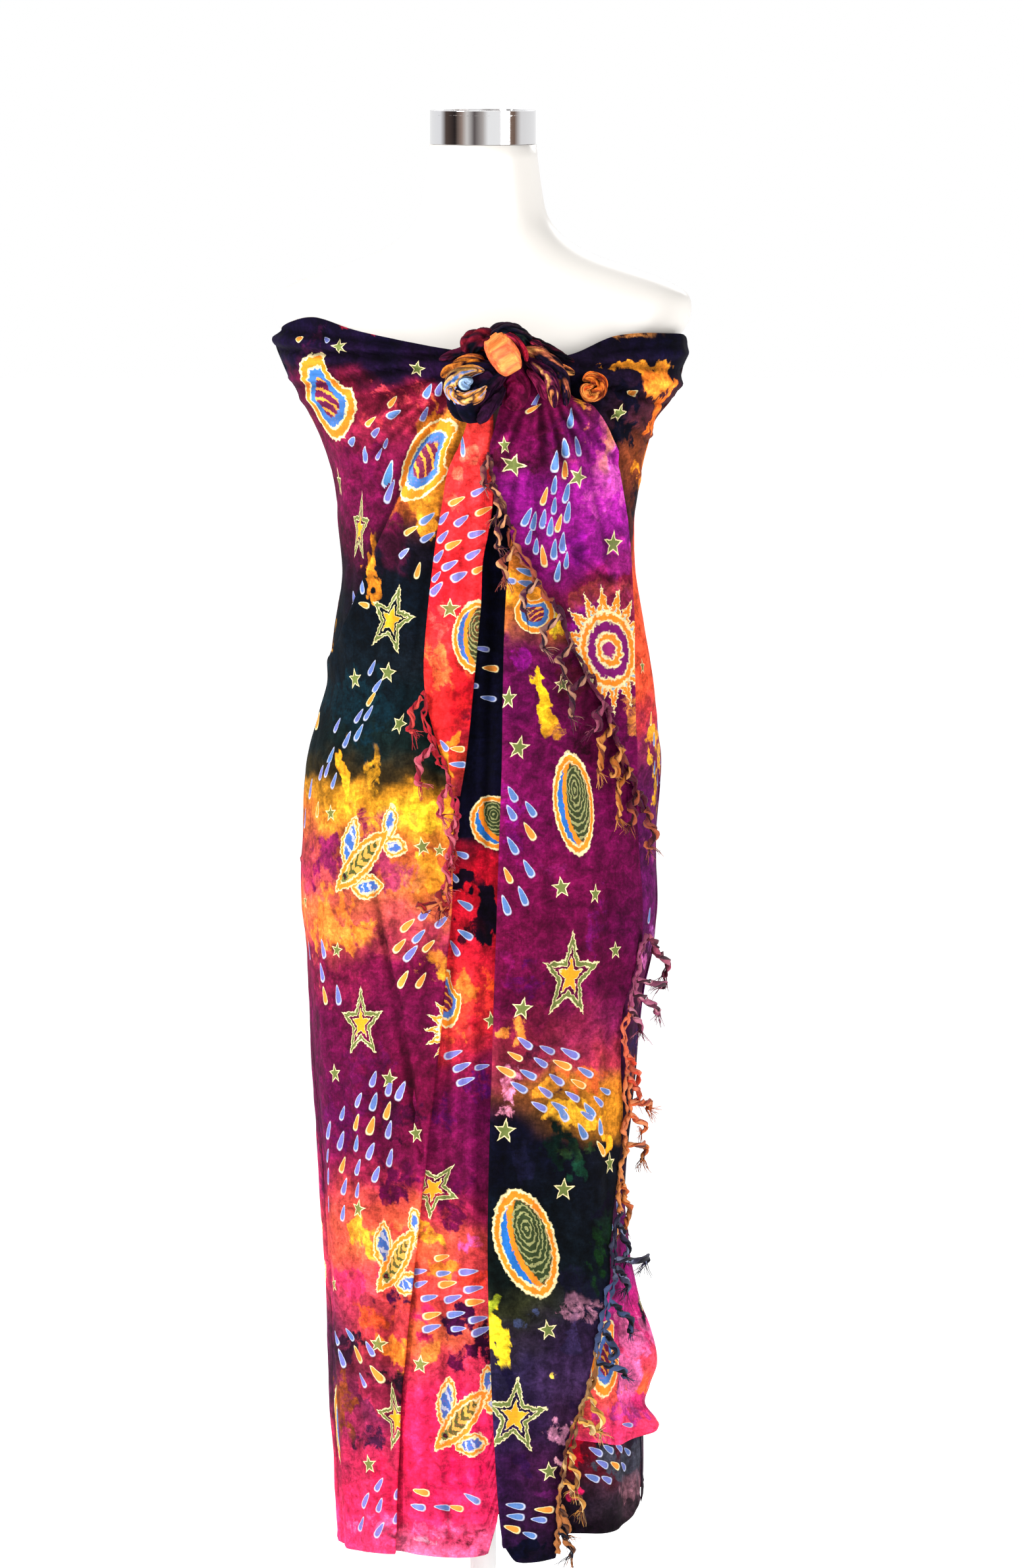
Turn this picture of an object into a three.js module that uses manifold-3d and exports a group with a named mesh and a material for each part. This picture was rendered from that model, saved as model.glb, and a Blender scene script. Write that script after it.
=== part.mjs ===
// A sarong: one long batik cloth wound round a dress form from the back, tied at the bust by its two top
// corners, so that its two fringed short edges fall down the front. Millimetres, +Z up, the front faces -Y,
// and the origin is at the centre of the base's underside.
import * as THREE from 'three';
import { mergeVertices } from 'three/addons/utils/BufferGeometryUtils.js';
import Module from 'manifold-3d';

const wasm = await Module();
wasm.setup();

// ---------------------------------------------------------------- driving sizes
const CLOTH = 2.0;            // wall of the cloth, measured straight out from the body
const SEAM = 0.3;             // gap between neighbouring stretches
const SQUARENESS = 2.2;       // exponent of the body's cross-section, a little squarer than an ellipse
const HEM_HEIGHT = 200;       // height of the lowest hem above the floor
const POLE_RADIUS = 12;
const BASE_RADIUS = 165;
const BASE_THICKNESS = 9;
const TORSO_BOTTOM = 706;
const TORSO_SIDES = 24;
const NECK_TOP = 1492;
const CAP = { height: 27, radius: 48.5, lipRadius: 50, lipHeight: 4 };
const DEG = Math.PI / 180;

// How far the outer face of each layer of cloth stands off the body's outline.
const LAYER = { deep: -4.5, lower: -1.4, skin: 0, side: 3.2, tail: 5.6, front: 8.4, over: 12.4, fringe: 2.6 };

// ---------------------------------------------------------------- tables
// Outline of the worn cloth: half-widths to the viewer's left and right, depths to the front and back.
const OUTLINE = [
  { z: 1345, left: 188, right: 184, front: 99, back: 92 },
  { z: 1314, left: 191, right: 188, front: 106, back: 96 },
  { z: 1289, left: 182, right: 184, front: 114, back: 99 },
  { z: 1261, left: 167, right: 174, front: 124, back: 101 },
  { z: 1240, left: 156, right: 158, front: 130, back: 102 },
  { z: 1220, left: 147, right: 152, front: 131, back: 102 },
  { z: 1192, left: 138, right: 145, front: 128, back: 100 },
  { z: 1160, left: 133, right: 140, front: 121, back: 97 },
  { z: 1128, left: 131, right: 138, front: 115, back: 94 },
  { z: 1096, left: 129, right: 140, front: 110, back: 93 },
  { z: 1060, left: 135, right: 146, front: 111, back: 97 },
  { z: 1006, left: 141, right: 156, front: 115, back: 105 },
  { z: 970, left: 151, right: 160, front: 118, back: 112 },
  { z: 925, left: 162, right: 163, front: 121, back: 118 },
  { z: 855, left: 166, right: 160, front: 124, back: 121 },
  { z: 800, left: 167, right: 160, front: 124, back: 117 },
  { z: 750, left: 162, right: 155, front: 123, back: 113 },
  { z: 700, left: 159, right: 146, front: 122, back: 110 },
  { z: 640, left: 156, right: 140, front: 121, back: 108 },
  { z: 580, left: 151, right: 134, front: 119, back: 107 },
  { z: 515, left: 147, right: 130, front: 117, back: 106 },
  { z: 430, left: 141, right: 138, front: 115, back: 105 },
  { z: 350, left: 139, right: 143, front: 113, back: 104 },
  { z: 285, left: 135, right: 147, front: 111, back: 103 },
  { z: 235, left: 132, right: 146, front: 109, back: 103 },
  { z: 190, left: 129, right: 140, front: 108, back: 102 },
];

// Height of the top edge round the body: 0 is the front, 90 the viewer's right, 180 the back.
const TOP_EDGE = [
  { angle: -180, z: 1286 }, { angle: -120, z: 1296 }, { angle: -96, z: 1308 }, { angle: -84, z: 1317 },
  { angle: -68, z: 1330 }, { angle: -52, z: 1336 }, { angle: -35, z: 1325 }, { angle: -8, z: 1309 },
  { angle: 12, z: 1300 }, { angle: 23, z: 1304 }, { angle: 38, z: 1320 }, { angle: 62, z: 1321 },
  { angle: 80, z: 1316 }, { angle: 96, z: 1296 }, { angle: 120, z: 1290 }, { angle: 180, z: 1286 },
];

// Height of the lowest layer's hem round the body.
const HEM = [
  { angle: -180, z: 214 }, { angle: -95, z: 203 }, { angle: -55, z: 203 }, { angle: -20, z: 200 },
  { angle: 25, z: 222 }, { angle: 52, z: 221 }, { angle: 68, z: 226 }, { angle: 82, z: 240 },
  { angle: 96, z: 256 }, { angle: 125, z: 238 }, { angle: 180, z: 214 },
];

// Soft folds that run down the cloth. Each starts at a height on one angle and reaches the hem on another;
// rise is how far it stands out (or sinks, below zero) at the hem.
const FOLDS = [
  { start: 1150, from: -20, to: -52, width: 8, rise: 4 },
  { start: 1120, from: -31, to: -37, width: 6, rise: -5 },
  { start: 900, from: -62, to: -66, width: 9, rise: 4 },
  { start: 860, from: -84, to: -82, width: 7, rise: -4 },
  { start: 1100, from: 14, to: 17, width: 7, rise: 3 },
  { start: 900, from: 30, to: 27, width: 7, rise: -3 },
  { start: 850, from: 52, to: 44, width: 8, rise: 3 },
  { start: 880, from: 74, to: 66, width: 7, rise: -4 },
  { start: 900, from: 112, to: 110, width: 9, rise: 8 },
  { start: 870, from: 132, to: 128, width: 7, rise: -7 },
  { start: 950, from: 150, to: 146, width: 9, rise: 9 },
  { start: 840, from: 168, to: 166, width: 8, rise: -6 },
  { start: 930, from: 185, to: 186, width: 9, rise: 8 },
  { start: 880, from: 204, to: 206, width: 8, rise: -7 },
  { start: 960, from: 222, to: 226, width: 9, rise: 9 },
  { start: 850, from: 242, to: 246, width: 7, rise: -5 },
  { start: 900, from: 258, to: 263, width: 8, rise: 5 },
];

// Edges of the front stretches, as distances from the middle (viewer's right positive) at heights.
const LEFT_FOLD_EDGE = [
  { z: 1340, x: -2 }, { z: 1200, x: -6 }, { z: 1117, x: -9 }, { z: 1064, x: -14 }, { z: 995, x: -18 },
  { z: 910, x: -27 }, { z: 799, x: -30 }, { z: 755, x: -34 }, { z: 705, x: -38 }, { z: 596, x: -50 },
  { z: 526, x: -58 }, { z: 431, x: -68 }, { z: 349, x: -77 }, { z: 284, x: -81 }, { z: 190, x: -84 },
];
const RIGHT_FOLD_EDGE = [
  { z: 1200, x: 33 }, { z: 1138, x: 27 }, { z: 1074, x: 22 }, { z: 1000, x: 20 }, { z: 936, x: 19 },
  { z: 850, x: 16 }, { z: 786, x: 14 }, { z: 667, x: 10 }, { z: 500, x: 6 }, { z: 380, x: 9 },
  { z: 250, x: 16 }, { z: 190, x: 23 },
];
const RIGHT_FRINGED_EDGE = [
  { z: 1200, x: 92 }, { z: 1100, x: 116 }, { z: 1000, x: 128 }, { z: 900, x: 134 }, { z: 769, x: 139 },
  { z: 726, x: 128 }, { z: 700, x: 121 }, { z: 657, x: 120 }, { z: 605, x: 122 }, { z: 548, x: 117 },
  { z: 483, x: 110 }, { z: 456, x: 109 }, { z: 418, x: 101 }, { z: 355, x: 90 }, { z: 310, x: 76 },
  { z: 265, x: 69 }, { z: 190, x: 63 },
];
const TAIL_LEFT_OUTER = [
  { z: 1262, x: -8 }, { z: 1229, x: -18 }, { z: 1199, x: -30 }, { z: 1169, x: -35 }, { z: 1132, x: -41 },
  { z: 1064, x: -49 }, { z: 1022, x: -52 }, { z: 991, x: -50 }, { z: 959, x: -43 }, { z: 927, x: -33 },
  { z: 900, x: -29 },
];
const TAIL_LEFT_INNER = [
  { z: 1262, x: 8 }, { z: 1172, x: 8 }, { z: 1117, x: -1 }, { z: 1075, x: -3 }, { z: 995, x: -10 },
  { z: 938, x: -16 }, { z: 900, x: -22 },
];
const TAIL_RIGHT_INNER = [
  { z: 1296, x: 34 }, { z: 1262, x: 17 }, { z: 1237, x: 10 }, { z: 1216, x: 6 }, { z: 1183, x: 10 },
  { z: 1168, x: 19 }, { z: 1130, x: 27 }, { z: 1105, x: 43 }, { z: 1072, x: 63 }, { z: 1054, x: 70 },
  { z: 1015, x: 88 }, { z: 985, x: 103 }, { z: 963, x: 109 }, { z: 927, x: 123 }, { z: 882, x: 137 },
];
const TAIL_RIGHT_OUTER = [
  { z: 1296, x: 62 }, { z: 1267, x: 80 }, { z: 1258, x: 100 }, { z: 1225, x: 118 }, { z: 1186, x: 126 },
  { z: 1149, x: 132 }, { z: 1093, x: 136 }, { z: 1036, x: 138 }, { z: 980, x: 139 }, { z: 949, x: 141 },
  { z: 850, x: 143 },
];

// Hems of the upper layers, by distance from the middle.
const LEFT_FRONT_HEM = [{ x: -135, z: 203 }, { x: -84, z: 203 }, { x: 0, z: 200 }];
const MIDDLE_HEM = [{ x: -100, z: 206 }, { x: 4, z: 205 }, { x: 12, z: 232 }, { x: 40, z: 262 }];
const RIGHT_FRONT_HEM = [{ x: 18, z: 216 }, { x: 30, z: 200 }, { x: 70, z: 203 }];
const FLAP_HEM = [
  { x: 40, z: 318 }, { x: 105, z: 306 }, { x: 123, z: 302 }, { x: 140, z: 308 }, { x: 152, z: 318 },
];

// How far the loose flap stands off at the viewer's right.
const FLAP_FLARE = [
  { z: 470, rise: 0 }, { z: 430, rise: 4 }, { z: 405, rise: 12 }, { z: 372, rise: 16 }, { z: 350, rise: 8 },
  { z: 334, rise: 3 }, { z: 318, rise: 13 }, { z: 300, rise: 12 },
];

// Creases of one stretch, as seen from the front: a ridge along the line between two points, or with
// step true a pleat whose cloth lies higher on the line's lower right side.
const LEFT_CREASES = [
  { x0: -26, z0: 1266, x1: -62, z1: 1204, width: 6, rise: 6, step: true },
  { x0: -62, z0: 1204, x1: -101, z1: 1112, width: 6, rise: 6, step: true },
  { x0: -101, z0: 1112, x1: -140, z1: 1020, width: 7, rise: 4, step: true },
  { x0: -30, z0: 1303, x1: -176, z1: 1312, width: 6, rise: 4 },
  { x0: -34, z0: 1296, x1: -160, z1: 1290, width: 5, rise: 4 },
  { x0: -34, z0: 1288, x1: -150, z1: 1262, width: 6, rise: 4 },
  { x0: -34, z0: 1280, x1: -120, z1: 1228, width: 6, rise: 3 },
  { x0: -30, z0: 1230, x1: -66, z1: 1120, width: 7, rise: 3 },
  { x0: -95, z0: 790, x1: -55, z1: 569, width: 7, rise: -3 },
];
const RIGHT_CREASES = [
  { x0: 78, z0: 1297, x1: 176, z1: 1300, width: 6, rise: 5 },
  { x0: 82, z0: 1290, x1: 178, z1: 1272, width: 6, rise: 5 },
  { x0: 86, z0: 1280, x1: 150, z1: 1236, width: 6, rise: 3 },
];
const OVER_CREASES = [
  { x0: 50, z0: 1262, x1: 44, z1: 1150, width: 7, rise: -1.2 },
  { x0: 66, z0: 1262, x1: 92, z1: 1130, width: 8, rise: 3 },
  { x0: 91, z0: 1145, x1: 57, z1: 1106, width: 5, rise: 2.5 },
  { x0: 78, z0: 1126, x1: 108, z1: 1098, width: 5, rise: -1.2 },
];

// Lumps of gathered cloth that make the knot: centre, half sizes, lean and number of gathers. The core is
// on the left, and the gathers run out of the knot to the right.
const KNOT_CORE = [
  { x: 1, z: 1266, out: 24, wide: 22, tall: 27, deep: 22, lean: 8, gathers: 9 },
  { x: -12, z: 1312, out: 18, wide: 20, tall: 16, deep: 17, lean: 24, gathers: 7 },
  { x: -17, z: 1286, out: 17, wide: 18, tall: 20, deep: 16, lean: -20, gathers: 5 },
];
const KNOT_GATHERS = [
  { x: 46, z: 1292, out: 18, wide: 19, tall: 26, deep: 18, lean: 38, gathers: 8 },
  { x: 64, z: 1280, out: 15, wide: 18, tall: 20, deep: 14, lean: 48, gathers: 6 },
];
const KNOT_RUFFLE = { x: 22, z: 1325, out: 17, wide: 21, tall: 9, deep: 15, lean: -6, gathers: 9 };
const ROSETTE = { x: 92, z: 1276, out: 13, wide: 10, tall: 11, deep: 8, lean: 10, gathers: 5 };
const KNOT_BAND = { x: 18, z: 1306, out: 27, wide: 17, tall: 16, deep: 17, lean: 24, gathers: 4 };

// Tassels of each fringed edge: the edge they hang on, the layer it is on, and each tassel's root height,
// with how far its tip lies to the side of and below the root.
const FRINGE_LEFT = {
  edge: [{ z: 995, x: -52 }, { z: 959, x: -45 }, { z: 927, x: -35 }, { z: 905, x: -27 }, { z: 885, x: -23 },
    { z: 843, x: -27 }, { z: 795, x: -31 }],
  layer: 'front',
  tassels: [
    { z: 990, side: -9, drop: 38 }, { z: 962, side: -14, drop: 34 }, { z: 942, side: -17, drop: 34 },
    { z: 908, side: -12, drop: 46 }, { z: 884, side: -8, drop: 44 }, { z: 856, side: -7, drop: 42 },
    { z: 830, side: -9, drop: 40 }, { z: 800, side: -19, drop: 10 },
  ],
};
const FRINGE_UPPER = {
  edge: TAIL_RIGHT_INNER.slice(3),
  layer: 'over',
  tassels: [
    { z: 1208, side: -6, drop: 40 }, { z: 1188, side: 1, drop: 46 }, { z: 1170, side: -9, drop: 44 },
    { z: 1150, side: -11, drop: 40 }, { z: 1128, side: -18, drop: 30 }, { z: 1102, side: -17, drop: 44 },
    { z: 1066, side: -26, drop: 42 }, { z: 1020, side: -14, drop: 38 }, { z: 986, side: -12, drop: 38 },
    { z: 962, side: -14, drop: 40 }, { z: 940, side: -8, drop: 40 }, { z: 915, side: -9, drop: 36 },
    { z: 890, side: 2, drop: 46 },
  ],
};
const FRINGE_LOWER = {
  edge: RIGHT_FRINGED_EDGE.slice(4, -1).concat([{ z: 206, x: 64 }]),
  layer: 'front',
  tassels: [
    { z: 768, side: 22, drop: 44 }, { z: 728, side: 24, drop: 12 }, { z: 706, side: 15, drop: 26 },
    { z: 661, side: 18, drop: 18 }, { z: 617, side: 22, drop: 20 }, { z: 583, side: 23, drop: 27 },
    { z: 541, side: 16, drop: 44 }, { z: 500, side: 14, drop: 40 }, { z: 484, side: 18, drop: 12 },
    { z: 470, side: 14, drop: 22 }, { z: 440, side: 28, drop: 36 }, { z: 410, side: 16, drop: 34 },
    { z: 386, side: 30, drop: 16 }, { z: 352, side: 19, drop: 44 }, { z: 330, side: 16, drop: 16 },
    { z: 300, side: 14, drop: 34 }, { z: 276, side: 18, drop: 34 }, { z: 250, side: 12, drop: 30 },
    { z: 228, side: 13, drop: 22 },
  ],
};
const TASSEL_RADIUS = 2.2;
const STRIP_RADIUS = 1.6;

// The dress form: half-width and depths of its sections, from the neck down.
const TORSO = [
  { z: 1492, half: 49, front: 49, back: 49 }, { z: 1440, half: 56, front: 56, back: 56 },
  { z: 1424, half: 60, front: 58, back: 58 }, { z: 1409, half: 72, front: 61, back: 62 },
  { z: 1395, half: 92, front: 64, back: 66 }, { z: 1385, half: 118, front: 67, back: 69 },
  { z: 1371, half: 162, front: 72, back: 73 }, { z: 1360, half: 186, front: 76, back: 76 },
  { z: 1350, half: 195, front: 80, back: 78 }, { z: 1328, half: 192, front: 86, back: 80 },
  { z: 1318, half: 182, front: 89, back: 82 }, { z: 1296, half: 173, front: 96, back: 87 },
  { z: 1264, half: 157, front: 107, back: 91 }, { z: 1240, half: 145, front: 114, back: 92 },
  { z: 1220, half: 137, front: 116, back: 92 }, { z: 1192, half: 128, front: 113, back: 90 },
  { z: 1160, half: 121, front: 106, back: 87 }, { z: 1128, half: 118, front: 98, back: 84 },
  { z: 1096, half: 117, front: 94, back: 83 }, { z: 1060, half: 122, front: 96, back: 87 },
  { z: 1006, half: 131, front: 101, back: 95 }, { z: 970, half: 139, front: 104, back: 102 },
  { z: 925, half: 149, front: 107, back: 107 }, { z: 855, half: 152, front: 109, back: 109 },
  { z: 800, half: 149, front: 107, back: 104 }, { z: 762, half: 138, front: 100, back: 95 },
  { z: 735, half: 116, front: 86, back: 82 }, { z: 716, half: 84, front: 64, back: 62 },
  { z: TORSO_BOTTOM, half: 46, front: 36, back: 36 },
];

// ---------------------------------------------------------------- small maths
const clamp = (value, low, high) => Math.min(high, Math.max(low, value));
const mix = (a, b, t) => a + (b - a) * t;
const smooth = (t) => t * t * (3 - 2 * t);
const signedPower = (value, power) => Math.sign(value) * Math.abs(value) ** power;

// Value of one column of a table at a place given in another column, smoothed between the rows.
function lookUp(table, key, place, column) {
  const falling = table[0][key] > table[table.length - 1][key];
  const rows = falling ? [...table].reverse() : table;
  const at = clamp(place, rows[0][key], rows[rows.length - 1][key]);
  let i = 0;
  while (i < rows.length - 2 && rows[i + 1][key] < at) i += 1;
  const [k0, k1] = [rows[i][key], rows[i + 1][key]];
  const [v0, v1] = [rows[i][column], rows[i + 1][column]];
  const slope = (a, b) => (rows[b][column] - rows[a][column]) / (rows[b][key] - rows[a][key]);
  const m0 = i > 0 ? slope(i - 1, i + 1) : slope(i, i + 1);
  const m1 = i + 2 < rows.length ? slope(i, i + 2) : slope(i, i + 1);
  const span = k1 - k0;
  const t = (at - k0) / span;
  return (2 * t ** 3 - 3 * t ** 2 + 1) * v0 + (t ** 3 - 2 * t ** 2 + t) * span * m0
    + (3 * t ** 2 - 2 * t ** 3) * v1 + (t ** 3 - t ** 2) * span * m1;
}

// ---------------------------------------------------------------- the body the cloth follows
function section(z) {
  const left = lookUp(OUTLINE, 'z', z, 'left');
  const right = lookUp(OUTLINE, 'z', z, 'right');
  return {
    middle: (right - left) / 2,
    half: (right + left) / 2,
    front: lookUp(OUTLINE, 'z', z, 'front'),
    back: lookUp(OUTLINE, 'z', z, 'back'),
  };
}

// Angle round the body, in degrees, of a place on the front at a distance from the middle.
function angleOf(x, z) {
  const { middle, half } = section(z);
  const sine = signedPower(clamp((x - middle) / half, -1, 1), SQUARENESS / 2);
  return Math.asin(sine) / DEG;
}

// How far the soft folds lift the cloth at an angle and height.
function foldRise(angle, z) {
  let rise = 0;
  for (const fold of FOLDS) {
    const down = clamp((fold.start - z) / (fold.start - HEM_HEIGHT), 0, 1);
    const away = (angle - mix(fold.from, fold.to, down) + 540) % 360 - 180;
    rise += fold.rise * smooth(Math.min(1, down * 1.6)) * Math.exp(-((away / fold.width) ** 2));
  }
  return rise;
}

// Point at an angle and height that stands off the body's outline along its own normal.
function bodyPoint(angle, z, off) {
  const { middle, half, front, back } = section(z);
  const sine = Math.sin(angle * DEG);
  const cosine = Math.cos(angle * DEG);
  const depth = cosine > 0 ? front : back;
  const x = half * signedPower(sine, 2 / SQUARENESS);
  const y = -depth * signedPower(cosine, 2 / SQUARENESS);
  const normal = new THREE.Vector2(
    signedPower(x / half, SQUARENESS - 1) / half,
    signedPower(y / depth, SQUARENESS - 1) / depth,
  ).normalize();
  return new THREE.Vector3(middle + x + normal.x * off, y + normal.y * off, z);
}

// How far a stretch's own creases lift it at a place seen from the front.
function creaseRise(creases, x, z) {
  let rise = 0;
  for (const crease of creases) {
    const along = new THREE.Vector2(crease.x1 - crease.x0, crease.z1 - crease.z0);
    const length = along.length();
    along.divideScalar(length);
    const to = new THREE.Vector2(x - crease.x0, z - crease.z0);
    const share = to.dot(along) / length;
    const side = along.x * to.y - along.y * to.x;
    const ends = smooth(clamp(1 + (0.5 - Math.abs(share - 0.5)) * 4, 0, 1));
    const across = crease.step
      ? smooth(clamp(side / crease.width + 0.5, 0, 1)) * Math.exp(-Math.max(side, 0) / 45)
      : Math.exp(-((side / crease.width) ** 2));
    rise = crease.step ? Math.max(rise, crease.rise * across * ends) : rise + crease.rise * across * ends;
  }
  return rise;
}

// ---------------------------------------------------------------- solids
function geometryFrom(points, faces) {
  const geometry = new THREE.BufferGeometry();
  geometry.setAttribute('position', new THREE.Float32BufferAttribute(points.flatMap((p) => [p.x, p.y, p.z]), 3));
  geometry.setIndex(faces.flat());
  return geometry;
}

// Closed wall between an outer and an inner grid of points, rows running down and columns to the right.
function wall(outer, inner) {
  const rows = outer.length - 1;
  const columns = outer[0].length - 1;
  const points = [...outer.flat(), ...inner.flat()];
  const shift = outer.flat().length;
  const at = (i, j) => i * (columns + 1) + j;
  const faces = [];
  const quad = (a, b, c, d) => faces.push([a, b, c], [a, c, d]);
  for (let i = 0; i < rows; i += 1) {
    for (let j = 0; j < columns; j += 1) {
      const [a, b, c, d] = [at(i, j), at(i + 1, j), at(i + 1, j + 1), at(i, j + 1)];
      quad(a, b, c, d);
      quad(d + shift, c + shift, b + shift, a + shift);
    }
  }
  for (let i = 0; i < rows; i += 1) {
    quad(at(i, 0), at(i, 0) + shift, at(i + 1, 0) + shift, at(i + 1, 0));
    quad(at(i + 1, columns), at(i + 1, columns) + shift, at(i, columns) + shift, at(i, columns));
  }
  for (let j = 0; j < columns; j += 1) {
    quad(at(0, j + 1), at(0, j + 1) + shift, at(0, j) + shift, at(0, j));
    quad(at(rows, j), at(rows, j) + shift, at(rows, j + 1) + shift, at(rows, j + 1));
  }
  return geometryFrom(points, faces);
}

// A stretch of cloth: its two side edges as angles at a height, its top and hem as heights at an angle or
// a distance from the middle, its layer, and its own lift. Rows crowd towards the hem by the power crowd.
function stretch({ from, to, top, hem, layer, lift = () => 0, rows, columns, crowd = 1, thickness = CLOTH }) {
  const outer = [];
  const inner = [];
  for (let i = 0; i <= rows; i += 1) {
    const down = (i / rows) ** crowd;
    const outerRow = [];
    const innerRow = [];
    for (let j = 0; j <= columns; j += 1) {
      const across = j / columns;
      let z = mix(1300, 220, down);
      let angle = 0;
      for (let pass = 0; pass < 4; pass += 1) {
        angle = mix(from(z), to(z), across);
        const { x } = bodyPoint(angle, z, 0);
        z = mix(top(angle, x), hem(angle, x), down);
      }
      const { x } = bodyPoint(angle, z, 0);
      const off = layer + foldRise(angle, z) + lift(x, z, across, angle);
      outerRow.push(bodyPoint(angle, z, off));
      innerRow.push(bodyPoint(angle, z, off - thickness));
    }
    outer.push(outerRow);
    inner.push(innerRow);
  }
  return wall(outer, inner);
}

// Tube with a round section and closed ends along a few points.
function tube(points, radii, sides) {
  const up = new THREE.Vector3(0, -1, 0);
  const rings = points.map((point, i) => {
    const before = points[Math.max(i - 1, 0)];
    const after = points[Math.min(i + 1, points.length - 1)];
    const ahead = after.clone().sub(before).normalize();
    const across = ahead.clone().cross(up).normalize();
    const over = ahead.clone().cross(across);
    return Array.from({ length: sides }, (_, k) => point.clone()
      .addScaledVector(across, Math.cos(2 * Math.PI * k / sides) * radii[i])
      .addScaledVector(over, Math.sin(2 * Math.PI * k / sides) * radii[i]));
  });
  const faces = [];
  for (let i = 0; i < rings.length - 1; i += 1) {
    for (let k = 0; k < sides; k += 1) {
      const next = (k + 1) % sides;
      const [a, b] = [i * sides + k, i * sides + next];
      faces.push([a, b, b + sides], [a, b + sides, a + sides]);
    }
  }
  for (let k = 1; k < sides - 1; k += 1) {
    const last = (rings.length - 1) * sides;
    faces.push([0, k + 1, k], [last, last + k, last + k + 1]);
  }
  return geometryFrom(rings.flat(), faces);
}

function toSolid(geometry) {
  const clean = geometry.clone();
  clean.deleteAttribute('normal');
  clean.deleteAttribute('uv');
  const merged = mergeVertices(clean, 1e-4);
  const vertProperties = Float32Array.from(merged.attributes.position.array);
  const solid = new wasm.Manifold(new wasm.Mesh({
    numProp: 3, vertProperties, triVerts: Uint32Array.from(merged.index.array),
  }));
  if (solid.volume() < 0) throw new Error('a piece is inside out');
  return solid;
}

function fromSolid(solid) {
  const mesh = solid.getMesh();
  const geometry = new THREE.BufferGeometry();
  geometry.setAttribute('position', new THREE.Float32BufferAttribute(mesh.vertProperties, 3));
  geometry.setIndex(Array.from(mesh.triVerts));
  return geometry;
}

const joined = (solids) => solids.reduce((a, b) => a.add(b));

// ---------------------------------------------------------------- the cloth, stretch by stretch
const topAt = (angle) => lookUp(TOP_EDGE, 'angle', (angle + 540) % 360 - 180, 'z');
const hemAt = (angle) => lookUp(HEM, 'angle', (angle + 540) % 360 - 180, 'z');
const edgeAngle = (edge, shift = 0) => (z) => angleOf(lookUp(edge, 'z', z, 'x') + shift, z);
const LEFT_SEAM = -88;        // angle where the back meets the left front
const RIGHT_SEAM = 84;        // angle where the back meets the right side
const BACK_SEAM = 178;        // angle where the two halves of the back meet
const LOWER_END = 25;         // free end of the lower layer, under the right front
const LOWER_TOP = 470;        // its hidden top, under the flap
const seamAngle = SEAM / 2 / 130 / DEG;

// The right side comes down from its own layer to meet the back flush, except low down, where it hangs free.
const sideToBack = (angle, z) => -LAYER.side * smooth(clamp((angle - RIGHT_SEAM + 14) / 14, 0, 1))
  * smooth(clamp((z - LOWER_TOP - 20) / 70, 0, 1));

// The two fronts are rolled at their folded edges, and what lies on them follows their lift.
const EDGE_ROLL = { rise: 3, width: 20 };
const rollOf = (inward) => EDGE_ROLL.rise * smooth(clamp(1 - inward / EDGE_ROLL.width, 0, 1));
const leftLift = (x, z) => creaseRise(LEFT_CREASES, x, z) + rollOf(lookUp(LEFT_FOLD_EDGE, 'z', z, 'x') - x);
const rightLift = (x, z) => rollOf(x - lookUp(RIGHT_FOLD_EDGE, 'z', z, 'x'));

const clothBackRight = stretch({
  from: () => RIGHT_SEAM + seamAngle, to: () => BACK_SEAM - seamAngle,
  top: topAt, hem: hemAt, layer: LAYER.skin, rows: 16, columns: 16,
});

const clothBackLeft = stretch({
  from: () => BACK_SEAM + seamAngle, to: () => 360 + LEFT_SEAM - seamAngle,
  top: topAt, hem: hemAt, layer: LAYER.skin, rows: 16, columns: 16,
});

const clothLower = stretch({
  from: () => LOWER_END, to: () => RIGHT_SEAM - seamAngle,
  top: () => LOWER_TOP, hem: hemAt, layer: LAYER.lower, rows: 5, columns: 8,
});

const clothLeftFront = stretch({
  from: () => LEFT_SEAM + seamAngle, to: edgeAngle(LEFT_FOLD_EDGE),
  top: topAt, hem: (angle, x) => lookUp(LEFT_FRONT_HEM, 'x', x, 'z'), layer: LAYER.skin,
  lift: leftLift,
  rows: 22, columns: 15, crowd: 1.15,
});

const clothRightSide = stretch({
  from: edgeAngle(RIGHT_FOLD_EDGE, 16), to: () => RIGHT_SEAM - seamAngle,
  top: topAt, hem: (angle, x) => lookUp(FLAP_HEM, 'x', x, 'z'), layer: LAYER.side,
  lift: (x, z, across, angle) => creaseRise(RIGHT_CREASES, x, z) + sideToBack(angle, z)
    + lookUp(FLAP_FLARE, 'z', z, 'rise') * smooth(clamp((angle - 58) / 22, 0, 1)),
  rows: 25, columns: 12,
});

const clothMiddle = stretch({
  from: edgeAngle(LEFT_FOLD_EDGE, -18),
  to: (z) => angleOf(lookUp(RIGHT_FOLD_EDGE, 'z', z, 'x') + mix(-14, 16, clamp((z - 200) / 110, 0, 1)), z),
  top: () => 1130, hem: (angle, x) => lookUp(MIDDLE_HEM, 'x', x, 'z'), layer: LAYER.deep,
  rows: 14, columns: 6,
});

const clothRightFront = stretch({
  from: edgeAngle(RIGHT_FOLD_EDGE), to: edgeAngle(RIGHT_FRINGED_EDGE),
  top: () => 1150, hem: (angle, x) => lookUp(RIGHT_FRONT_HEM, 'x', x, 'z'), layer: LAYER.front,
  lift: rightLift,
  rows: 22, columns: 9,
});

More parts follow.
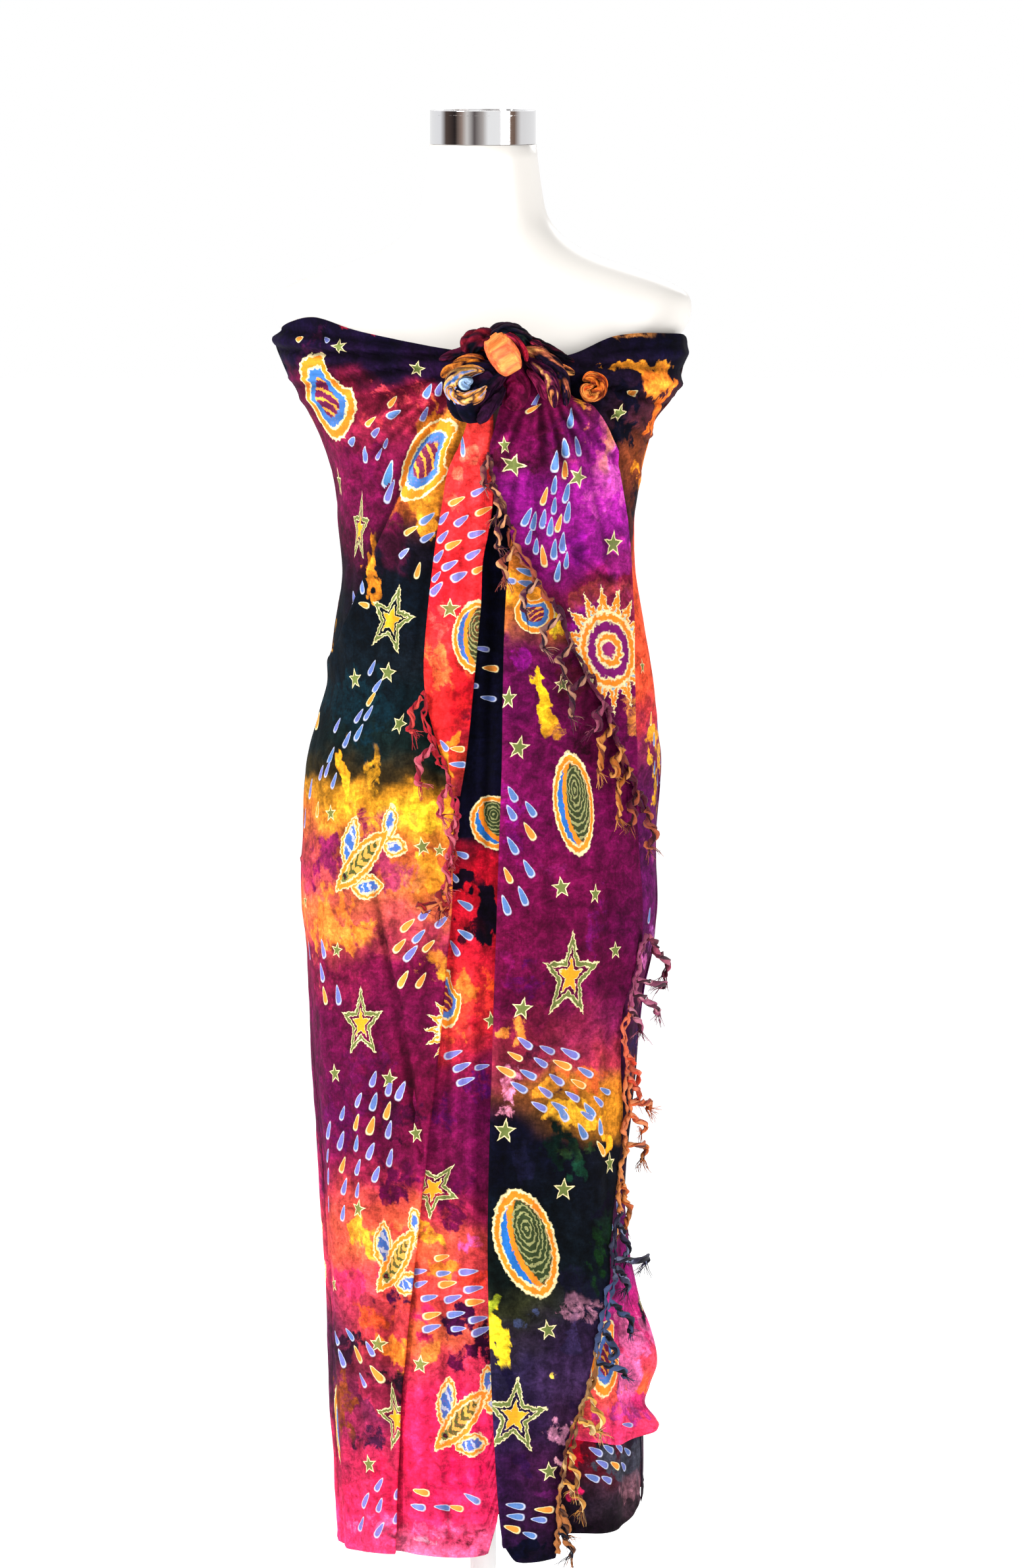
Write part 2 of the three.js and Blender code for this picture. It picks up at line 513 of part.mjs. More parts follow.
const tailLeft = stretch({
  from: edgeAngle(TAIL_LEFT_OUTER), to: edgeAngle(TAIL_LEFT_INNER),
  top: () => 1262, hem: () => 903, layer: LAYER.tail,
  lift: (x, z, across) => leftLift(x, z) + 4 * Math.sin(Math.PI * across),
  rows: 11, columns: 5,
});

const tailRight = stretch({
  from: edgeAngle(TAIL_RIGHT_INNER), to: edgeAngle(TAIL_RIGHT_OUTER),
  top: () => 1294, hem: () => 884, layer: LAYER.over,
  lift: (x, z) => rightLift(x, z) + creaseRise(OVER_CREASES, x, z) + 2 * clamp((z - 1230) / 60, 0, 1),
  rows: 16, columns: 9,
});

// ---------------------------------------------------------------- the knot
// Gathered lump: a ball drawn out to its sizes, ribbed by gathers that run from its top to its bottom.
function lump({ x, z, out, wide, tall, deep, lean, gathers }, grow = 0) {
  const geometry = new THREE.SphereGeometry(1, Math.max(gathers * 2, 12), 7);
  const position = geometry.attributes.position;
  const point = new THREE.Vector3();
  for (let i = 0; i < position.count; i += 1) {
    point.fromBufferAttribute(position, i);
    const round = Math.atan2(point.z, point.x);
    const ribs = 1 + 0.09 * Math.cos(gathers * round) * (1 - point.y * point.y);
    position.setXYZ(i, point.x * ribs * (wide + grow), point.y * (tall + grow), point.z * ribs * (deep + grow));
  }
  geometry.rotateX(Math.PI / 2);
  geometry.rotateY(-lean * DEG);
  const centre = bodyPoint(angleOf(x, z), z, LAYER.over + out);
  geometry.translate(centre.x, centre.y, centre.z);
  return toSolid(geometry);
}

// Everything nearer the body than the cloth under the knot, which the knot's own pieces lie on.
const underKnot = toSolid(stretch({
  from: () => -40, to: () => 55, top: () => 1352, hem: () => 1225, layer: LAYER.over + 8,
  rows: 12, columns: 16, thickness: 60,
}));
const clearOfCloth = (solid) => solid.subtract(underKnot);

const KNOT_GAP = SEAM * 1.5;
const lumps = (rows, grow = 0) => joined(rows.map((row) => lump(row, grow)));
const knotBand = clearOfCloth(lump(KNOT_BAND));
const knotCore = clearOfCloth(lumps(KNOT_CORE)).subtract(lumps([KNOT_BAND], KNOT_GAP));
const knotGathers = clearOfCloth(lumps(KNOT_GATHERS)).subtract(lumps([KNOT_BAND, ...KNOT_CORE], KNOT_GAP));
const knotRuffle = clearOfCloth(lump(KNOT_RUFFLE))
  .subtract(lumps([KNOT_BAND, ...KNOT_CORE, ...KNOT_GATHERS], KNOT_GAP));
const knotRosette = clearOfCloth(lump(ROSETTE)).subtract(lumps(KNOT_GATHERS, KNOT_GAP));

// ---------------------------------------------------------------- the fringes
// A narrow strip just outside the cloth's edge, with every tassel of that edge fused into it.
function fringe({ edge, layer, tassels }) {
  const off = LAYER[layer] + LAYER.fringe;
  const place = (x, z, lift) => {
    const angle = angleOf(x, z);
    return bodyPoint(angle, z, off + foldRise(angle, z) + lift);
  };
  const edgeAt = (z) => lookUp(edge, 'z', z, 'x');
  const high = edge[0].z;
  const low = edge[edge.length - 1].z;
  const steps = Math.ceil((high - low) / 32);
  const route = Array.from({ length: steps + 1 }, (_, i) => {
    const z = mix(high, low, i / steps);
    return place(edgeAt(z), z, 3);
  });
  const strip = toSolid(tube(route, route.map(() => STRIP_RADIUS), 4));
  const strands = tassels.map(({ z, side, drop }, i) => {
    const bend = i % 2 === 0 ? 1 : -1;
    const hang = [0, 0.45, 1].map((t) => place(
      edgeAt(z) + side * t + bend * 3 * Math.sin(Math.PI * t),
      z - drop * t,
      3 + 3 * Math.sin(Math.PI * t * 0.8),
    ));
    return toSolid(tube(hang, [TASSEL_RADIUS - 0.6, TASSEL_RADIUS, TASSEL_RADIUS - 0.6], 3));
  });
  return fromSolid(joined([strip, ...strands]));
}

// ---------------------------------------------------------------- the dress form
function loft(rows, sides) {
  const rings = rows.map(({ z, half, front, back }, i) => {
    const square = mix(2, SQUARENESS, clamp(i / 6, 0, 1));
    return Array.from({ length: sides }, (_, k) => {
      const turn = 2 * Math.PI * k / sides;
      const depth = Math.cos(turn) > 0 ? front : back;
      return new THREE.Vector3(
        half * signedPower(Math.sin(turn), 2 / square),
        -depth * signedPower(Math.cos(turn), 2 / square),
        z,
      );
    });
  });
  const points = [...rings.flat(), new THREE.Vector3(0, 0, rows[0].z), new THREE.Vector3(0, 0, rows.at(-1).z)];
  const faces = [];
  for (let i = 0; i < rows.length - 1; i += 1) {
    for (let k = 0; k < sides; k += 1) {
      const [a, b] = [i * sides + k, i * sides + (k + 1) % sides];
      faces.push([a, a + sides, b + sides], [a, b + sides, b]);
    }
  }
  const [crown, foot, lastRing] = [rings.flat().length, rings.flat().length + 1, (rows.length - 1) * sides];
  for (let k = 0; k < sides; k += 1) {
    const next = (k + 1) % sides;
    faces.push([crown, k, next], [foot, lastRing + next, lastRing + k]);
  }
  return geometryFrom(points, faces);
}

function lathe(profile, segments) {
  const geometry = new THREE.LatheGeometry(profile.map(([r, z]) => new THREE.Vector2(r, z)), segments);
  geometry.rotateX(Math.PI / 2);
  return fromSolid(toSolid(geometry));
}

function neckCap() {
  const bottom = NECK_TOP + SEAM;
  const lip = bottom + CAP.height;
  return lathe([
    [0, bottom], [CAP.radius, bottom], [CAP.radius, lip - 1], [CAP.lipRadius, lip],
    [CAP.lipRadius, lip + CAP.lipHeight - 1], [CAP.lipRadius - 2, lip + CAP.lipHeight], [0, lip + CAP.lipHeight],
  ], 24);
}

function pole() {
  return lathe([
    [0, BASE_THICKNESS + SEAM], [POLE_RADIUS + 14, BASE_THICKNESS + SEAM], [POLE_RADIUS + 14, BASE_THICKNESS + 22],
    [POLE_RADIUS + 8, BASE_THICKNESS + 28], [POLE_RADIUS, BASE_THICKNESS + 28],
    [POLE_RADIUS, TORSO_BOTTOM - SEAM], [0, TORSO_BOTTOM - SEAM],
  ], 16);
}

function base() {
  return lathe([
    [0, 0], [BASE_RADIUS - 2, 0], [BASE_RADIUS, 2], [BASE_RADIUS, BASE_THICKNESS - 3],
    [BASE_RADIUS - 4, BASE_THICKNESS], [0, BASE_THICKNESS],
  ], 28);
}

// ---------------------------------------------------------------- the group
const cloth = (color) => new THREE.MeshStandardMaterial({ color, roughness: 0.85, metalness: 0, side: THREE.DoubleSide });
const FORM_WHITE = new THREE.MeshStandardMaterial({ color: 0xf4f3f0, roughness: 0.35, metalness: 0 });
const STEEL_WHITE = new THREE.MeshStandardMaterial({ color: 0xe9eae8, roughness: 0.3, metalness: 0.1 });
const CHROME = new THREE.MeshStandardMaterial({ color: 0xd9dadc, roughness: 0.08, metalness: 1 });

const PIECES = [
  ['form_base', base(), STEEL_WHITE],
  ['form_pole', pole(), STEEL_WHITE],
  ['form_torso', loft(TORSO, TORSO_SIDES), FORM_WHITE],
  ['form_neck_cap', neckCap(), CHROME],
  ['cloth_back_right', clothBackRight, cloth(0x6a1748)],
  ['cloth_back_left', clothBackLeft, cloth(0x6a1748)],
  ['cloth_lower', clothLower, cloth(0x2a2238)],
  ['cloth_left_front', clothLeftFront, cloth(0x7a1650)],
  ['cloth_right_side', clothRightSide, cloth(0xc0392f)],
  ['cloth_middle', clothMiddle, cloth(0xd22a4a)],
  ['cloth_right_front', clothRightFront, cloth(0x5c1238)],
  ['tail_left', tailLeft, cloth(0xe83a38)],
  ['tail_right', tailRight, cloth(0x8c1a74)],
  ['knot_core', fromSolid(knotCore), cloth(0x1a1430)],
  ['knot_gathers', fromSolid(knotGathers), cloth(0x5c2a3c)],
  ['knot_band', fromSolid(knotBand), cloth(0xf08a4c)],
  ['knot_ruffle', fromSolid(knotRuffle), cloth(0x241c28)],
  ['knot_rosette', fromSolid(knotRosette), cloth(0xf0863c)],
  ['fringe_left', fringe(FRINGE_LEFT), cloth(0xb02a48)],
  ['fringe_upper', fringe(FRINGE_UPPER), cloth(0x7a2248)],
  ['fringe_lower', fringe(FRINGE_LOWER), cloth(0xc07048)],
];

const group = new THREE.Group();
for (const [name, geometry, material] of PIECES) {
  const mesh = new THREE.Mesh(geometry, material);
  mesh.name = name;
  group.add(mesh);
}

export default group;
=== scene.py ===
"""A sarong: one long batik cloth with twisted fringes, wound round a limbless dress form and knotted at the bust."""

import bpy
import numpy as np
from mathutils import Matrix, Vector


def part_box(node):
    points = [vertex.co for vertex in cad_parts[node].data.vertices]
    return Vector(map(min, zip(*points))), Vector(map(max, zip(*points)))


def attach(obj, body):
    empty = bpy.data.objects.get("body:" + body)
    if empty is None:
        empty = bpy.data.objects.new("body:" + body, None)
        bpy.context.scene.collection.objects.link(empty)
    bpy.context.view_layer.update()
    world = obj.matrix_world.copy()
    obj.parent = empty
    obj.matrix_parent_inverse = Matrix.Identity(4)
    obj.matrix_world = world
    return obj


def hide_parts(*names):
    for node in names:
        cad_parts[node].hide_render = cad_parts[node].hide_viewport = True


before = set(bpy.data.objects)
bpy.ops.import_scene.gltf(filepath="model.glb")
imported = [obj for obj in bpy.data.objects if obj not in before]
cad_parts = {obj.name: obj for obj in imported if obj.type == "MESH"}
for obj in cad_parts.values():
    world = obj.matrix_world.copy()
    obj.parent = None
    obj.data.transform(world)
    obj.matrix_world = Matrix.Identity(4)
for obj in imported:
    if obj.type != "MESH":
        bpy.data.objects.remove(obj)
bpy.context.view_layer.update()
MM = 0.001

# ---------------------------------------------------------------------------------------------- camera
# A long lens, a little above the middle of the cloth, takes in the form from its neck cap down to the hem.
FRAME_HEIGHT = 1.428
FRAME_CENTRE = Vector((0.0267, -0.110, 0.9126))
CAMERA_DISTANCE = 12.0
LOOK_DOWN = np.radians(4.2)
SENSOR = 36.0
camera = bpy.data.objects.new("camera", bpy.data.cameras.new("camera"))
camera.data.sensor_width = SENSOR
camera.data.lens = SENSOR * CAMERA_DISTANCE / FRAME_HEIGHT
camera.data.clip_end = 60.0
camera.location = FRAME_CENTRE + CAMERA_DISTANCE * Vector((0, -np.cos(LOOK_DOWN), np.sin(LOOK_DOWN)))
camera.rotation_euler = (np.pi / 2 - LOOK_DOWN, 0, 0)
bpy.context.collection.objects.link(camera)
bpy.context.scene.camera = camera

# ---------------------------------------------------------------------------------------------- base and pole
# The stand is a turned steel disc with a collar, and a straight steel tube. Both are sprayed satin white.
BASE_RADIUS = 0.165
BASE_THICKNESS = 0.009
COLLAR_RADIUS = 0.026


def only(piece):
    """Select this piece alone and make it active."""
    bpy.ops.object.select_all(action="DESELECT")
    piece.select_set(True)
    bpy.context.view_layer.objects.active = piece


def turned(name, radius, low, high, segments, rim, steps=()):
    """A cylinder between two heights, stepped by insets and moves of its top, with a rounded rim."""
    bpy.ops.object.select_all(action="DESELECT")
    bpy.ops.mesh.primitive_cylinder_add(
        vertices=segments, radius=radius, depth=high - low, location=(0, 0, (low + high) / 2)
    )
    piece = bpy.context.object
    piece.name = name
    bpy.ops.object.transform_apply(location=True, rotation=False, scale=False)
    bpy.ops.object.mode_set(mode="EDIT")
    bpy.ops.mesh.select_all(action="DESELECT")
    bpy.ops.object.mode_set(mode="OBJECT")
    for face in piece.data.polygons:
        face.select = face.normal.z > 0.9
    bpy.ops.object.mode_set(mode="EDIT")
    bpy.ops.mesh.select_mode(type="FACE")
    for inset, rise in steps:
        bpy.ops.mesh.inset(thickness=inset)
        bpy.ops.mesh.extrude_region_move(TRANSFORM_OT_translate={"value": (0, 0, rise)})
    bpy.ops.object.mode_set(mode="OBJECT")
    bevel = piece.modifiers.new("rim", "BEVEL")
    bevel.width = rim
    bevel.segments = 3
    bevel.limit_method = "ANGLE"
    only(piece)
    bpy.ops.object.modifier_apply(modifier="rim")
    bpy.ops.object.shade_smooth_by_angle(angle=np.radians(35))
    # the walls stay straight up to the rounded rim, so that polished metal mirrors without a bend
    piece.modifiers.new("straight_walls", "WEIGHTED_NORMAL").keep_sharp = True
    bpy.ops.object.modifier_apply(modifier="straight_walls")
    return piece


def finish_piece(piece, material, slot, *nodes):
    """Give a new piece its material and its body, and hide the solids that it stands for. Its slot is not used."""
    piece.data.materials.clear()
    piece.data.materials.append(material)
    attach(piece, "root")
    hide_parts(*nodes)


def new_material(name, colour, roughness):
    """A material with its Principled shader, and that shader and its tree."""
    material = bpy.data.materials.new(name)
    material.use_nodes = True
    shader = material.node_tree.nodes["Principled BSDF"]
    shader.inputs["Base Color"].default_value = (*colour, 1)
    shader.inputs["Roughness"].default_value = roughness
    return material, shader, material.node_tree


def noise(tree, vector, scale, detail, roughness=0.5, distortion=0.0):
    """A noise texture's value over a vector."""
    node = tree.nodes.new("ShaderNodeTexNoise")
    node.inputs["Scale"].default_value = scale
    node.inputs["Detail"].default_value = detail
    node.inputs["Roughness"].default_value = roughness
    node.inputs["Distortion"].default_value = distortion
    tree.links.new(vector, node.inputs["Vector"])
    return node.outputs["Fac"]


def object_place(tree):
    return tree.nodes.new("ShaderNodeTexCoord").outputs["Object"]


def bump(tree, height, strength, distance, shader, normal=None):
    """Relief from a height over the shader's normal."""
    node = tree.nodes.new("ShaderNodeBump")
    node.inputs["Strength"].default_value = strength
    node.inputs["Distance"].default_value = distance
    tree.links.new(height, node.inputs["Height"])
    if normal is not None:
        tree.links.new(normal, node.inputs["Normal"])
    tree.links.new(node.outputs["Normal"], shader.inputs["Normal"])
    return node.outputs["Normal"]


def ramp(tree, value, stops, interpolation="LINEAR"):
    """A colour ramp with stops of (place, colour or grey, alpha)."""
    node = tree.nodes.new("ShaderNodeValToRGB")
    node.color_ramp.interpolation = interpolation
    while len(node.color_ramp.elements) < len(stops):
        node.color_ramp.elements.new(1.0)
    for element, stop in zip(node.color_ramp.elements, stops):
        colour = stop[1] if hasattr(stop[1], "__len__") else (stop[1],) * 3
        element.position = stop[0]
        element.color = (*colour, stop[2] if len(stop) > 2 else 1.0)
    tree.links.new(value, node.inputs["Fac"])
    return node


def sprayed_steel():
    """Satin white paint with a faint orange peel and slightly uneven gloss."""
    material, shader, tree = new_material("sprayed_steel", (0.86, 0.86, 0.85), 0.3)
    place = object_place(tree)
    gloss = ramp(tree, noise(tree, place, 14, 4), [(0.3, 0.26), (0.7, 0.4)])
    tree.links.new(gloss.outputs["Color"], shader.inputs["Roughness"])
    bump(tree, noise(tree, place, 900, 2), 0.15, 0.0004, shader)
    return material


steel = sprayed_steel()
base = turned("stand_base", BASE_RADIUS, 0.0, BASE_THICKNESS, 160, 0.0022)
finish_piece(base, steel, "painted_steel", "form_base")
pole_low, pole_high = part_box("form_pole")
pole = turned(
    "stand_pole", COLLAR_RADIUS, pole_low.z, pole_low.z + 0.014, 64, 0.0012,
    steps=[(0.006, 0.005), (0.008, pole_high.z - pole_low.z - 0.0191)],
)
finish_piece(pole, steel, "painted_steel", "form_pole")

# ---------------------------------------------------------------------------------------------- torso
# The torso is a smooth moulded shell, white and slightly glossy, with no arms and a plain cut neck.
NECK_TOP = 1.492


def torso_copy():
    """The torso's solid, merged, turned to quads and smoothed into one even surface."""
    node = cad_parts["form_torso"]
    piece = bpy.data.objects.new("torso", node.data.copy())
    bpy.context.collection.objects.link(piece)
    only(piece)
    bpy.ops.object.mode_set(mode="EDIT")
    bpy.ops.mesh.select_all(action="SELECT")
    bpy.ops.mesh.remove_doubles(threshold=1e-5)
    bpy.ops.mesh.tris_convert_to_quads(face_threshold=np.radians(60), shape_threshold=np.radians(80))
    bpy.ops.mesh.normals_make_consistent(inside=False)
    bpy.ops.object.mode_set(mode="OBJECT")
    crease = piece.data.attributes.new("crease_edge", "FLOAT", "EDGE")
    top = np.array([max(abs(piece.data.vertices[v].co.z - NECK_TOP) for v in e.vertices) < 1e-4
                    for e in piece.data.edges], float)
    crease.data.foreach_set("value", top)
    smoothing = piece.modifiers.new("smoothing", "SUBSURF")
    smoothing.levels = 2
    smoothing.render_levels = 2
    bpy.ops.object.modifier_apply(modifier="smoothing")
    bpy.ops.object.shade_smooth_by_angle(angle=np.radians(50))
    return piece


def moulded_shell():
    """White moulded plastic with a coat of gloss, a little cloudy and finely pebbled."""
    material, shader, tree = new_material("moulded_shell", (0.77, 0.735, 0.69), 0.38)
    shader.inputs["Coat Weight"].default_value = 0.35
    shader.inputs["Coat Roughness"].default_value = 0.2
    place = object_place(tree)
    cloudy = ramp(tree, noise(tree, place, 5, 3), [(0.3, (0.79, 0.755, 0.71)), (0.7, (0.75, 0.715, 0.67))])
    tree.links.new(cloudy.outputs["Color"], shader.inputs["Base Color"])
    bump(tree, noise(tree, place, 420, 3), 0.12, 0.0004, shader)
    return material


torso = torso_copy()
finish_piece(torso, moulded_shell(), "form_shell", "form_torso")

# ---------------------------------------------------------------------------------------------- neck cap
# A spun chrome cap closes the neck: a straight band with a thin flared lip.
CAP_RADIUS = 0.0485
CAP_LIP = 0.050


def mirror_chrome():
    """Bright chrome with faint polishing lines round it."""
    material, shader, tree = new_material("mirror_chrome", (0.78, 0.78, 0.79), 0.06)
    shader.inputs["Metallic"].default_value = 1.0
    place = object_place(tree)
    squash = tree.nodes.new("ShaderNodeMapping")
    squash.inputs["Scale"].default_value = (1, 1, 90)
    tree.links.new(place, squash.inputs["Vector"])
    lines = ramp(tree, noise(tree, squash.outputs["Vector"], 22, 3), [(0.3, 0.04), (0.75, 0.1)])
    tree.links.new(lines.outputs["Color"], shader.inputs["Roughness"])
    return material


cap_low, cap_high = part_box("form_neck_cap")
cap = turned(
    "neck_cap", CAP_RADIUS, cap_low.z, cap_high.z - 0.0042, 128, 0.0006,
    steps=[(-(CAP_LIP - CAP_RADIUS), 0.0042), (0.004, -0.0008)],
)
finish_piece(cap, mirror_chrome(), "chrome", "form_neck_cap")

# ---------------------------------------------------------------------------------------------- cloth at the back
# The cloth is a thin plain-woven rayon, batik-printed and tie-dyed, 1.13 m wide and about 1.8 m long. It goes
# round the form from the back. This stretch covers the back and both sides, and hangs in soft upright folds.
SQUARENESS = 2.2
HEM_HEIGHT = 200
FABRIC = 0.8
LAYER = {"deep": -4.5, "lower": -1.4, "skin": 0.0, "side": 3.2, "tail": 5.6, "front": 8.4, "over": 12.4}
LEFT_SEAM = -88
RIGHT_SEAM = 84
# height, half-widths to the left and right, depths to the front and back
OUTLINE = [
    (1345, 188, 184, 99, 92), (1314, 191, 188, 106, 96), (1289, 182, 184, 114, 99),
    (1261, 167, 174, 124, 101),
    (1240, 156, 158, 130, 102), (1220, 147, 152, 131, 102), (1192, 138, 145, 128, 100),
    (1160, 133, 140, 121, 97),
    (1128, 131, 138, 115, 94), (1096, 129, 140, 110, 93), (1060, 135, 146, 111, 97),
    (1006, 141, 156, 115, 105),
    (970, 151, 160, 118, 112), (925, 162, 163, 121, 118), (855, 166, 160, 124, 121),
    (800, 167, 160, 124, 117),
    (750, 162, 155, 123, 113), (700, 159, 146, 122, 110), (640, 156, 140, 121, 108),
    (580, 151, 134, 119, 107),
    (515, 147, 130, 117, 106), (430, 141, 138, 115, 105), (350, 139, 143, 113, 104),
    (285, 135, 147, 111, 103),
    (235, 132, 146, 109, 103), (190, 129, 140, 108, 102),
]
# angle round the body (0 front, 90 right, 180 back) and height of the top edge
TOP_EDGE = [
    (-180, 1286), (-120, 1296), (-96, 1308), (-84, 1317), (-68, 1330), (-52, 1336), (-35, 1325), (-8, 1309),
    (12, 1300), (23, 1304), (38, 1320), (62, 1321), (80, 1316), (96, 1296), (120, 1290), (180, 1286),
]
# angle and height of the lowest hem
HEM = [
    (-180, 214), (-95, 203), (-55, 203), (-20, 200), (25, 222), (52, 221), (68, 226), (82, 240), (96, 256),
    (125, 238), (180, 214),
]
# start height, angle at the start and at the hem, width in degrees, rise at the hem
FOLDS = [
    (1150, -20, -52, 8, 4), (1120, -31, -37, 6, -5), (900, -62, -66, 9, 4), (860, -84, -82, 7, -4),
    (1100, 14, 17, 7, 3), (900, 30, 27, 7, -3), (850, 52, 44, 8, 3), (880, 74, 66, 7, -4),
    (900, 112, 110, 9, 8), (870, 132, 128, 7, -7), (950, 150, 146, 9, 9), (840, 168, 166, 8, -6),
    (930, 185, 186, 9, 8), (880, 204, 206, 8, -7), (960, 222, 226, 9, 9), (850, 242, 246, 7, -5),
    (900, 258, 263, 8, 5),
]


def smooth(t):
    t = np.clip(t, 0, 1)
    return t * t * (3 - 2 * t)


def curve(rows, column=1):
    """A smooth curve through one column of a table, over its first column."""
    rows = sorted(rows)
    at = np.array([row[0] for row in rows], float)
    value = np.array([row[column] for row in rows], float)
    slope = np.empty(len(rows))
    slope[1:-1] = (value[2:] - value[:-2]) / (at[2:] - at[:-2])
    slope[0] = (value[1] - value[0]) / (at[1] - at[0])
    slope[-1] = (value[-1] - value[-2]) / (at[-1] - at[-2])

    def read(place):
        place = np.clip(place, at[0], at[-1])
        i = np.clip(np.searchsorted(at, place, side="right") - 1, 0, len(at) - 2)
        span = at[i + 1] - at[i]
        t = (place - at[i]) / span
        return (
            (2 * t**3 - 3 * t**2 + 1) * value[i] + (t**3 - 2 * t**2 + t) * span * slope[i]
            + (3 * t**2 - 2 * t**3) * value[i + 1] + (t**3 - t**2) * span * slope[i + 1]
        )

    return read


half_left, half_right, depth_front, depth_back = (curve(OUTLINE, column) for column in (1, 2, 3, 4))
top_edge = curve(TOP_EDGE)
lowest_hem = curve(HEM)


def signed_power(value, power):
    return np.sign(value) * np.abs(value) ** power


def wrapped(angle):
    return (angle + 540) % 360 - 180


def body_point(angle, z, off):
    """Points, in millimetres, at angles and heights, standing off the body along its own normal."""
    half = (half_right(z) + half_left(z)) / 2
    middle = (half_right(z) - half_left(z)) / 2
    sine, cosine = np.sin(np.radians(angle)), np.cos(np.radians(angle))
    depth = np.where(cosine > 0, depth_front(z), depth_back(z))
    x = half * signed_power(sine, 2 / SQUARENESS)
    y = -depth * signed_power(cosine, 2 / SQUARENESS)
    nx = signed_power(x / half, SQUARENESS - 1) / half
    ny = signed_power(y / depth, SQUARENESS - 1) / depth
    length = np.hypot(nx, ny)
    return np.stack([middle + x + nx / length * off, y + ny / length * off, z + 0 * x], axis=-1)


def angle_of(x, z):
    """The angle round the body of a place on the front, at a distance from the middle."""
    half = (half_right(z) + half_left(z)) / 2
    middle = (half_right(z) - half_left(z)) / 2
    return np.degrees(np.arcsin(signed_power(np.clip((x - middle) / half, -1, 1), SQUARENESS / 2)))


def fold_rise(angle, z):
    """How far the soft upright folds lift the cloth."""
    rise = 0
    for start, first, last, width, high in FOLDS:
        down = np.clip((start - z) / (start - HEM_HEIGHT), 0, 1)
        away = wrapped(angle - (first + (last - first) * down))
        rise = rise + high * smooth(down * 1.6) * np.exp(-((away / width) ** 2))
    return rise


def girth_table():
    """Distance along the cloth round the body from the front's middle, over heights and angles."""
    heights = np.arange(180.0, 1361.0, 20.0)
    angles = np.arange(-100.0, 301.0, 2.0)
    points = body_point(angles[None, :], heights[:, None], 0)
    steps = np.linalg.norm(np.diff(points, axis=1), axis=2)
    total = np.concatenate([np.zeros((len(heights), 1)), np.cumsum(steps, axis=1)], axis=1)
    return heights, angles, total - total[:, 50:51]


GIRTH_HEIGHTS, GIRTH_ANGLES, GIRTH = girth_table()


def girth(angle, z):
    """Distance along the cloth from the front's middle, at angles and heights."""
    row = np.clip((z - GIRTH_HEIGHTS[0]) / 20, 0, len(GIRTH_HEIGHTS) - 1.001)
    column = np.clip((angle - GIRTH_ANGLES[0]) / 2, 0, len(GIRTH_ANGLES) - 1.001)
    i, j = row.astype(int), column.astype(int)
    s, t = row - i, column - j
    return (
        GIRTH[i, j] * (1 - s) * (1 - t) + GIRTH[i + 1, j] * s * (1 - t)
        + GIRTH[i, j + 1] * (1 - s) * t + GIRTH[i + 1, j + 1] * s * t
    )


def crease_rise(creases, x, z):
    """Lift of a stretch's own creases: ridges along lines, and pleats that step up on the lower right side."""
    ridges, steps = 0, 0
    for x0, z0, x1, z1, width, high, step in creases:
        length = np.hypot(x1 - x0, z1 - z0)
        ax, az = (x1 - x0) / length, (z1 - z0) / length
        share = ((x - x0) * ax + (z - z0) * az) / length
        side = ax * (z - z0) - az * (x - x0)
        ends = smooth(1 + (0.5 - np.abs(share - 0.5)) * 4)
        if step:
            across = smooth(side / width + 0.5) * np.exp(-np.maximum(side, 0) / 45)
            steps = np.maximum(steps, high * across * ends)
        else:
            ridges = ridges + high * np.exp(-((side / width) ** 2)) * ends
    return ridges + steps


LATTICE = np.random.RandomState(7).uniform(-1, 1, (256, 256))
DYE_DEPTH = 1.24


def cloud(u, v, size, octaves=3, shift=0):
    """Soft noise from -1 to 1 over two distances, with its largest clouds of one size."""
    total, weight, share = 0, 0, 1.0
    for octave in range(octaves):
        a = u / size * 2**octave + 31.7 * octave + 17.3 * shift
        b = v / size * 2**octave + 57.1 * octave + 41.9 * shift
        i, j = np.floor(a).astype(int), np.floor(b).astype(int)
        s, t = smooth(a - i), smooth(b - j)
        value = (
            LATTICE[i % 256, j % 256] * (1 - s) * (1 - t) + LATTICE[(i + 1) % 256, j % 256] * s * (1 - t)
            + LATTICE[i % 256, (j + 1) % 256] * (1 - s) * t + LATTICE[(i + 1) % 256, (j + 1) % 256] * s * t
        )
        total, weight, share = total + value * share, weight + share, share * 0.55
    return total / weight * 1.5


def dye(code):
    """A dye's linear colour from its six-digit code, and deeper where it is dark, as it soaks the cloth."""
    parts = np.array([int(code[i:i + 2], 16) for i in (0, 2, 4)]) / 255
    return np.where(parts <= 0.04045, parts / 12.92, ((parts + 0.055) / 1.055) ** 2.4) ** DYE_DEPTH


def bands_at(bands, place, side):
    """Dyes down a table of heights, each with its dye at the stretch's left and right edges."""
    bands = sorted(bands)
    at = np.array([band[0] for band in bands], float)
    first = np.array([dye(band[1]) for band in bands])
    last = np.array([dye(band[-1]) for band in bands])
    place = np.clip(place, at[0], at[-1])
    i = np.clip(np.searchsorted(at, place, side="right") - 1, 0, len(at) - 2)
    t = smooth((place - at[i]) / (at[i + 1] - at[i]))[..., None]
    side = side[..., None]
    return (
        (first[i] * (1 - side) + last[i] * side) * (1 - t)
        + (first[i + 1] * (1 - side) + last[i + 1] * side) * t
    )


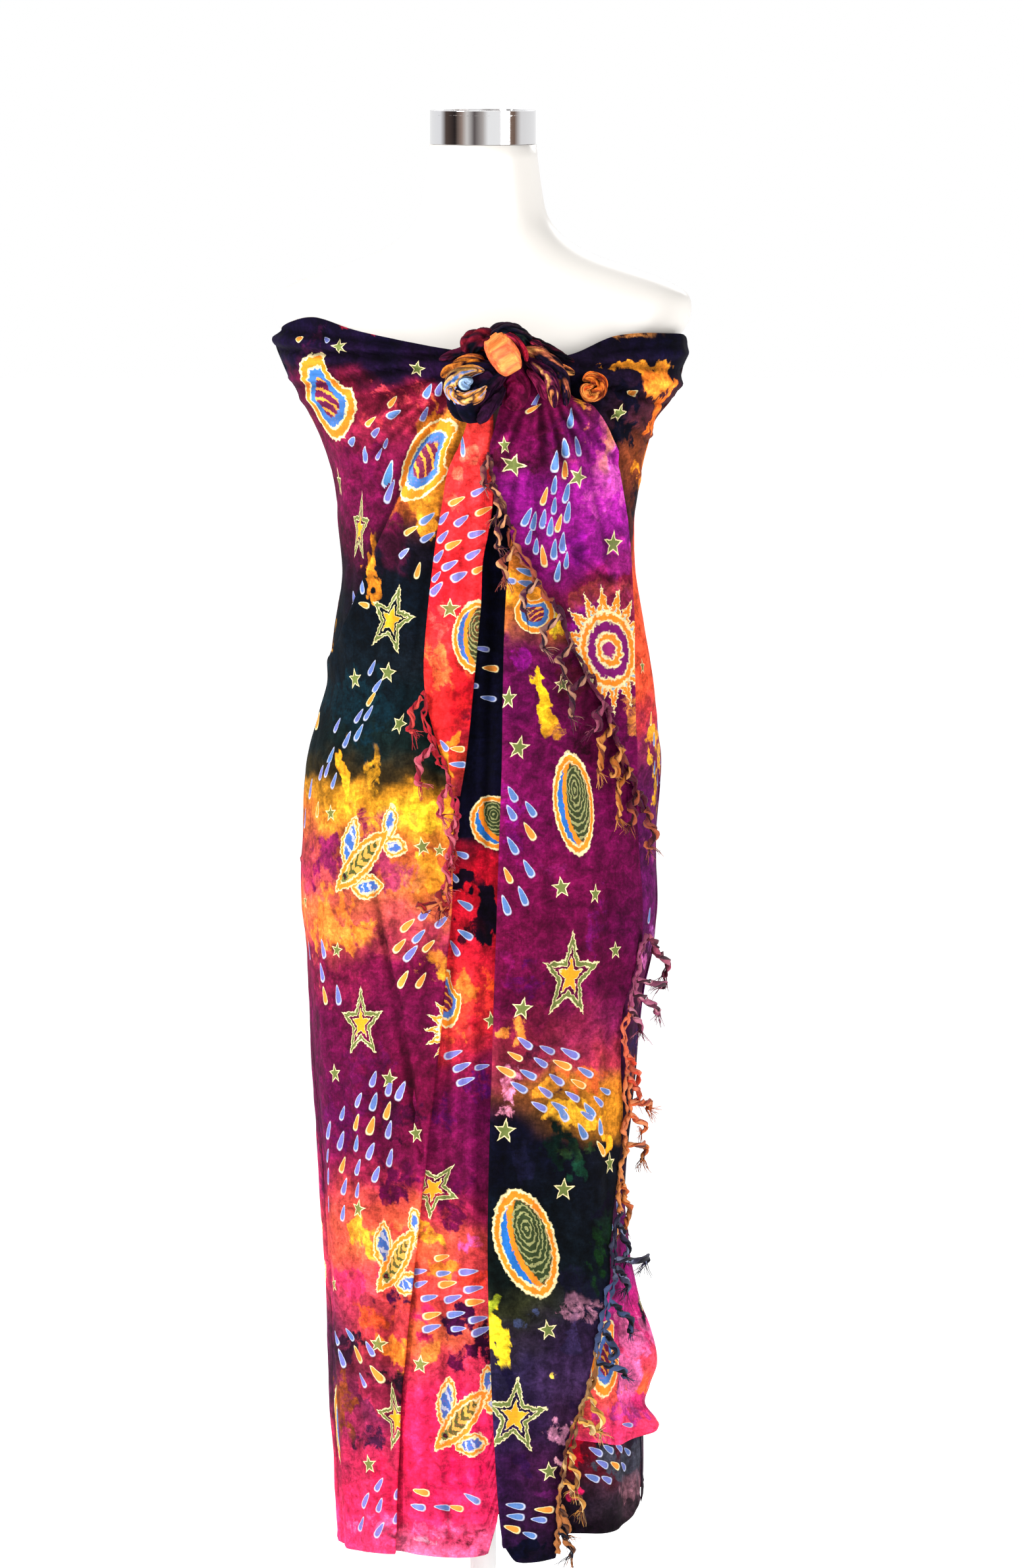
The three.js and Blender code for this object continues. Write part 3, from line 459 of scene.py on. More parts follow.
def tie_dye(u, x, z, bands, patches, across, seed, beside=None):
    """The ground's dyes at places on the cloth, the dyes of the patches over it, and how far those cover it.

    Beside a pleat, given as its line and its own bands, the ground has other dyes on the right.
    """
    drift = cloud(u, z, 60, 3, seed) * 15 + cloud(u, z, 16, 3, seed + 3) * 9
    slip = cloud(u, z, 50, 3, seed + 5) * 9 + cloud(u, z, 15, 3, seed + 7) * 7
    ground = bands_at(bands, z + drift, smooth(across + cloud(u, z, 50, 2, seed + 9) * 0.25))
    if beside is not None:
        line, beside_bands = beside
        share = (smooth((x - line(z)) / 4 + 0.5) * smooth((z - 1000) / 70))[..., None]
        ground = ground * (1 - share) + bands_at(beside_bands, z + drift * 0.5, 0 * x) * share
    torn = cloud(u, z * 0.7, 22, 4, seed + 11) + 0.8 * cloud(u * 1.2 + z * 0.3, z * 0.7, 8, 3, seed + 12)
    total, weight, bare = 0, 0, 1
    for px, pz, rx, rz, code, strength in patches:
        away = np.hypot((x + slip - px) / rx, (z + drift * 0.5 - pz) / rz)
        share = (strength * smooth((1.15 - away * 0.9 + torn * 0.5) / 0.6))[..., None]
        total, weight, bare = total + share**2 * dye(code), weight + share**2, bare * (1 - share)
    over = (total + 1e-5 * ground) / (weight + 1e-5)
    shade = 1 + 0.24 * cloud(u, z, 9, 3, seed + 13) + 0.28 * cloud(u, z, 34, 3, seed + 15)
    ground, over = (np.clip(dyes * shade[..., None], 0.0012, 0.95) for dyes in (ground, over))
    return ground, over, 1 - (bare[..., 0] if len(patches) else 1 + 0 * x)


def relief(off):
    """How far each place of a grid stands above what lies round it, in millimetres."""
    around = off
    for axis, reach in ((0, 4), (1, 5)):
        pad = [(reach, reach) if axis == other else (0, 0) for other in (0, 1)]
        wide = np.cumsum(np.pad(around, pad, mode="edge"), axis=axis)
        wide = np.concatenate([0 * np.take(wide, [0], axis), wide], axis=axis)
        count, size = 2 * reach + 1, around.shape[axis]
        around = (np.take(
            wide, np.arange(count, count + size), axis
        ) - np.take(wide, np.arange(size), axis)) / count
    return off - around


def stretch(left_edge, right_edge, top, hem, layer, lift, rows, columns):
    """Angles, heights, stand-off and share across of a stretch of cloth between two edges, a top and a hem."""
    down = np.linspace(0, 1, rows + 1)[:, None] + np.zeros((1, columns + 1))
    across = np.linspace(0, 1, columns + 1)[None, :] + np.zeros((rows + 1, 1))
    z = 1300 + (220 - 1300) * down
    for _ in range(5):
        angle = left_edge(z) * (1 - across) + right_edge(z) * across
        x = body_point(angle, z, 0)[..., 0]
        z = top(angle, x) * (1 - down) + hem(angle, x) * down
    x = body_point(angle, z, 0)[..., 0]
    off = layer + fold_rise(angle, z) + lift(x, z, across, angle)
    return {"angle": angle, "z": z, "off": off, "across": across, "down": down}


def rolled_edge(grid, side, radius, tuck):
    """The stretch with more columns that turn its left (-1) or right (1) edge under and tuck it in."""
    turns = np.linspace(0, np.pi, 9)[1:]
    tucks = np.linspace(0, tuck, 5)[1:]
    edge = -1 if side > 0 else 0
    angle, z, off = (grid[key][:, edge:][:, :1] for key in ("angle", "z", "off"))
    per_degree = np.abs(girth(angle + 0.5, z) - girth(angle - 0.5, z))
    sideways = np.concatenate([radius * np.sin(turns), -tucks])
    inward = np.concatenate([radius * (1 - np.cos(turns)), np.full(len(tucks), 2 * radius)])
    more = {
        "angle": angle + side * sideways[None, :] / per_degree,
        "z": z + np.zeros((1, len(sideways))),
        "off": off - inward[None, :],
        "across": grid["across"][:, edge:][:, :1] + np.zeros((1, len(sideways))),
        "down": grid["down"][:, edge:][:, :1] + np.zeros((1, len(sideways))),
    }
    if side > 0:
        return {key: np.concatenate([grid[key], more[key]], axis=1) for key in grid}
    return {key: np.concatenate([more[key][:, ::-1], grid[key]], axis=1) for key in grid}


def shell(outer, thickness):
    """Points and faces of a closed thin wall: a grid of points, rows down and columns to the right, and its back.

    The back has every second row and column, and five-sided faces close the rims.
    """
    normal = np.cross(np.gradient(outer, axis=0), np.gradient(outer, axis=1))
    normal /= np.maximum(np.linalg.norm(normal, axis=2, keepdims=True), 1e-9)
    inner = (outer - normal * thickness)[::2, ::2]
    at = np.arange(outer.shape[0] * outer.shape[1]).reshape(outer.shape[:2])
    under = at.size + np.arange(inner.shape[0] * inner.shape[1]).reshape(inner.shape[:2])
    front = np.stack([at[:-1, :-1], at[1:, :-1], at[1:, 1:], at[:-1, 1:]], axis=-1).reshape(-1, 4)
    back = np.stack([under[:-1, 1:], under[1:, 1:], under[1:, :-1], under[:-1, :-1]], axis=-1).reshape(-1, 4)
    rims = []
    for fine, coarse, turned_round in (
        (at[:, 0], under[:, 0], False), (at[:, -1], under[:, -1], True), (at[0], under[0], True),
        (at[-1], under[-1], False),
    ):
        faces = np.stack([fine[:-2:2], coarse[:-1], coarse[1:], fine[2::2], fine[1:-1:2]], axis=-1)
        rims += (faces[:, ::-1] if turned_round else faces).tolist()
    points = np.concatenate([outer.reshape(-1, 3), inner.reshape(-1, 3)])
    return points, front.tolist() + back.tolist() + rims


def mesh_piece(name, points, faces):
    """A new smooth-shaded object from points in millimetres."""
    mesh = bpy.data.meshes.new(name)
    mesh.from_pydata((points * MM).tolist(), [], faces)
    mesh.shade_smooth()
    piece = bpy.data.objects.new(name, mesh)
    bpy.context.collection.objects.link(piece)
    return piece


# what each printed motif is called in the print's own channel
MOTIFS = {"drop": 1, "small_star": 2, "star": 3, "shell": 4, "fish": 5, "sun": 6, "paisley": 7}


def print_on(piece, u, z, dyes, motifs, shade=1.0):
    """Lay the cloth's own map, its dyes, the shade and highlight painted on its folds and its printed motifs on a
    piece.

    The dyes are those of the ground, those over it and how far these cover it.

    Each motif is (name, distance from the middle or along the cloth, height, half-width, half-height, turn, tint),
    and each face takes the nearest motif's own map, so that one drawing of a motif serves all its prints.
    """
    mesh = piece.data
    corner_point = np.empty(len(mesh.loops), int)
    mesh.loops.foreach_get("vertex_index", corner_point)
    corners = np.empty(len(mesh.polygons), int)
    mesh.polygons.foreach_get("loop_total", corners)
    face_of = np.repeat(np.arange(len(corners)), corners)
    cloth_map = mesh.uv_layers.new(name="cloth")
    flat = np.stack([u, z], axis=1) * MM
    cloth_map.data.foreach_set("uv", flat[corner_point].ravel())
    for name, colours in (("dye", dyes[0]), ("dye_over", dyes[1])):
        paint = mesh.color_attributes.new(name, "FLOAT_COLOR", "POINT")
        paint.data.foreach_set("color", np.concatenate([colours, np.ones((len(colours), 1))], axis=1).ravel())
    # 'fold' holds the shade painted into the furrows and the highlight painted onto the ridges
    for name, value in (("cover", dyes[2]), ("fold", shade)):
        channel = mesh.attributes.new(name, "FLOAT", "POINT")
        channel.data.foreach_set("value", value + np.zeros(len(u)))
    centre_u = np.bincount(face_of, u[corner_point]) / corners
    centre_z = np.bincount(face_of, z[corner_point]) / corners
    nearest = np.full(len(corners), 1.25)
    chosen = np.full(len(corners), -1)
    for index, (_, mu, mz, wide, tall, turn, _) in enumerate(motifs):
        c, s = np.cos(np.radians(turn)), np.sin(np.radians(turn))
        du, dz = centre_u - mu, centre_z - mz
        away = np.hypot((du * c + dz * s) / wide, (dz * c - du * s) / tall)
        better = away < nearest
        nearest[better] = away[better]
        chosen[better] = index
    table = np.array([(MOTIFS[m[0]], *m[1:]) for m in motifs] or [(0, 0, 0, 1, 1, 0, 0)], float)
    row = table[np.maximum(chosen, 0)]
    row[chosen < 0] = (0, 0, 0, 1, 1, 0, 0)
    for name, column in (("kind", 0), ("tint", 6)):
        channel = mesh.attributes.new(name, "FLOAT", "FACE")
        channel.data.foreach_set("value", np.ascontiguousarray(row[:, column]))
    here = row[face_of]
    c, s = np.cos(np.radians(here[:, 5])), np.sin(np.radians(here[:, 5]))
    du, dz = u[corner_point] - here[:, 1], z[corner_point] - here[:, 2]
    local = np.stack([(du * c + dz * s) / here[:, 3], (dz * c - du * s) / here[:, 4]], axis=1)
    motif_map = mesh.uv_layers.new(name="motif")
    motif_map.data.foreach_set("uv", local.ravel())


def drops(x, z, wide, tall, lean, seed, turn=None, warm=0.25):
    """A shower of printed drops inside a leaning oval: staggered rows, each drop along the shower."""
    draw = np.random.RandomState(seed)
    rows = []
    c, s = np.cos(np.radians(lean)), np.sin(np.radians(lean))
    for j in range(-int(tall / 21) - 1, int(tall / 21) + 2):
        for i in range(-int(wide / 14) - 1, int(wide / 14) + 2):
            a, b = i * 14 + (j % 2) * 7 + draw.uniform(-2, 2), j * 21 + draw.uniform(-3, 3)
            tint, grow = draw.uniform(0, 1), draw.uniform(0.85, 1.15)
            if np.hypot(a / wide, b / tall) < 1:
                leaning = (lean if turn is None else turn) + draw.uniform(-9, 9)
                warmth = 1.0 if tint < warm else tint * 0.6
                rows.append((
                    "drop", x + a * c - b * s, z + a * s + b * c, 5.2 * grow, 9.4 * grow, leaning, warmth
                ))
    return rows


def along_cloth(motifs):
    """The same motifs with their distance from the middle turned into distance along the cloth."""
    return [(
        m[0], float(girth(angle_of(np.array(m[1]), np.array(m[2])), np.array(m[2]))), *m[2:]
    ) for m in motifs]


# ---------------------------------------------------------------------------------------------- printed motifs
# The print is drawn in wax lines: drops, stars, shells, plain fish, leaves and a plain rayed sun. Each drawing is
# built once here, over a motif's own map from -1 to 1, and gives its colour and where it covers the cloth.
def math(tree, operation, first, second=0.0, third=0.0, clamp=False):
    node = tree.nodes.new("ShaderNodeMath")
    node.operation = operation
    node.use_clamp = clamp
    for socket, value in zip(node.inputs, (first, second, third)):
        if hasattr(value, "links"):
            tree.links.new(value, socket)
        else:
            socket.default_value = value
    return node.outputs["Value"]


def node_group(name, inputs, outputs):
    """A new shader group with its sockets, and its inner input and output nodes."""
    group = bpy.data.node_groups.new(name, "ShaderNodeTree")
    for socket_name, kind in inputs:
        group.interface.new_socket(name=socket_name, in_out="INPUT", socket_type=kind)
    for socket_name, kind in outputs:
        group.interface.new_socket(name=socket_name, in_out="OUTPUT", socket_type=kind)
    return group, group.nodes.new("NodeGroupInput").outputs, group.nodes.new("NodeGroupOutput").inputs


def mixed(tree, share, first, second, blend="MIX"):
    """One colour laid over another by a share."""
    node = tree.nodes.new("ShaderNodeMix")
    node.data_type = "RGBA"
    node.blend_type = blend
    for index, value in ((0, share), (6, first), (7, second)):
        if hasattr(value, "links"):
            tree.links.new(value, node.inputs[index])
        else:
            node.inputs[index].default_value = value
    return node.outputs[2]


def colour(code):
    return tuple(float(part) for part in dye(code))


def ellipse(tree, a, b, x, y, wide, tall, lean=0.0):
    """Distance from an ellipse's centre, 1 on its line."""
    c, s = float(np.cos(lean)), float(np.sin(lean))
    da, db = math(tree, "SUBTRACT", a, x), math(tree, "SUBTRACT", b, y)
    along = math(tree, "MULTIPLY_ADD", da, c / wide, math(tree, "MULTIPLY", db, s / wide))
    up = math(tree, "MULTIPLY_ADD", db, c / tall, math(tree, "MULTIPLY", da, -s / tall))
    return math(
        tree, "SQRT", math(tree, "ADD", math(tree, "MULTIPLY", along, along), math(tree, "MULTIPLY", up, up))
    )


def pointed(tree, a, b, x, y, long, wide, lean):
    """Distance outwards from the middle line of a pointed oval, 1 on its edge, with its long way turned from up."""
    s, c = float(np.sin(np.radians(lean))), float(np.cos(np.radians(lean)))
    bend = (long**2 + wide**2) / (2 * wide)
    da, db = math(tree, "SUBTRACT", a, x), math(tree, "SUBTRACT", b, y)
    along = math(tree, "MULTIPLY_ADD", da, s, math(tree, "MULTIPLY", db, c))
    across = math(tree, "ABSOLUTE", math(tree, "MULTIPLY_ADD", da, c, math(tree, "MULTIPLY", db, -s)))
    away = math(tree, "ADD", across, bend - wide)
    reach = math(
        tree, "SQRT",
        math(tree, "ADD", math(tree, "MULTIPLY", along, along), math(tree, "MULTIPLY", away, away))
    )
    return math(tree, "SUBTRACT", reach, bend - 1)


def least(tree, *values):
    low = values[0]
    for value in values[1:]:
        low = math(tree, "MINIMUM", low, value)
    return low


def star_distance(tree, a, b, points, inner):
    """Distance outwards from a star's centre, 1 on its line, with one point straight up."""
    round_turn = 2 * np.pi / points
    angle = math(tree, "ARCTAN2", a, b)
    folded = math(tree, "ABSOLUTE", math(tree, "WRAP", angle, round_turn / 2, -round_turn / 2))
    radius = math(tree, "SQRT", math(tree, "ADD", math(tree, "MULTIPLY", a, a), math(tree, "MULTIPLY", b, b)))
    # a straight line from the outer point to the inner corner
    ix, iy = inner * np.sin(round_turn / 2), inner * np.cos(round_turn / 2)
    nx, ny = 1 - iy, ix
    reach = nx * 0 + ny * 1
    across = math(tree, "MULTIPLY", radius, math(tree, "SINE", folded))
    up = math(tree, "MULTIPLY", radius, math(tree, "COSINE", folded))
    return math(
        tree, "ADD", math(tree, "MULTIPLY", across, float(nx / reach)),
        math(tree, "MULTIPLY", up, float(ny / reach))
    )


def drawn(tree, distance, bands):
    """Colour and cover of bands outwards from a motif's centre: (where the band ends, colour code or None)."""
    stops, start, shown = [], 0.0, bands[0][1]
    for end, code in bands:
        shown = code or shown
        stops += [
            (start, colour(shown), float(code is not None)),
            (end - 0.02, colour(shown), float(code is not None))
        ]
        start = end
    stops.append((start, colour(shown), 0.0))
    node = ramp(tree, distance, stops)
    return node.outputs["Color"], node.outputs["Alpha"]


CREAM, OLIVE, GOLD, ORANGE = "f3e3b4", "7f8a52", "f2b035", "f59a35"
BLUE, PALE, PERIWINKLE, SHELL_BLUE = "5c92c0", "c6cadf", "8486c8", "3a80c6"


def batik_print():
    """All the drawings: kind and tint choose one, and it gives its colour and its cover."""
    group, given, put = node_group(
        "batik_print",
        [("Map", "NodeSocketVector"), ("Kind", "NodeSocketFloat"), ("Tint", "NodeSocketFloat")],
        [("Colour", "NodeSocketColor"), ("Cover", "NodeSocketFloat")],
    )
    tree = group
    split = tree.nodes.new("ShaderNodeSeparateXYZ")
    tree.links.new(given["Map"], split.inputs[0])
    a, b = split.outputs[0], split.outputs[1]
    # a drop: round below and drawn out to a point above
    narrow = math(tree, "MULTIPLY", a, math(tree, "MULTIPLY_ADD", b, 0.95, 1.7))
    drop = math(
        tree, "SQRT", math(tree, "ADD", math(tree, "MULTIPLY", narrow, narrow), math(tree, "MULTIPLY", b, b))
    )
    heart = ramp(
        tree, given["Tint"],
        [
            (0.0, colour(BLUE)), (0.35, colour(PERIWINKLE)), (0.62, colour(PERIWINKLE)),
            (0.68, colour("f0a04c"))
        ]
    )
    rim = ramp(tree, given["Tint"], [(0.0, colour(PALE)), (0.62, colour(PALE)), (0.68, colour(CREAM))])
    rim_share = ramp(tree, drop, [(0.7, 0.0), (0.78, 1.0)])
    drop_colour = mixed(tree, rim_share.outputs["Color"], heart.outputs["Color"], rim.outputs["Color"])
    drop_cover = ramp(tree, drop, [(0.86, 1.0), (0.96, 0.0)]).outputs["Color"]
    # stars: olive with a cream line, and the large ones with an open band and a gold heart
    star = star_distance(tree, a, b, 5, 0.42)
    small_colour, small_cover = drawn(tree, star, [(0.72, OLIVE), (0.95, CREAM)])
    open_colour, open_cover = drawn(
        tree, star, [(0.38, GOLD), (0.42, CREAM), (0.6, None), (0.66, CREAM), (0.86, OLIVE), (0.94, CREAM)]
    )
    # a shell: a slightly pointed oval with an orange rim, a blue crescent on the left and olive arcs on the right
    shell_out = pointed(tree, a, b, 0, 0, 0.99, 0.86, 0)
    shell_split = ellipse(tree, a, b, 0.62, 0.06, 1.05, 1.1)
    ring_colour, ring_cover = drawn(
        tree, shell_out, [(0.78, SHELL_BLUE), (0.82, CREAM), (0.93, ORANGE), (0.99, CREAM)]
    )
    arcs = math(tree, "SINE", math(tree, "MULTIPLY", ellipse(tree, a, b, 0.1, 0.25, 0.6, 0.75), 38.0))
    arc_colour = mixed(
        tree, ramp(tree, arcs, [(0.3, 0.0), (0.6, 1.0)]).outputs["Color"], (*colour("4a5638"), 1),
        (*colour("a8a877"), 1)
    )
    split_band = ramp(tree, shell_split, [(0.84, 1.0), (0.87, 0.0)])
    rim_band = ramp(tree, shell_split, [(0.98, 1.0), (1.0, 0.0)])
    inside = ramp(tree, shell_out, [(0.76, 1.0), (0.8, 0.0)])
    seam_share = math(tree, "MULTIPLY", rim_band.outputs["Color"], inside.outputs["Color"])
    arc_share = math(tree, "MULTIPLY", split_band.outputs["Color"], inside.outputs["Color"])
    shell_colour = mixed(tree, seam_share, ring_colour, (*colour(ORANGE), 1))
    shell_colour = mixed(tree, arc_share, shell_colour, arc_colour)
    # a plain fish that swims down to the left: a pointed oval body with ribs, a forked tail and two fins
    fins = least(
        tree, pointed(tree, a, b, 0.3, 0.7, 0.36, 0.21, -28), pointed(tree, a, b, 0.66, 0.36, 0.36, 0.21, 84),
        pointed(tree, a, b, -0.56, 0.08, 0.5, 0.27, -14), pointed(tree, a, b, 0.36, -0.5, 0.46, 0.24, 72),
    )
    body = pointed(tree, a, b, -0.08, -0.14, 0.86, 0.34, 32)
    fin_colour, fin_cover = drawn(tree, fins, [(0.88, "4f80c4"), (0.92, CREAM), (0.97, ORANGE), (1.0, CREAM)])
    fan = math(
        tree, "SINE", math(tree, "MULTIPLY", math(tree, "ARCTAN2", a, math(tree, "ADD", b, 0.2)), 18.0)
    )
    rays_of_fin = math(
        tree, "MULTIPLY", ramp(tree, fins, [(0.84, 1.0), (0.87, 0.0)]).outputs["Color"],
        ramp(tree, fan, [(0.5, 0.0), (0.7, 1.0)]).outputs["Color"]
    )
    fin_colour = mixed(tree, rays_of_fin, fin_colour, (*colour("c6cadf"), 1))
    body_colour, body_cover = drawn(
        tree, body, [(0.84, "e0b05c"), (0.88, CREAM), (0.97, ORANGE), (1.0, CREAM)]
    )
    s, c = float(np.sin(np.radians(32))), float(np.cos(np.radians(32)))
    along = math(tree, "MULTIPLY_ADD", a, s, math(tree, "MULTIPLY_ADD", b, c, 0.16))
    across = math(tree, "ABSOLUTE", math(tree, "MULTIPLY_ADD", a, c, math(tree, "MULTIPLY", b, -s)))
    ribs = math(tree, "SINE", math(tree, "MULTIPLY", math(tree, "MULTIPLY_ADD", across, -0.9, along), 34.0))
    rib_share = math(
        tree, "MULTIPLY", ramp(tree, ribs, [(0.0, 0.0), (0.3, 1.0)]).outputs["Color"],
        ramp(tree, body, [(0.81, 1.0), (0.84, 0.0)]).outputs["Color"]
    )
    rib_share = math(
        tree, "MULTIPLY", rib_share,
        ramp(tree, math(tree, "ADD", along, 1.0), [(0.56, 0.0), (0.6, 1.0)]).outputs["Color"]
    )
    body_colour = mixed(tree, rib_share, body_colour, (*colour("5f6a3c"), 1))
    eye_colour, eye_cover = drawn(
        tree, ellipse(tree, a, b, -0.36, -0.52, 0.1, 0.1), [(0.55, "3a2a30"), (0.98, OLIVE)]
    )
    body_colour = mixed(tree, eye_cover, body_colour, eye_colour)
    fish_colour = mixed(tree, body_cover, fin_colour, body_colour)
    fish_cover = math(tree, "MAXIMUM", fin_cover, body_cover)
    # a plain rayed sun: a ring with a clear middle and flame rays
    sun_radius = math(
        tree, "SQRT", math(tree, "ADD", math(tree, "MULTIPLY", a, a), math(tree, "MULTIPLY", b, b))
    )
    rays = star_distance(tree, a, b, 16, 0.62)
    disc_colour, _ = drawn(
        tree, sun_radius,
        [
            (0.13, "a33a7c"), (0.17, CREAM), (0.24, ORANGE), (0.28, CREAM), (0.42, "8c2a78"), (0.46, CREAM),
            (0.54, ORANGE), (0.58, CREAM)
        ]
    )
    ray_colour, ray_cover = drawn(tree, rays, [(0.66, "9fb4cc"), (0.72, CREAM), (0.9, ORANGE), (0.97, CREAM)])
    sun_colour = mixed(
        tree, ramp(tree, sun_radius, [(0.57, 1.0), (0.59, 0.0)]).outputs["Color"], ray_colour, disc_colour
    )
    # a curled leaf: a tilted oval with a bitten side, striped in blue
    leaf_out = ellipse(tree, a, b, -0.02, -0.06, 0.86, 0.94, -0.25)
    bite = ellipse(tree, a, b, 0.78, 0.52, 0.5, 0.6, 0.2)
    crook = math(tree, "MAXIMUM", leaf_out, math(tree, "SUBTRACT", 1.75, math(tree, "MULTIPLY", bite, 0.9)))
    leaf_colour, leaf_cover = drawn(
        tree, crook, [(0.66, "4f86c4"), (0.72, CREAM), (0.92, ORANGE), (0.99, CREAM)]
    )
    stripes = math(tree, "SINE", math(tree, "MULTIPLY", ellipse(tree, a, b, -0.5, -0.9, 1.0, 1.0), 30.0))
    stripe_colour = mixed(
        tree, ramp(tree, stripes, [(0.45, 0.0), (0.6, 1.0)]).outputs["Color"], (*colour("7a2a58"), 1),
        (*colour("f0a850"), 1)
    )
    leaf_heart = ramp(tree, crook, [(0.42, 1.0), (0.46, 0.0)])
    leaf_colour = mixed(tree, leaf_heart.outputs["Color"], leaf_colour, stripe_colour)

    chosen_colour, chosen_cover = drop_colour, drop_cover
    for number, kind_colour, kind_cover in (
        (2, small_colour, small_cover), (3, open_colour, open_cover), (4, shell_colour, ring_cover),
        (5, fish_colour, fish_cover), (6, sun_colour, ray_cover), (7, leaf_colour, leaf_cover),
    ):
        this = math(tree, "COMPARE", given["Kind"], float(number), 0.4)
        chosen_colour = mixed(tree, this, chosen_colour, kind_colour)
        chosen_cover = mixed(tree, this, chosen_cover, kind_cover)
    printed = math(tree, "GREATER_THAN", given["Kind"], 0.5)
    tree.links.new(chosen_colour, put["Colour"])
    tree.links.new(math(tree, "MULTIPLY", chosen_cover, printed), put["Cover"])
    return group


def plain_weave():
    """The yarns of the cloth: thicker places along warp and weft, and the relief of their crossings."""
    group, given, put = node_group(
        "plain_weave", [("Map", "NodeSocketVector")],
        [("Slub", "NodeSocketFloat"), ("Relief", "NodeSocketFloat"), ("Crumple", "NodeSocketFloat")],
    )
    tree = group

    def stretched(along, up):
        node = tree.nodes.new("ShaderNodeMapping")
        node.inputs["Scale"].default_value = (along, up, 1)
        tree.links.new(given["Map"], node.inputs["Vector"])
        return node.outputs["Vector"]

    weft = noise(tree, stretched(60, 1500), 1.0, 2)
    warp = noise(tree, stretched(1500, 60), 1.0, 2)
    slub = math(tree, "MULTIPLY_ADD", math(tree, "ADD", weft, warp), 0.5, 0.0)
    tree.links.new(slub, put["Slub"])
    threads = []
    for direction in ("X", "Y"):
        wave = tree.nodes.new("ShaderNodeTexWave")
        wave.wave_type = "BANDS"
        wave.bands_direction = direction
        wave.inputs["Scale"].default_value = 1.0
        wave.inputs["Distortion"].default_value = 0.6
        wave.inputs["Detail"].default_value = 1.0
        tree.links.new(stretched(430, 430), wave.inputs["Vector"])
        threads.append(wave.outputs["Fac"])
    crossings = math(tree, "MULTIPLY", threads[0], threads[1])
    tree.links.new(math(tree, "ADD", crossings, math(tree, "MULTIPLY", slub, 0.8)), put["Relief"])
    large = noise(tree, stretched(26, 17), 1.0, 4, 0.55, 0.8)
    tree.links.new(large, put["Crumple"])
    return group


BATIK = batik_print()
WEAVE = plain_weave()


def attribute(tree, name, output):
    node = tree.nodes.new("ShaderNodeAttribute")
    node.attribute_name = name
    return node.outputs[output]


def cloth_map(tree, name):
    node = tree.nodes.new("ShaderNodeUVMap")
    node.uv_map = name
    return node.outputs["UV"]


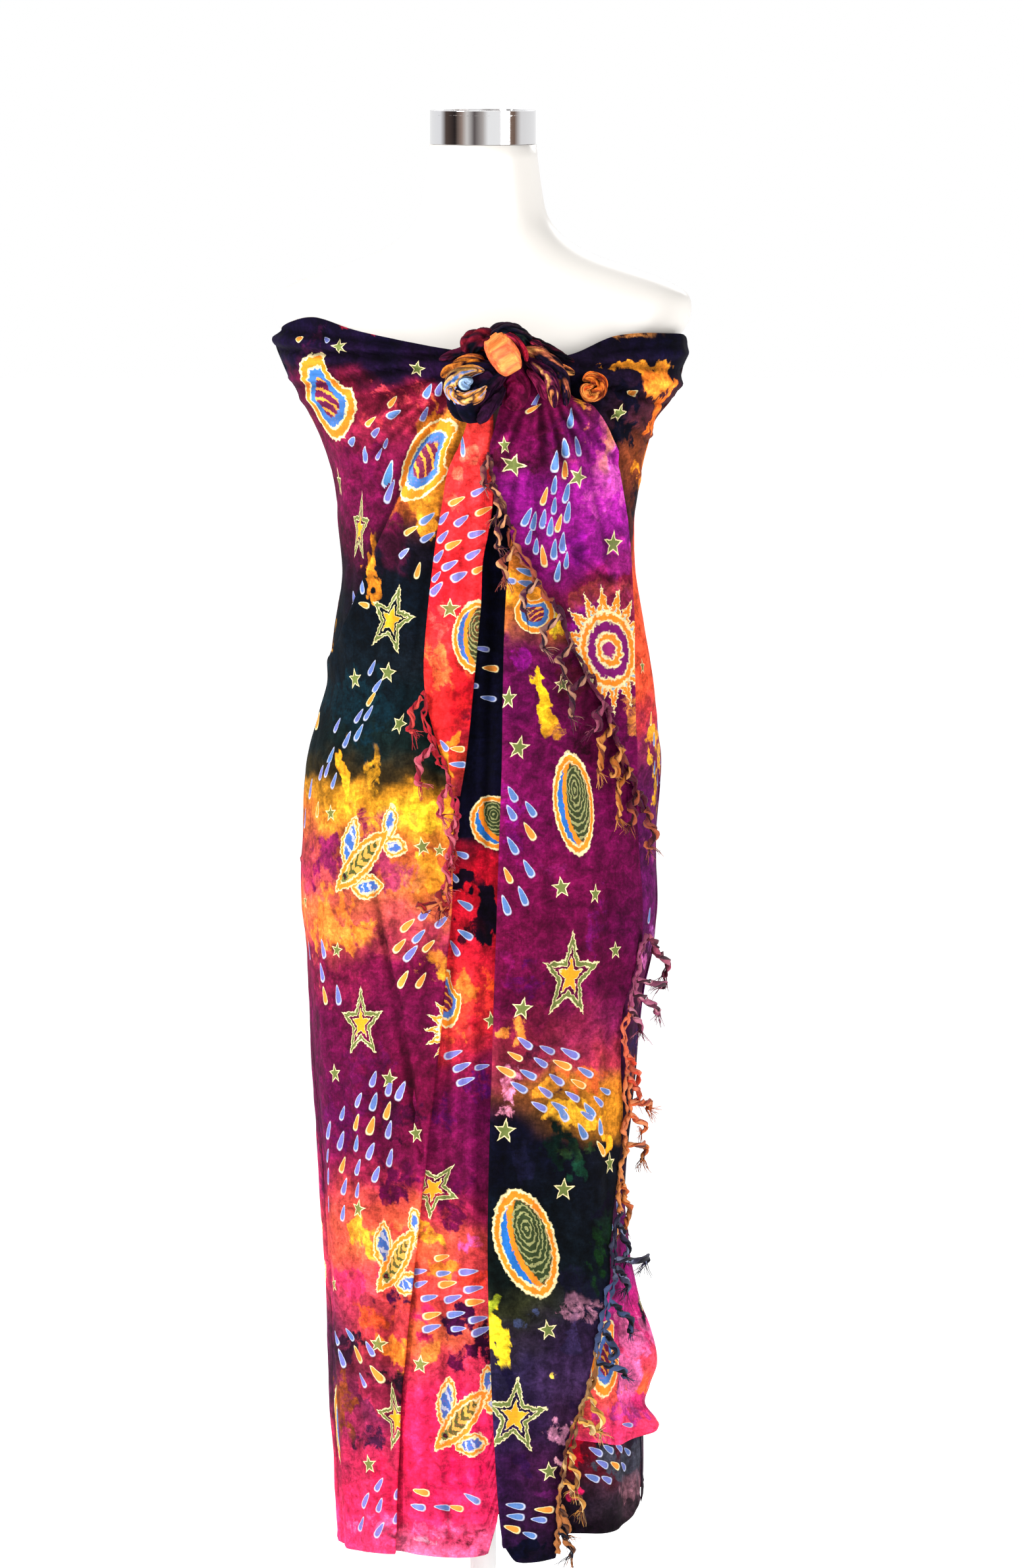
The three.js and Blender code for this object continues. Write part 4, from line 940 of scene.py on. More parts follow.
def dyed_rayon(name, crumple, printed=True, roughness=0.85):
    """Thin rayon: hand-dyed ground, wax print, crackle where the wax broke, slubs, weave, fine crumples, and the shade
    and highlight painted on its folds.
    """
    material, shader, tree = new_material(name, (0.3, 0.05, 0.15), roughness)
    shader.inputs["Sheen Weight"].default_value = 0.012
    shader.inputs["Sheen Roughness"].default_value = 0.45
    shader.inputs["Specular IOR Level"].default_value = 0.06
    flat = cloth_map(tree, "cloth")
    weave = tree.nodes.new("ShaderNodeGroup")
    weave.node_tree = WEAVE
    tree.links.new(flat, weave.inputs["Map"])
    # a patch's edge is torn: it breaks up into flecks where its dye is thin
    torn = math(tree, "MULTIPLY_ADD", noise(tree, flat, 80, 8, 0.74, 0.6), 7.2, -4.85)
    flecks = math(tree, "MULTIPLY_ADD", attribute(tree, "cover", "Fac"), 3.5, torn, clamp=True)
    ground = mixed(tree, flecks, attribute(tree, "dye", "Color"), attribute(tree, "dye_over", "Color"))
    # dye gathers in small dark clouds and leaves pale pinholes
    clouds = noise(tree, flat, 95, 5, 0.65, 0.6)
    depth = ramp(tree, clouds, [(0.32, 0.5), (0.5, 1.0), (0.7, 1.7)])
    ground = mixed(tree, 1.0, ground, depth.outputs["Color"], "MULTIPLY")
    specks = ramp(tree, noise(tree, flat, 330, 4, 0.7), [(0.34, 0.72), (0.5, 1.0), (0.66, 1.4)])
    ground = mixed(tree, 1.0, ground, specks.outputs["Color"], "MULTIPLY")
    crackle = tree.nodes.new("ShaderNodeTexVoronoi")
    crackle.feature = "DISTANCE_TO_EDGE"
    crackle.inputs["Scale"].default_value = 75
    bent = tree.nodes.new("ShaderNodeVectorMath")
    bent.operation = "MULTIPLY_ADD"
    swirl = tree.nodes.new("ShaderNodeTexNoise")
    swirl.inputs["Scale"].default_value = 55
    swirl.inputs["Detail"].default_value = 3
    tree.links.new(flat, swirl.inputs["Vector"])
    tree.links.new(swirl.outputs["Color"], bent.inputs[0])
    bent.inputs[1].default_value = (0.02, 0.02, 0)
    tree.links.new(flat, bent.inputs[2])
    tree.links.new(bent.outputs[0], crackle.inputs["Vector"])
    broken = ramp(tree, crackle.outputs["Distance"], [(0.0, 0.72), (0.035, 0.92), (0.07, 1.0)])
    here = ramp(tree, noise(tree, flat, 18, 3), [(0.42, 0.0), (0.6, 1.0)])
    ground = mixed(
        tree, here.outputs["Color"], ground, mixed(tree, 1.0, ground, broken.outputs["Color"], "MULTIPLY")
    )
    if printed:
        drawing = tree.nodes.new("ShaderNodeGroup")
        drawing.node_tree = BATIK
        wobble = tree.nodes.new("ShaderNodeVectorMath")
        wobble.operation = "MULTIPLY_ADD"
        hand = tree.nodes.new("ShaderNodeTexNoise")
        hand.inputs["Scale"].default_value = 260
        hand.inputs["Detail"].default_value = 2
        centred = tree.nodes.new("ShaderNodeVectorMath")
        centred.operation = "SUBTRACT"
        centred.inputs[1].default_value = (0.5, 0.5, 0.5)
        tree.links.new(flat, hand.inputs["Vector"])
        tree.links.new(hand.outputs["Color"], centred.inputs[0])
        tree.links.new(centred.outputs[0], wobble.inputs[0])
        wobble.inputs[1].default_value = (0.16, 0.16, 0)
        tree.links.new(cloth_map(tree, "motif"), wobble.inputs[2])
        tree.links.new(wobble.outputs[0], drawing.inputs["Map"])
        tree.links.new(attribute(tree, "kind", "Fac"), drawing.inputs["Kind"])
        tree.links.new(attribute(tree, "tint", "Fac"), drawing.inputs["Tint"])
        wear = ramp(tree, noise(tree, flat, 420, 2), [(0.3, 0.78), (0.5, 0.97)])
        cover = math(tree, "MULTIPLY", drawing.outputs["Cover"], wear.outputs["Color"])
        ground = mixed(tree, cover, ground, drawing.outputs["Colour"])
    threads = ramp(tree, weave.outputs["Slub"], [(0.35, 0.86), (0.6, 1.1)])
    ground = mixed(tree, 1.0, ground, threads.outputs["Color"], "MULTIPLY")
    # painted shade in the folds' furrows and painted highlight on their ridges, from the 'fold' attribute
    ground = mixed(tree, 1.0, ground, attribute(tree, "fold", "Fac"), "MULTIPLY")
    tree.links.new(ground, shader.inputs["Base Color"])
    dull = ramp(tree, clouds, [(0.3, roughness - 0.08), (0.7, roughness + 0.1)])
    tree.links.new(dull.outputs["Color"], shader.inputs["Roughness"])
    coarse = tree.nodes.new("ShaderNodeBump")
    coarse.inputs["Strength"].default_value = 1.0
    coarse.inputs["Distance"].default_value = crumple
    tree.links.new(weave.outputs["Crumple"], coarse.inputs["Height"])
    bump(tree, weave.outputs["Relief"], 0.35, 0.0003, shader, coarse.outputs["Normal"])
    return material

# ---------------------------------------------------------------------------------------------- left front
# The left half comes round from the back over the bust and hangs to the hem. A deep pleat runs from the knot down
# to the left hip, the packing folds still show, and the inner edge is folded under.
# distance from the middle at heights, of the folded edge
LEFT_FOLD_EDGE = [
    (1340, -2), (1200, -6), (1117, -9), (1064, -14), (995, -18), (910, -27), (799, -30), (755, -34),
    (705, -38),
    (596, -50), (526, -58), (431, -68), (349, -77), (284, -81), (190, -84),
]
LEFT_FRONT_HEM = [(-135, 203), (-84, 203), (0, 200)]
# from and to, width, rise, and whether the cloth steps up on the lower right side
LEFT_CREASES = [
    (-26, 1266, -62, 1204, 2.4, 6.5, True), (-62, 1204, -101, 1112, 2.4, 6.5, True),
    (-101, 1112, -140, 1020, 3, 4.5, True), (-30, 1303, -176, 1312, 5, 4, False),
    (-34, 1296, -160, 1290, 4, 4, False),
    (-34, 1288, -150, 1262, 5, 4, False), (-34, 1280, -120, 1228, 5, 3, False),
    (-30, 1230, -66, 1120, 6, 3, False),
    (-95, 790, -55, 569, 4, -3, False),
]
# the finer ones, for the cloth alone: gathers that fan out of the knot, pulls down the body, packing folds
LEFT_WRINKLES = [
    (-30, 1308, -120, 1327, 3.0, 1.6, False), (-36, 1300, -150, 1303, 2.6, -1.4, False),
    (-34, 1292, -170, 1278, 2.6, 1.6, False), (-36, 1284, -130, 1246, 2.8, -1.4, False),
    (-36, 1276, -112, 1212, 2.8, 1.5, False), (-32, 1268, -80, 1196, 2.4, -1.4, False),
    (-22, 1258, -48, 1180, 2.6, 1.6, False), (-16, 1250, -30, 1150, 3.0, -1.6, False),
    (-60, 1160, -92, 1030, 3.0, 1.3, False), (-46, 1120, -72, 980, 3.4, -1.2, False),
    (-120, 1190, -146, 1100, 4.0, 1.2, False), (-134, 1090, -128, 1010, 3.6, -1.1, False),
    (-172, 833, -84, 888, 1.8, 1.3, False), (-84, 888, -22, 902, 1.8, 1.3, False),
    (-96, 782, -76, 716, 2.4, -1.6, False), (-76, 716, -58, 596, 2.4, -1.6, False),
    (-58, 596, -55, 569, 2.2, -1.4, False),
    (-118, 640, -86, 500, 5.0, 1.2, False), (-104, 560, -78, 400, 4.0, -1.2, False),
    (-140, 460, -120, 300, 5.0, 1.1, False), (-96, 420, -88, 210, 3.6, 1.6, False),
    (-112, 360, -110, 206, 4.0, -1.4, False),
    (-124, 300, -128, 206, 4.0, 1.3, False),
]
EDGE_RISE, EDGE_WIDTH = 3, 20
# painted shade and highlight: how much lighter a ridge is painted, and how much darker a furrow, for each millimetre
# that it stands out
FOLD_SHADE = 0.3


def gathers(x, z, first, last, count, near, far, high, seed):
    """Fine ridges and furrows that fan out from a place, between two bearings in degrees."""
    draw = np.random.RandomState(seed)
    rows = []
    for i in range(count):
        bearing = np.radians(first + (last - first) * (i + draw.uniform(0.1, 0.9)) / count)
        start, end = near * draw.uniform(0.8, 1.3), far * draw.uniform(0.55, 1.15)
        c, s = np.cos(bearing), np.sin(bearing)
        rise = high * draw.uniform(0.6, 1.2) * (1 if i % 2 else -1)
        rows.append((
            x + c * start, z + s * start, x + c * end, z + s * end, draw.uniform(2.2, 4.2), rise, False
        ))
    return rows


LEFT_WRINKLES += gathers(
    -8, 1292, 166, 240, 20, 24, 115, 2.4, 3
) + gathers(-8, 1302, 171, 192, 7, 30, 175, 2.8, 4)
LEFT_DYES = [
    (1333, "1b1230", "17122c"), (1291, "1e1334", "2a1434"), (1267, "5a1440", "8c2440"),
    (1243, "7c1a4a", "a83450"), (1207, "7a184c", "8c2450"), (1159, "70164a", "701a48"),
    (1129, "5c163c", "641844"), (1099, "2a1c2c", "441838"), (1051, "14202a", "1c2028"),
    (991, "101c26", "12262c"), (949, "12242a", "1c2c28"), (919, "3a3420", "4a3a20"),
    (898, "b8842c", "d89a30"),
    (877, "c87838", "e8a038"), (847, "a84a4c", "c8683c"), (817, "b0405c", "d8803c"),
    (787, "e0784c", "b04458"),
    (763, "d06450", "8c3048"), (739, "8c2050", "7a1a48"), (691, "741650", "76184a"),
    (631, "701650", "70143f"),
    (571, "761850", "7a1a4a"), (547, "862050", "a83450"), (517, "b84054", "d86448"),
    (487, "d05a50", "e07848"),
    (457, "d84868", "e0603f"), (427, "a83a64", "c84a50"), (397, "5c2848", "b8404c"),
    (367, "4a2440", "8c3048"),
    (337, "6a2c50", "7c2c50"), (307, "883058", "a83458"), (277, "b8345c", "c4385c"),
    (247, "e03868", "e23a66"),
    (199, "f0427a", "ee4c7c"),
]
LEFT_PATCHES = [
    (-113, 1328, 16, 4, "8c2038", 0.8), (-158, 1291, 13, 24, "4a1a44", 0.5),
    (-137, 1243, 16, 12, "e09a3c", 0.5), (-68, 1267, 36, 16, "d0505c", 0.45),
    (-86, 1243, 30, 11, "c84858", 0.4), (-104, 1186, 36, 36, "7a1850", 0.5),
    (-100, 1107, 7, 26, "c8822c", 0.9),
    (-80, 1153, 14, 36, "6c1a44", 0.6), (-47, 1213, 16, 36, "e08c34", 0.85),
    (-47, 1159, 14, 24, "d89434", 0.8),
    (-39, 1243, 8, 22, "f09038", 0.8), (-80, 1123, 18, 18, "1c1828", 0.8), (-140, 1051, 6, 18, "c8922c", 0.7),
    (-113, 982, 36, 36, "14303a", 0.6), (-125, 919, 5, 30, "f2b034", 0.9),
    (-98, 922, 5, 20, "c8942c", 0.6), (-53, 886, 20, 16, "f6c038", 0.95), (-80, 892, 24, 8, "e8b038", 0.7),
    (-140, 847, 18, 26, "8c2a5c", 0.7), (-104, 853, 30, 36, "9a3458", 0.55),
    (-50, 835, 16, 28, "f2a23a", 0.9),
    (-74, 829, 18, 18, "b8506c", 0.5), (-140, 787, 20, 30, "f48c44", 0.8),
    (-116, 775, 18, 16, "f09440", 0.7), (-158, 823, 8, 20, "8c1c5c", 0.6), (-98, 763, 18, 12, "a03c50", 0.6),
    (-128, 727, 24, 18, "9c2858", 0.5), (-56, 775, 24, 24, "a84848", 0.5), (-47, 745, 12, 18, "e8983a", 0.6),
    (-113, 643, 36, 36, "6c1650", 0.5), (-140, 595, 30, 24, "6a1458", 0.5), (-80, 607, 18, 30, "4c0f38", 0.5),
    (-74, 553, 16, 24, "6a1248", 0.7), (-113, 496, 14, 18, "f2a43c", 0.8),
    (-74, 487, 18, 24, "e0544c", 0.6), (-116, 451, 18, 16, "d8406c", 0.7), (-80, 442, 14, 12, "5a1c4c", 0.7),
    (-95, 421, 22, 12, "e8643c", 0.7), (-116, 391, 16, 18, "3c1c34", 0.7), (-74, 397, 16, 16, "f08c3c", 0.7),
    (-83, 355, 14, 16, "2c1828", 0.6), (-125, 331, 12, 30, "8c4a2c", 0.6), (-98, 349, 18, 12, "b8385c", 0.6),
    (-104, 307, 16, 14, "4c2040", 0.6), (-86, 265, 18, 18, "d02c58", 0.6), (-86, 226, 30, 12, "f8689a", 0.5),
    (-74, 217, 24, 7, "7a2c3c", 0.5),
]
LEFT_PRINTS = [
    ("small_star", -130, 1310, 8.4, 7.8, 10, 0), ("drop", -167, 1316, 4.8, 4.8, 80, 0.9),
    ("drop", -143, 1316, 3.6, 4.2, 60, 0.3), ("paisley", -142, 1266, 40.0, 44.0, 12, 0),
    ("small_star", -59, 1291, 8.4, 8.4, -14, 0), ("drop", -49, 1271, 5.4, 8.4, -30, 0.1),
    ("drop", -39, 1273, 4.8, 7.8, -25, 0.4), ("drop", -80, 1250, 5.4, 7.8, -60, 0.1),
    ("drop", -53, 1250, 4.8, 7.8, -20, 0.3), ("drop", -97, 1233, 4.8, 7.2, -50, 0.5),
    ("drop", -118, 1224, 4.8, 7.2, -50, 0.2), ("drop", -107, 1212, 4.8, 9.0, -10, 0.2),
    ("drop", -86, 1195, 7.8, 15.6, -24, 0.0), ("drop", -85, 1179, 6.6, 13.2, -20, 0.5),
    ("drop", -100, 1243, 4.8, 7.2, -50, 0.9), ("drop", -82, 1261, 4.8, 7.2, -40, 0.9),
    ("drop", -89, 1223, 3.6, 6.0, -30, 0.3), ("drop", -95, 1213, 3.6, 7.2, -30, 0.5),
    ("star", -112, 1143, 14.4, 37.2, -6, 0), ("small_star", -131, 1184, 7.2, 15.6, 0, 0),
    ("paisley", -47, 1211, 25.2, 48.0, -32, 0), ("drop", -49, 1155, 5.4, 9.0, -50, 0.1),
    ("drop", -63, 1144, 4.8, 9.0, -60, 0.9), ("drop", -49, 1138, 4.8, 8.4, -55, 0.2),
    ("drop", -69, 1123, 4.8, 7.8, -50, 0.3), ("drop", -58, 1107, 4.2, 9.0, -20, 0.9),
    ("star", -83, 1061, 26.4, 37.2, -16, 0), ("drop", -107, 1091, 4.8, 8.4, 10, 0.2),
    ("drop", -106, 1074, 4.8, 7.8, 80, 0.9), ("drop", -118, 1079, 4.8, 7.8, 30, 0.3),
    ("small_star", -115, 1006, 9.0, 10.8, 8, 0), ("small_star", -86, 1013, 9.6, 10.8, -8, 0),
    ("small_star", -76, 967, 7.8, 11.4, -20, 0), ("drop", -100, 1017, 4.2, 9.0, -30, 0.2),
    ("drop", -95, 1001, 4.2, 9.0, -35, 0.2), ("drop", -101, 989, 4.2, 9.0, -35, 0.8),
    ("drop", -104, 976, 4.2, 9.0, -30, 0.2), ("drop", -113, 973, 4.2, 8.4, -30, 0.3),
    ("drop", -113, 958, 4.8, 9.6, -25, 0.1), ("drop", -124, 951, 4.8, 9.6, -25, 0.2),
    ("drop", -133, 963, 4.2, 8.4, -25, 0.3), ("drop", -139, 935, 4.8, 10.2, -22, 0.1),
    ("drop", -142, 923, 4.2, 9.0, -20, 0.3), ("drop", -136, 913, 4.2, 9.0, -20, 0.2),
    ("drop", -148, 919, 4.2, 8.4, -20, 0.4), ("drop", -158, 903, 4.8, 10.8, -16, 0.3),
    ("drop", -163, 875, 4.2, 10.8, -8, 0.4), ("drop", -151, 885, 4.2, 8.4, -10, 0.9),
    ("small_star", -139, 883, 8.4, 9.0, 6, 0), ("fish", -107, 847, 36.0, 52.8, -22, 0),
    ("small_star", -55, 856, 9.0, 10.2, 12, 0), ("drop", -151, 964, 7.2, 9.0, 0, 0.9),
    ("small_star", -163, 799, 6.0, 8.4, 0, 0), ("small_star", -133, 758, 7.8, 8.4, -8, 0),
    ("star", -111, 692, 26.4, 37.2, 4, 0), ("small_star", -134, 644, 8.4, 10.2, 8, 0),
    ("small_star", -86, 642, 9.6, 10.8, -6, 0), ("sun", -19, 689, 37.2, 37.2, 0, 0),
    ("small_star", -61, 593, 7.2, 10.8, 10, 0), ("small_star", -112, 521, 9.6, 10.8, -10, 0),
    ("fish", -76, 481, 33.6, 48.0, -14, 0), ("small_star", -133, 448, 7.2, 9.0, 10, 0),
    ("small_star", -95, 397, 9.0, 10.2, -8, 0), ("star", -80, 328, 20.4, 37.2, 6, 0),
    ("paisley", -135, 310, 19.2, 46.8, 8, 0), ("small_star", -102, 285, 9.0, 10.2, 6, 0),
    ("small_star", -39, 853, 7.2, 7.2, 0, 0),
    *drops(-58, 776, 26, 26, -40, 61), *drops(-146, 737, 14, 28, 20, 62), *drops(-113, 580, 32, 78, -18, 63),
    *drops(-114, 385, 22, 36, 34, 64), *drops(-93, 247, 18, 32, -24, 65), *drops(-70, 736, 14, 20, -20, 66),
]
# the pleat's line, height and distance from the middle, and the bands of dye on its right
PLEAT = [(1290, -14), (1266, -26), (1204, -62), (1112, -101), (1020, -140), (1000, -150)]
PLEAT_DYES = [
    (1266, "3a2030"), (1250, "d8883c"), (1230, "e8a03c"), (1205, "c87830"), (1185, "e08c34"),
    (1165, "a85c30"),
    (1148, "4a2830"), (1125, "201a28"), (1090, "101a26"), (1000, "0f2028"),
]
left_fold_edge = curve(LEFT_FOLD_EDGE)
left_front_hem = curve(LEFT_FRONT_HEM)


def edge_angle(edge, shift=0):
    return lambda z: angle_of(edge(z) + shift, z)


def rolled(inward):
    """The soft roll of a folded edge, by the distance inwards from it."""
    return EDGE_RISE * smooth(1 - inward / EDGE_WIDTH)


def left_lift(x, z):
    return crease_rise(LEFT_CREASES, x, z) + rolled(left_fold_edge(z) - x)


def crumples(angle, z, high, seed):
    """Small pillows and dents of thin cloth, softer up and down than across."""
    u = girth(angle, z)
    return high * (cloud(u, z * 0.6, 34, 3, seed) * 0.6 + cloud(u, z * 0.35, 13, 2, seed + 1) * 0.35)


def cloth_piece(
    name, grid, dyes, dye_patches, prints, seed, material, slot, nodes, ridge=True, by_front=True, beside=None
):
    """A stretch of cloth as a thin closed shell, with its map, its dyes, its prints and the shade and highlight painted
    on its folds, and a stitched narrow hem.
    """
    off = grid["off"] + crumples(grid["angle"], grid["z"], 1.5, seed)
    points = body_point(grid["angle"], grid["z"], off)
    if ridge:
        # the narrow rolled hem, thicker in its last few millimetres, and puckered by its stitches
        length = np.cumsum(np.linalg.norm(np.diff(points[::-1], axis=0), axis=2), axis=0)[::-1]
        length = np.concatenate([length, np.zeros((1, points.shape[1]))])
        u = girth(grid["angle"], grid["z"])
        roll = np.sqrt(np.clip(1 - ((length - 3.2) / 3.2) ** 2, 0, 1))
        bulge = 0.9 * roll * (1 + 0.25 * np.sin(u / 2.1) + 0.3 * cloud(u, 0 * u, 18, 2, seed))
        normal = np.cross(np.gradient(points, axis=0), np.gradient(points, axis=1))
        normal /= np.maximum(np.linalg.norm(normal, axis=2, keepdims=True), 1e-9)
        points = points + normal * bulge[..., None]
    skin, faces = shell(points, FABRIC)
    piece = mesh_piece(name, skin, faces)

    def both(values):
        return np.concatenate([values.ravel(), values[::2, ::2].ravel()])

    u, z, across = both(girth(grid["angle"], grid["z"])), both(grid["z"]), both(grid["across"])
    place = both(body_point(grid["angle"], grid["z"], 0)[..., 0]) if by_front else u
    colours = tie_dye(u, place, z, dyes, dye_patches, across, seed, beside)
    # painted shade in the furrows and painted highlight on the ridges: the colour is darkened or lightened by how far
    # each place stands out
    shade = np.clip(1 + FOLD_SHADE * both(relief(off)), 0.4, 1.5)
    print_on(piece, u, z, colours, along_cloth(prints) if by_front else prints, shade)
    only(piece)
    bpy.ops.object.shade_smooth_by_angle(angle=np.radians(62))
    finish_piece(piece, material, slot, *nodes)
    return piece


rayon = dyed_rayon("dyed_rayon", 0.0022)
left_grid = stretch(
    lambda z: LEFT_SEAM + 0 * z, edge_angle(left_fold_edge), lambda angle, x: top_edge(wrapped(angle)),
    lambda angle, x: left_front_hem(x), LAYER["skin"],
    lambda x, z, across, angle: left_lift(x, z) + crease_rise(LEFT_WRINKLES, x, z), 480, 104,
)
left_front = cloth_piece(
    "left_front", rolled_edge(left_grid, 1, 2.0, 14), LEFT_DYES, LEFT_PATCHES, LEFT_PRINTS, 11, rayon,
    "cloth_left",
    ["cloth_left_front"], beside=(curve(PLEAT), PLEAT_DYES),
)

# ---------------------------------------------------------------------------------------------- back
# The same cloth goes on round the back, from the left seam of this model to the right one. Its print goes on too:
# stars, shells, fish and showers of drops over bands of dye that run round the body.
BACK_DYES = [
    (1333, "14122c", "1b1230"), (1291, "1c1636", "1e1334"), (1262, "5a2a34", "5a1440"),
    (1215, "8c3c38", "7c1a4a"),
    (1170, "5c2048", "7a184c"), (1120, "f0644a", "70164a"), (1060, "ee6444", "2a1c2c"),
    (1010, "d84c48", "14202a"),
    (960, "8c2858", "101c26"), (900, "64185c", "12242a"), (870, "7a2470", "b8842c"),
    (840, "681858", "c87838"),
    (790, "6c1c60", "e0784c"), (740, "4c1844", "8c2050"), (690, "341434", "741650"),
    (600, "301430", "701650"),
    (540, "4c1848", "761850"), (500, "8c2468", "b84054"), (450, "c83874", "d84868"),
    (400, "6c2454", "5c2848"),
    (350, "382048", "6a2c50"), (300, "2c2038", "b8345c"), (250, "30202c", "e03868"),
    (205, "1c1420", "f0427a"),
]
BACK_PATCHES = [
    (190, 1200, 40, 20, "f08a3c", 0.7), (250, 1120, 50, 30, "f2b03c", 0.7),
    (330, 1040, 60, 30, "c82c4c", 0.6),
    (420, 1150, 50, 40, "8c1c7c", 0.6), (480, 980, 50, 26, "f0a43c", 0.7), (560, 900, 60, 30, "e0703c", 0.6),
    (250, 900, 50, 30, "d86c3c", 0.6), (330, 820, 60, 34, "8c2470", 0.6), (440, 780, 60, 26, "f2a83c", 0.7),
    (540, 740, 40, 30, "c83c5c", 0.6), (210, 700, 50, 40, "6c2068", 0.6), (320, 620, 60, 30, "5c1458", 0.6),
    (450, 600, 60, 40, "8c2048", 0.5), (560, 560, 50, 30, "a02c5c", 0.6), (240, 500, 50, 30, "f0583c", 0.7),
    (350, 460, 60, 30, "f0a03c", 0.7), (470, 430, 50, 30, "e83c74", 0.6), (300, 360, 60, 30, "4c2458", 0.6),
    (420, 320, 60, 26, "d83468", 0.6), (540, 300, 50, 30, "f05c7c", 0.6), (230, 280, 40, 26, "6c5464", 0.5),
]
BACK_PRINTS = [
    ("small_star", 190, 1262, 9, 10, 8, 0), ("sun", 270, 1218, 38, 38, 0, 0),
    ("small_star", 345, 1250, 9, 10, -8, 0),
    ("fish", 430, 1226, 33, 50, -20, 0), ("small_star", 520, 1240, 9, 10, 10, 0),
    ("star", 570, 1150, 26, 36, 6, 0),
    ("star", 215, 1110, 26, 36, -6, 0), ("paisley", 330, 1120, 30, 44, 14, 0),
    ("shell", 455, 1080, 26, 46, 12, 0),
    ("small_star", 395, 1010, 9, 10, 6, 0), ("small_star", 545, 1040, 9, 10, -6, 0),
    ("fish", 260, 960, 34, 50, 18, 0),
    ("small_star", 190, 1010, 9, 10, 4, 0), ("star", 480, 930, 26, 37, 4, 0),
    ("small_star", 575, 900, 9, 10, 6, 0),
    ("shell", 350, 850, 28, 48, -10, 0), ("small_star", 205, 850, 9, 10, -8, 0),
    ("sun", 530, 800, 38, 38, 12, 0),
    ("star", 250, 760, 26, 38, -4, 0), ("small_star", 420, 750, 9, 10, 4, 0),
    ("paisley", 575, 690, 28, 42, -12, 0),
    ("fish", 350, 660, 34, 50, -16, 0), ("small_star", 200, 660, 9, 10, 6, 0),
    ("star", 470, 620, 26, 37, 8, 0),
    ("shell", 245, 570, 28, 50, 12, 0), ("small_star", 380, 560, 9, 10, -6, 0),
    ("small_star", 560, 580, 9, 10, 4, 0),
    ("paisley", 330, 470, 28, 42, 10, 0), ("sun", 450, 480, 38, 38, 0, 0), ("fish", 560, 470, 33, 48, 16, 0),
    ("star", 215, 420, 26, 36, 4, 0), ("small_star", 390, 390, 9, 10, 8, 0),
    ("shell", 300, 340, 27, 46, -12, 0),
    ("star", 480, 340, 26, 37, -6, 0), ("small_star", 570, 380, 9, 10, 4, 0),
    ("small_star", 220, 320, 9, 10, -4, 0),
    *drops(380, 1180, 26, 46, 20, 31), *drops(260, 1040, 40, 24, -30, 32), *drops(510, 1000, 26, 40, 24, 33),
    *drops(400, 930, 24, 46, -20, 34), *drops(200, 930, 18, 44, 8, 35), *drops(430, 840, 24, 40, 30, 36),
    *drops(280, 850, 22, 36, -14, 37), *drops(350, 750, 30, 34, 14, 38), *drops(500, 710, 30, 40, -20, 39),
    *drops(270, 660, 20, 44, 10, 40), *drops(410, 640, 22, 40, -12, 41), *drops(540, 640, 24, 30, 20, 42),
    *drops(310, 540, 22, 40, 10, 43), *drops(200, 500, 24, 30, -14, 44), *drops(520, 400, 30, 30, 30, 45),
    *drops(400, 330, 26, 30, -20, 46), *drops(250, 400, 20, 34, 10, 47), *drops(350, 270, 60, 20, 60, 48),
    *drops(520, 270, 40, 20, -60, 49),
]
back_grid = stretch(
    lambda z: RIGHT_SEAM + 0 * z, lambda z: 360 + LEFT_SEAM + 0 * z, lambda angle, x: top_edge(wrapped(angle)),
    lambda angle, x: lowest_hem(wrapped(angle)), LAYER["skin"], lambda x, z, across, angle: 0 * x, 250, 108,
)
back = cloth_piece(
    "back", back_grid, BACK_DYES, BACK_PATCHES, BACK_PRINTS, 11, rayon, "cloth_back",
    ["cloth_back_right", "cloth_back_left"], by_front=False,
)

# ---------------------------------------------------------------------------------------------- lower layer
# A free corner of the cloth under the flap, at the lower right. It is thin and dark, with a rolled hem.
LOWER_END, LOWER_TOP = 25, 470
LOWER_DYES = [
    (463, "2c1c3c", "2c2038"), (355, "6c1430", "4a2040"), (319, "7c1a30", "302a3a"),
    (283, "64182c", "38323f"),
    (253, "3c2434", "5c4450"), (235, "2c2030", "44343c"), (220, "1c1420", "241420"),
    (187, "140f18", "180f18"),
]
LOWER_PATCHES = [
    (85, 307, 13, 30, "a81430", 0.9), (124, 283, 24, 18, "4a4a56", 0.7), (136, 256, 16, 12, "8c6470", 0.6),
    (118, 307, 18, 7, "343040", 0.6), (82, 256, 12, 7, "d8306c", 0.7),
]
LOWER_PRINTS = [
    ("drop", 103, 298, 5.4, 9.0, 60, 0.3), ("drop", 115, 299, 5.4, 9.0, 62, 0.2),
    ("drop", 127, 298, 5.4, 8.4, 64, 0.3), ("drop", 137, 293, 4.8, 7.8, 60, 0.2),
    ("drop", 109, 286, 5.4, 9.0, 64, 0.3), ("drop", 122, 283, 5.4, 8.4, 64, 0.9),
    ("drop", 133, 280, 5.4, 8.4, 60, 0.3), ("drop", 100, 274, 5.4, 8.4, 66, 0.2),
    ("drop", 113, 271, 5.4, 8.4, 66, 0.3), ("drop", 85, 325, 5.4, 8.4, 50, 0.2),
]
lower_grid = stretch(
    lambda z: LOWER_END + 0 * z, lambda z: RIGHT_SEAM + 0 * z, lambda angle, x: LOWER_TOP + 0 * x,
    lambda angle, x: lowest_hem(wrapped(angle)), LAYER["lower"], lambda x, z, across, angle: 0 * x, 110, 70,
)
lower = cloth_piece(
    "lower_layer", lower_grid, LOWER_DYES, LOWER_PATCHES, LOWER_PRINTS, 15, rayon, "cloth_lower",
    ["cloth_lower"],
)

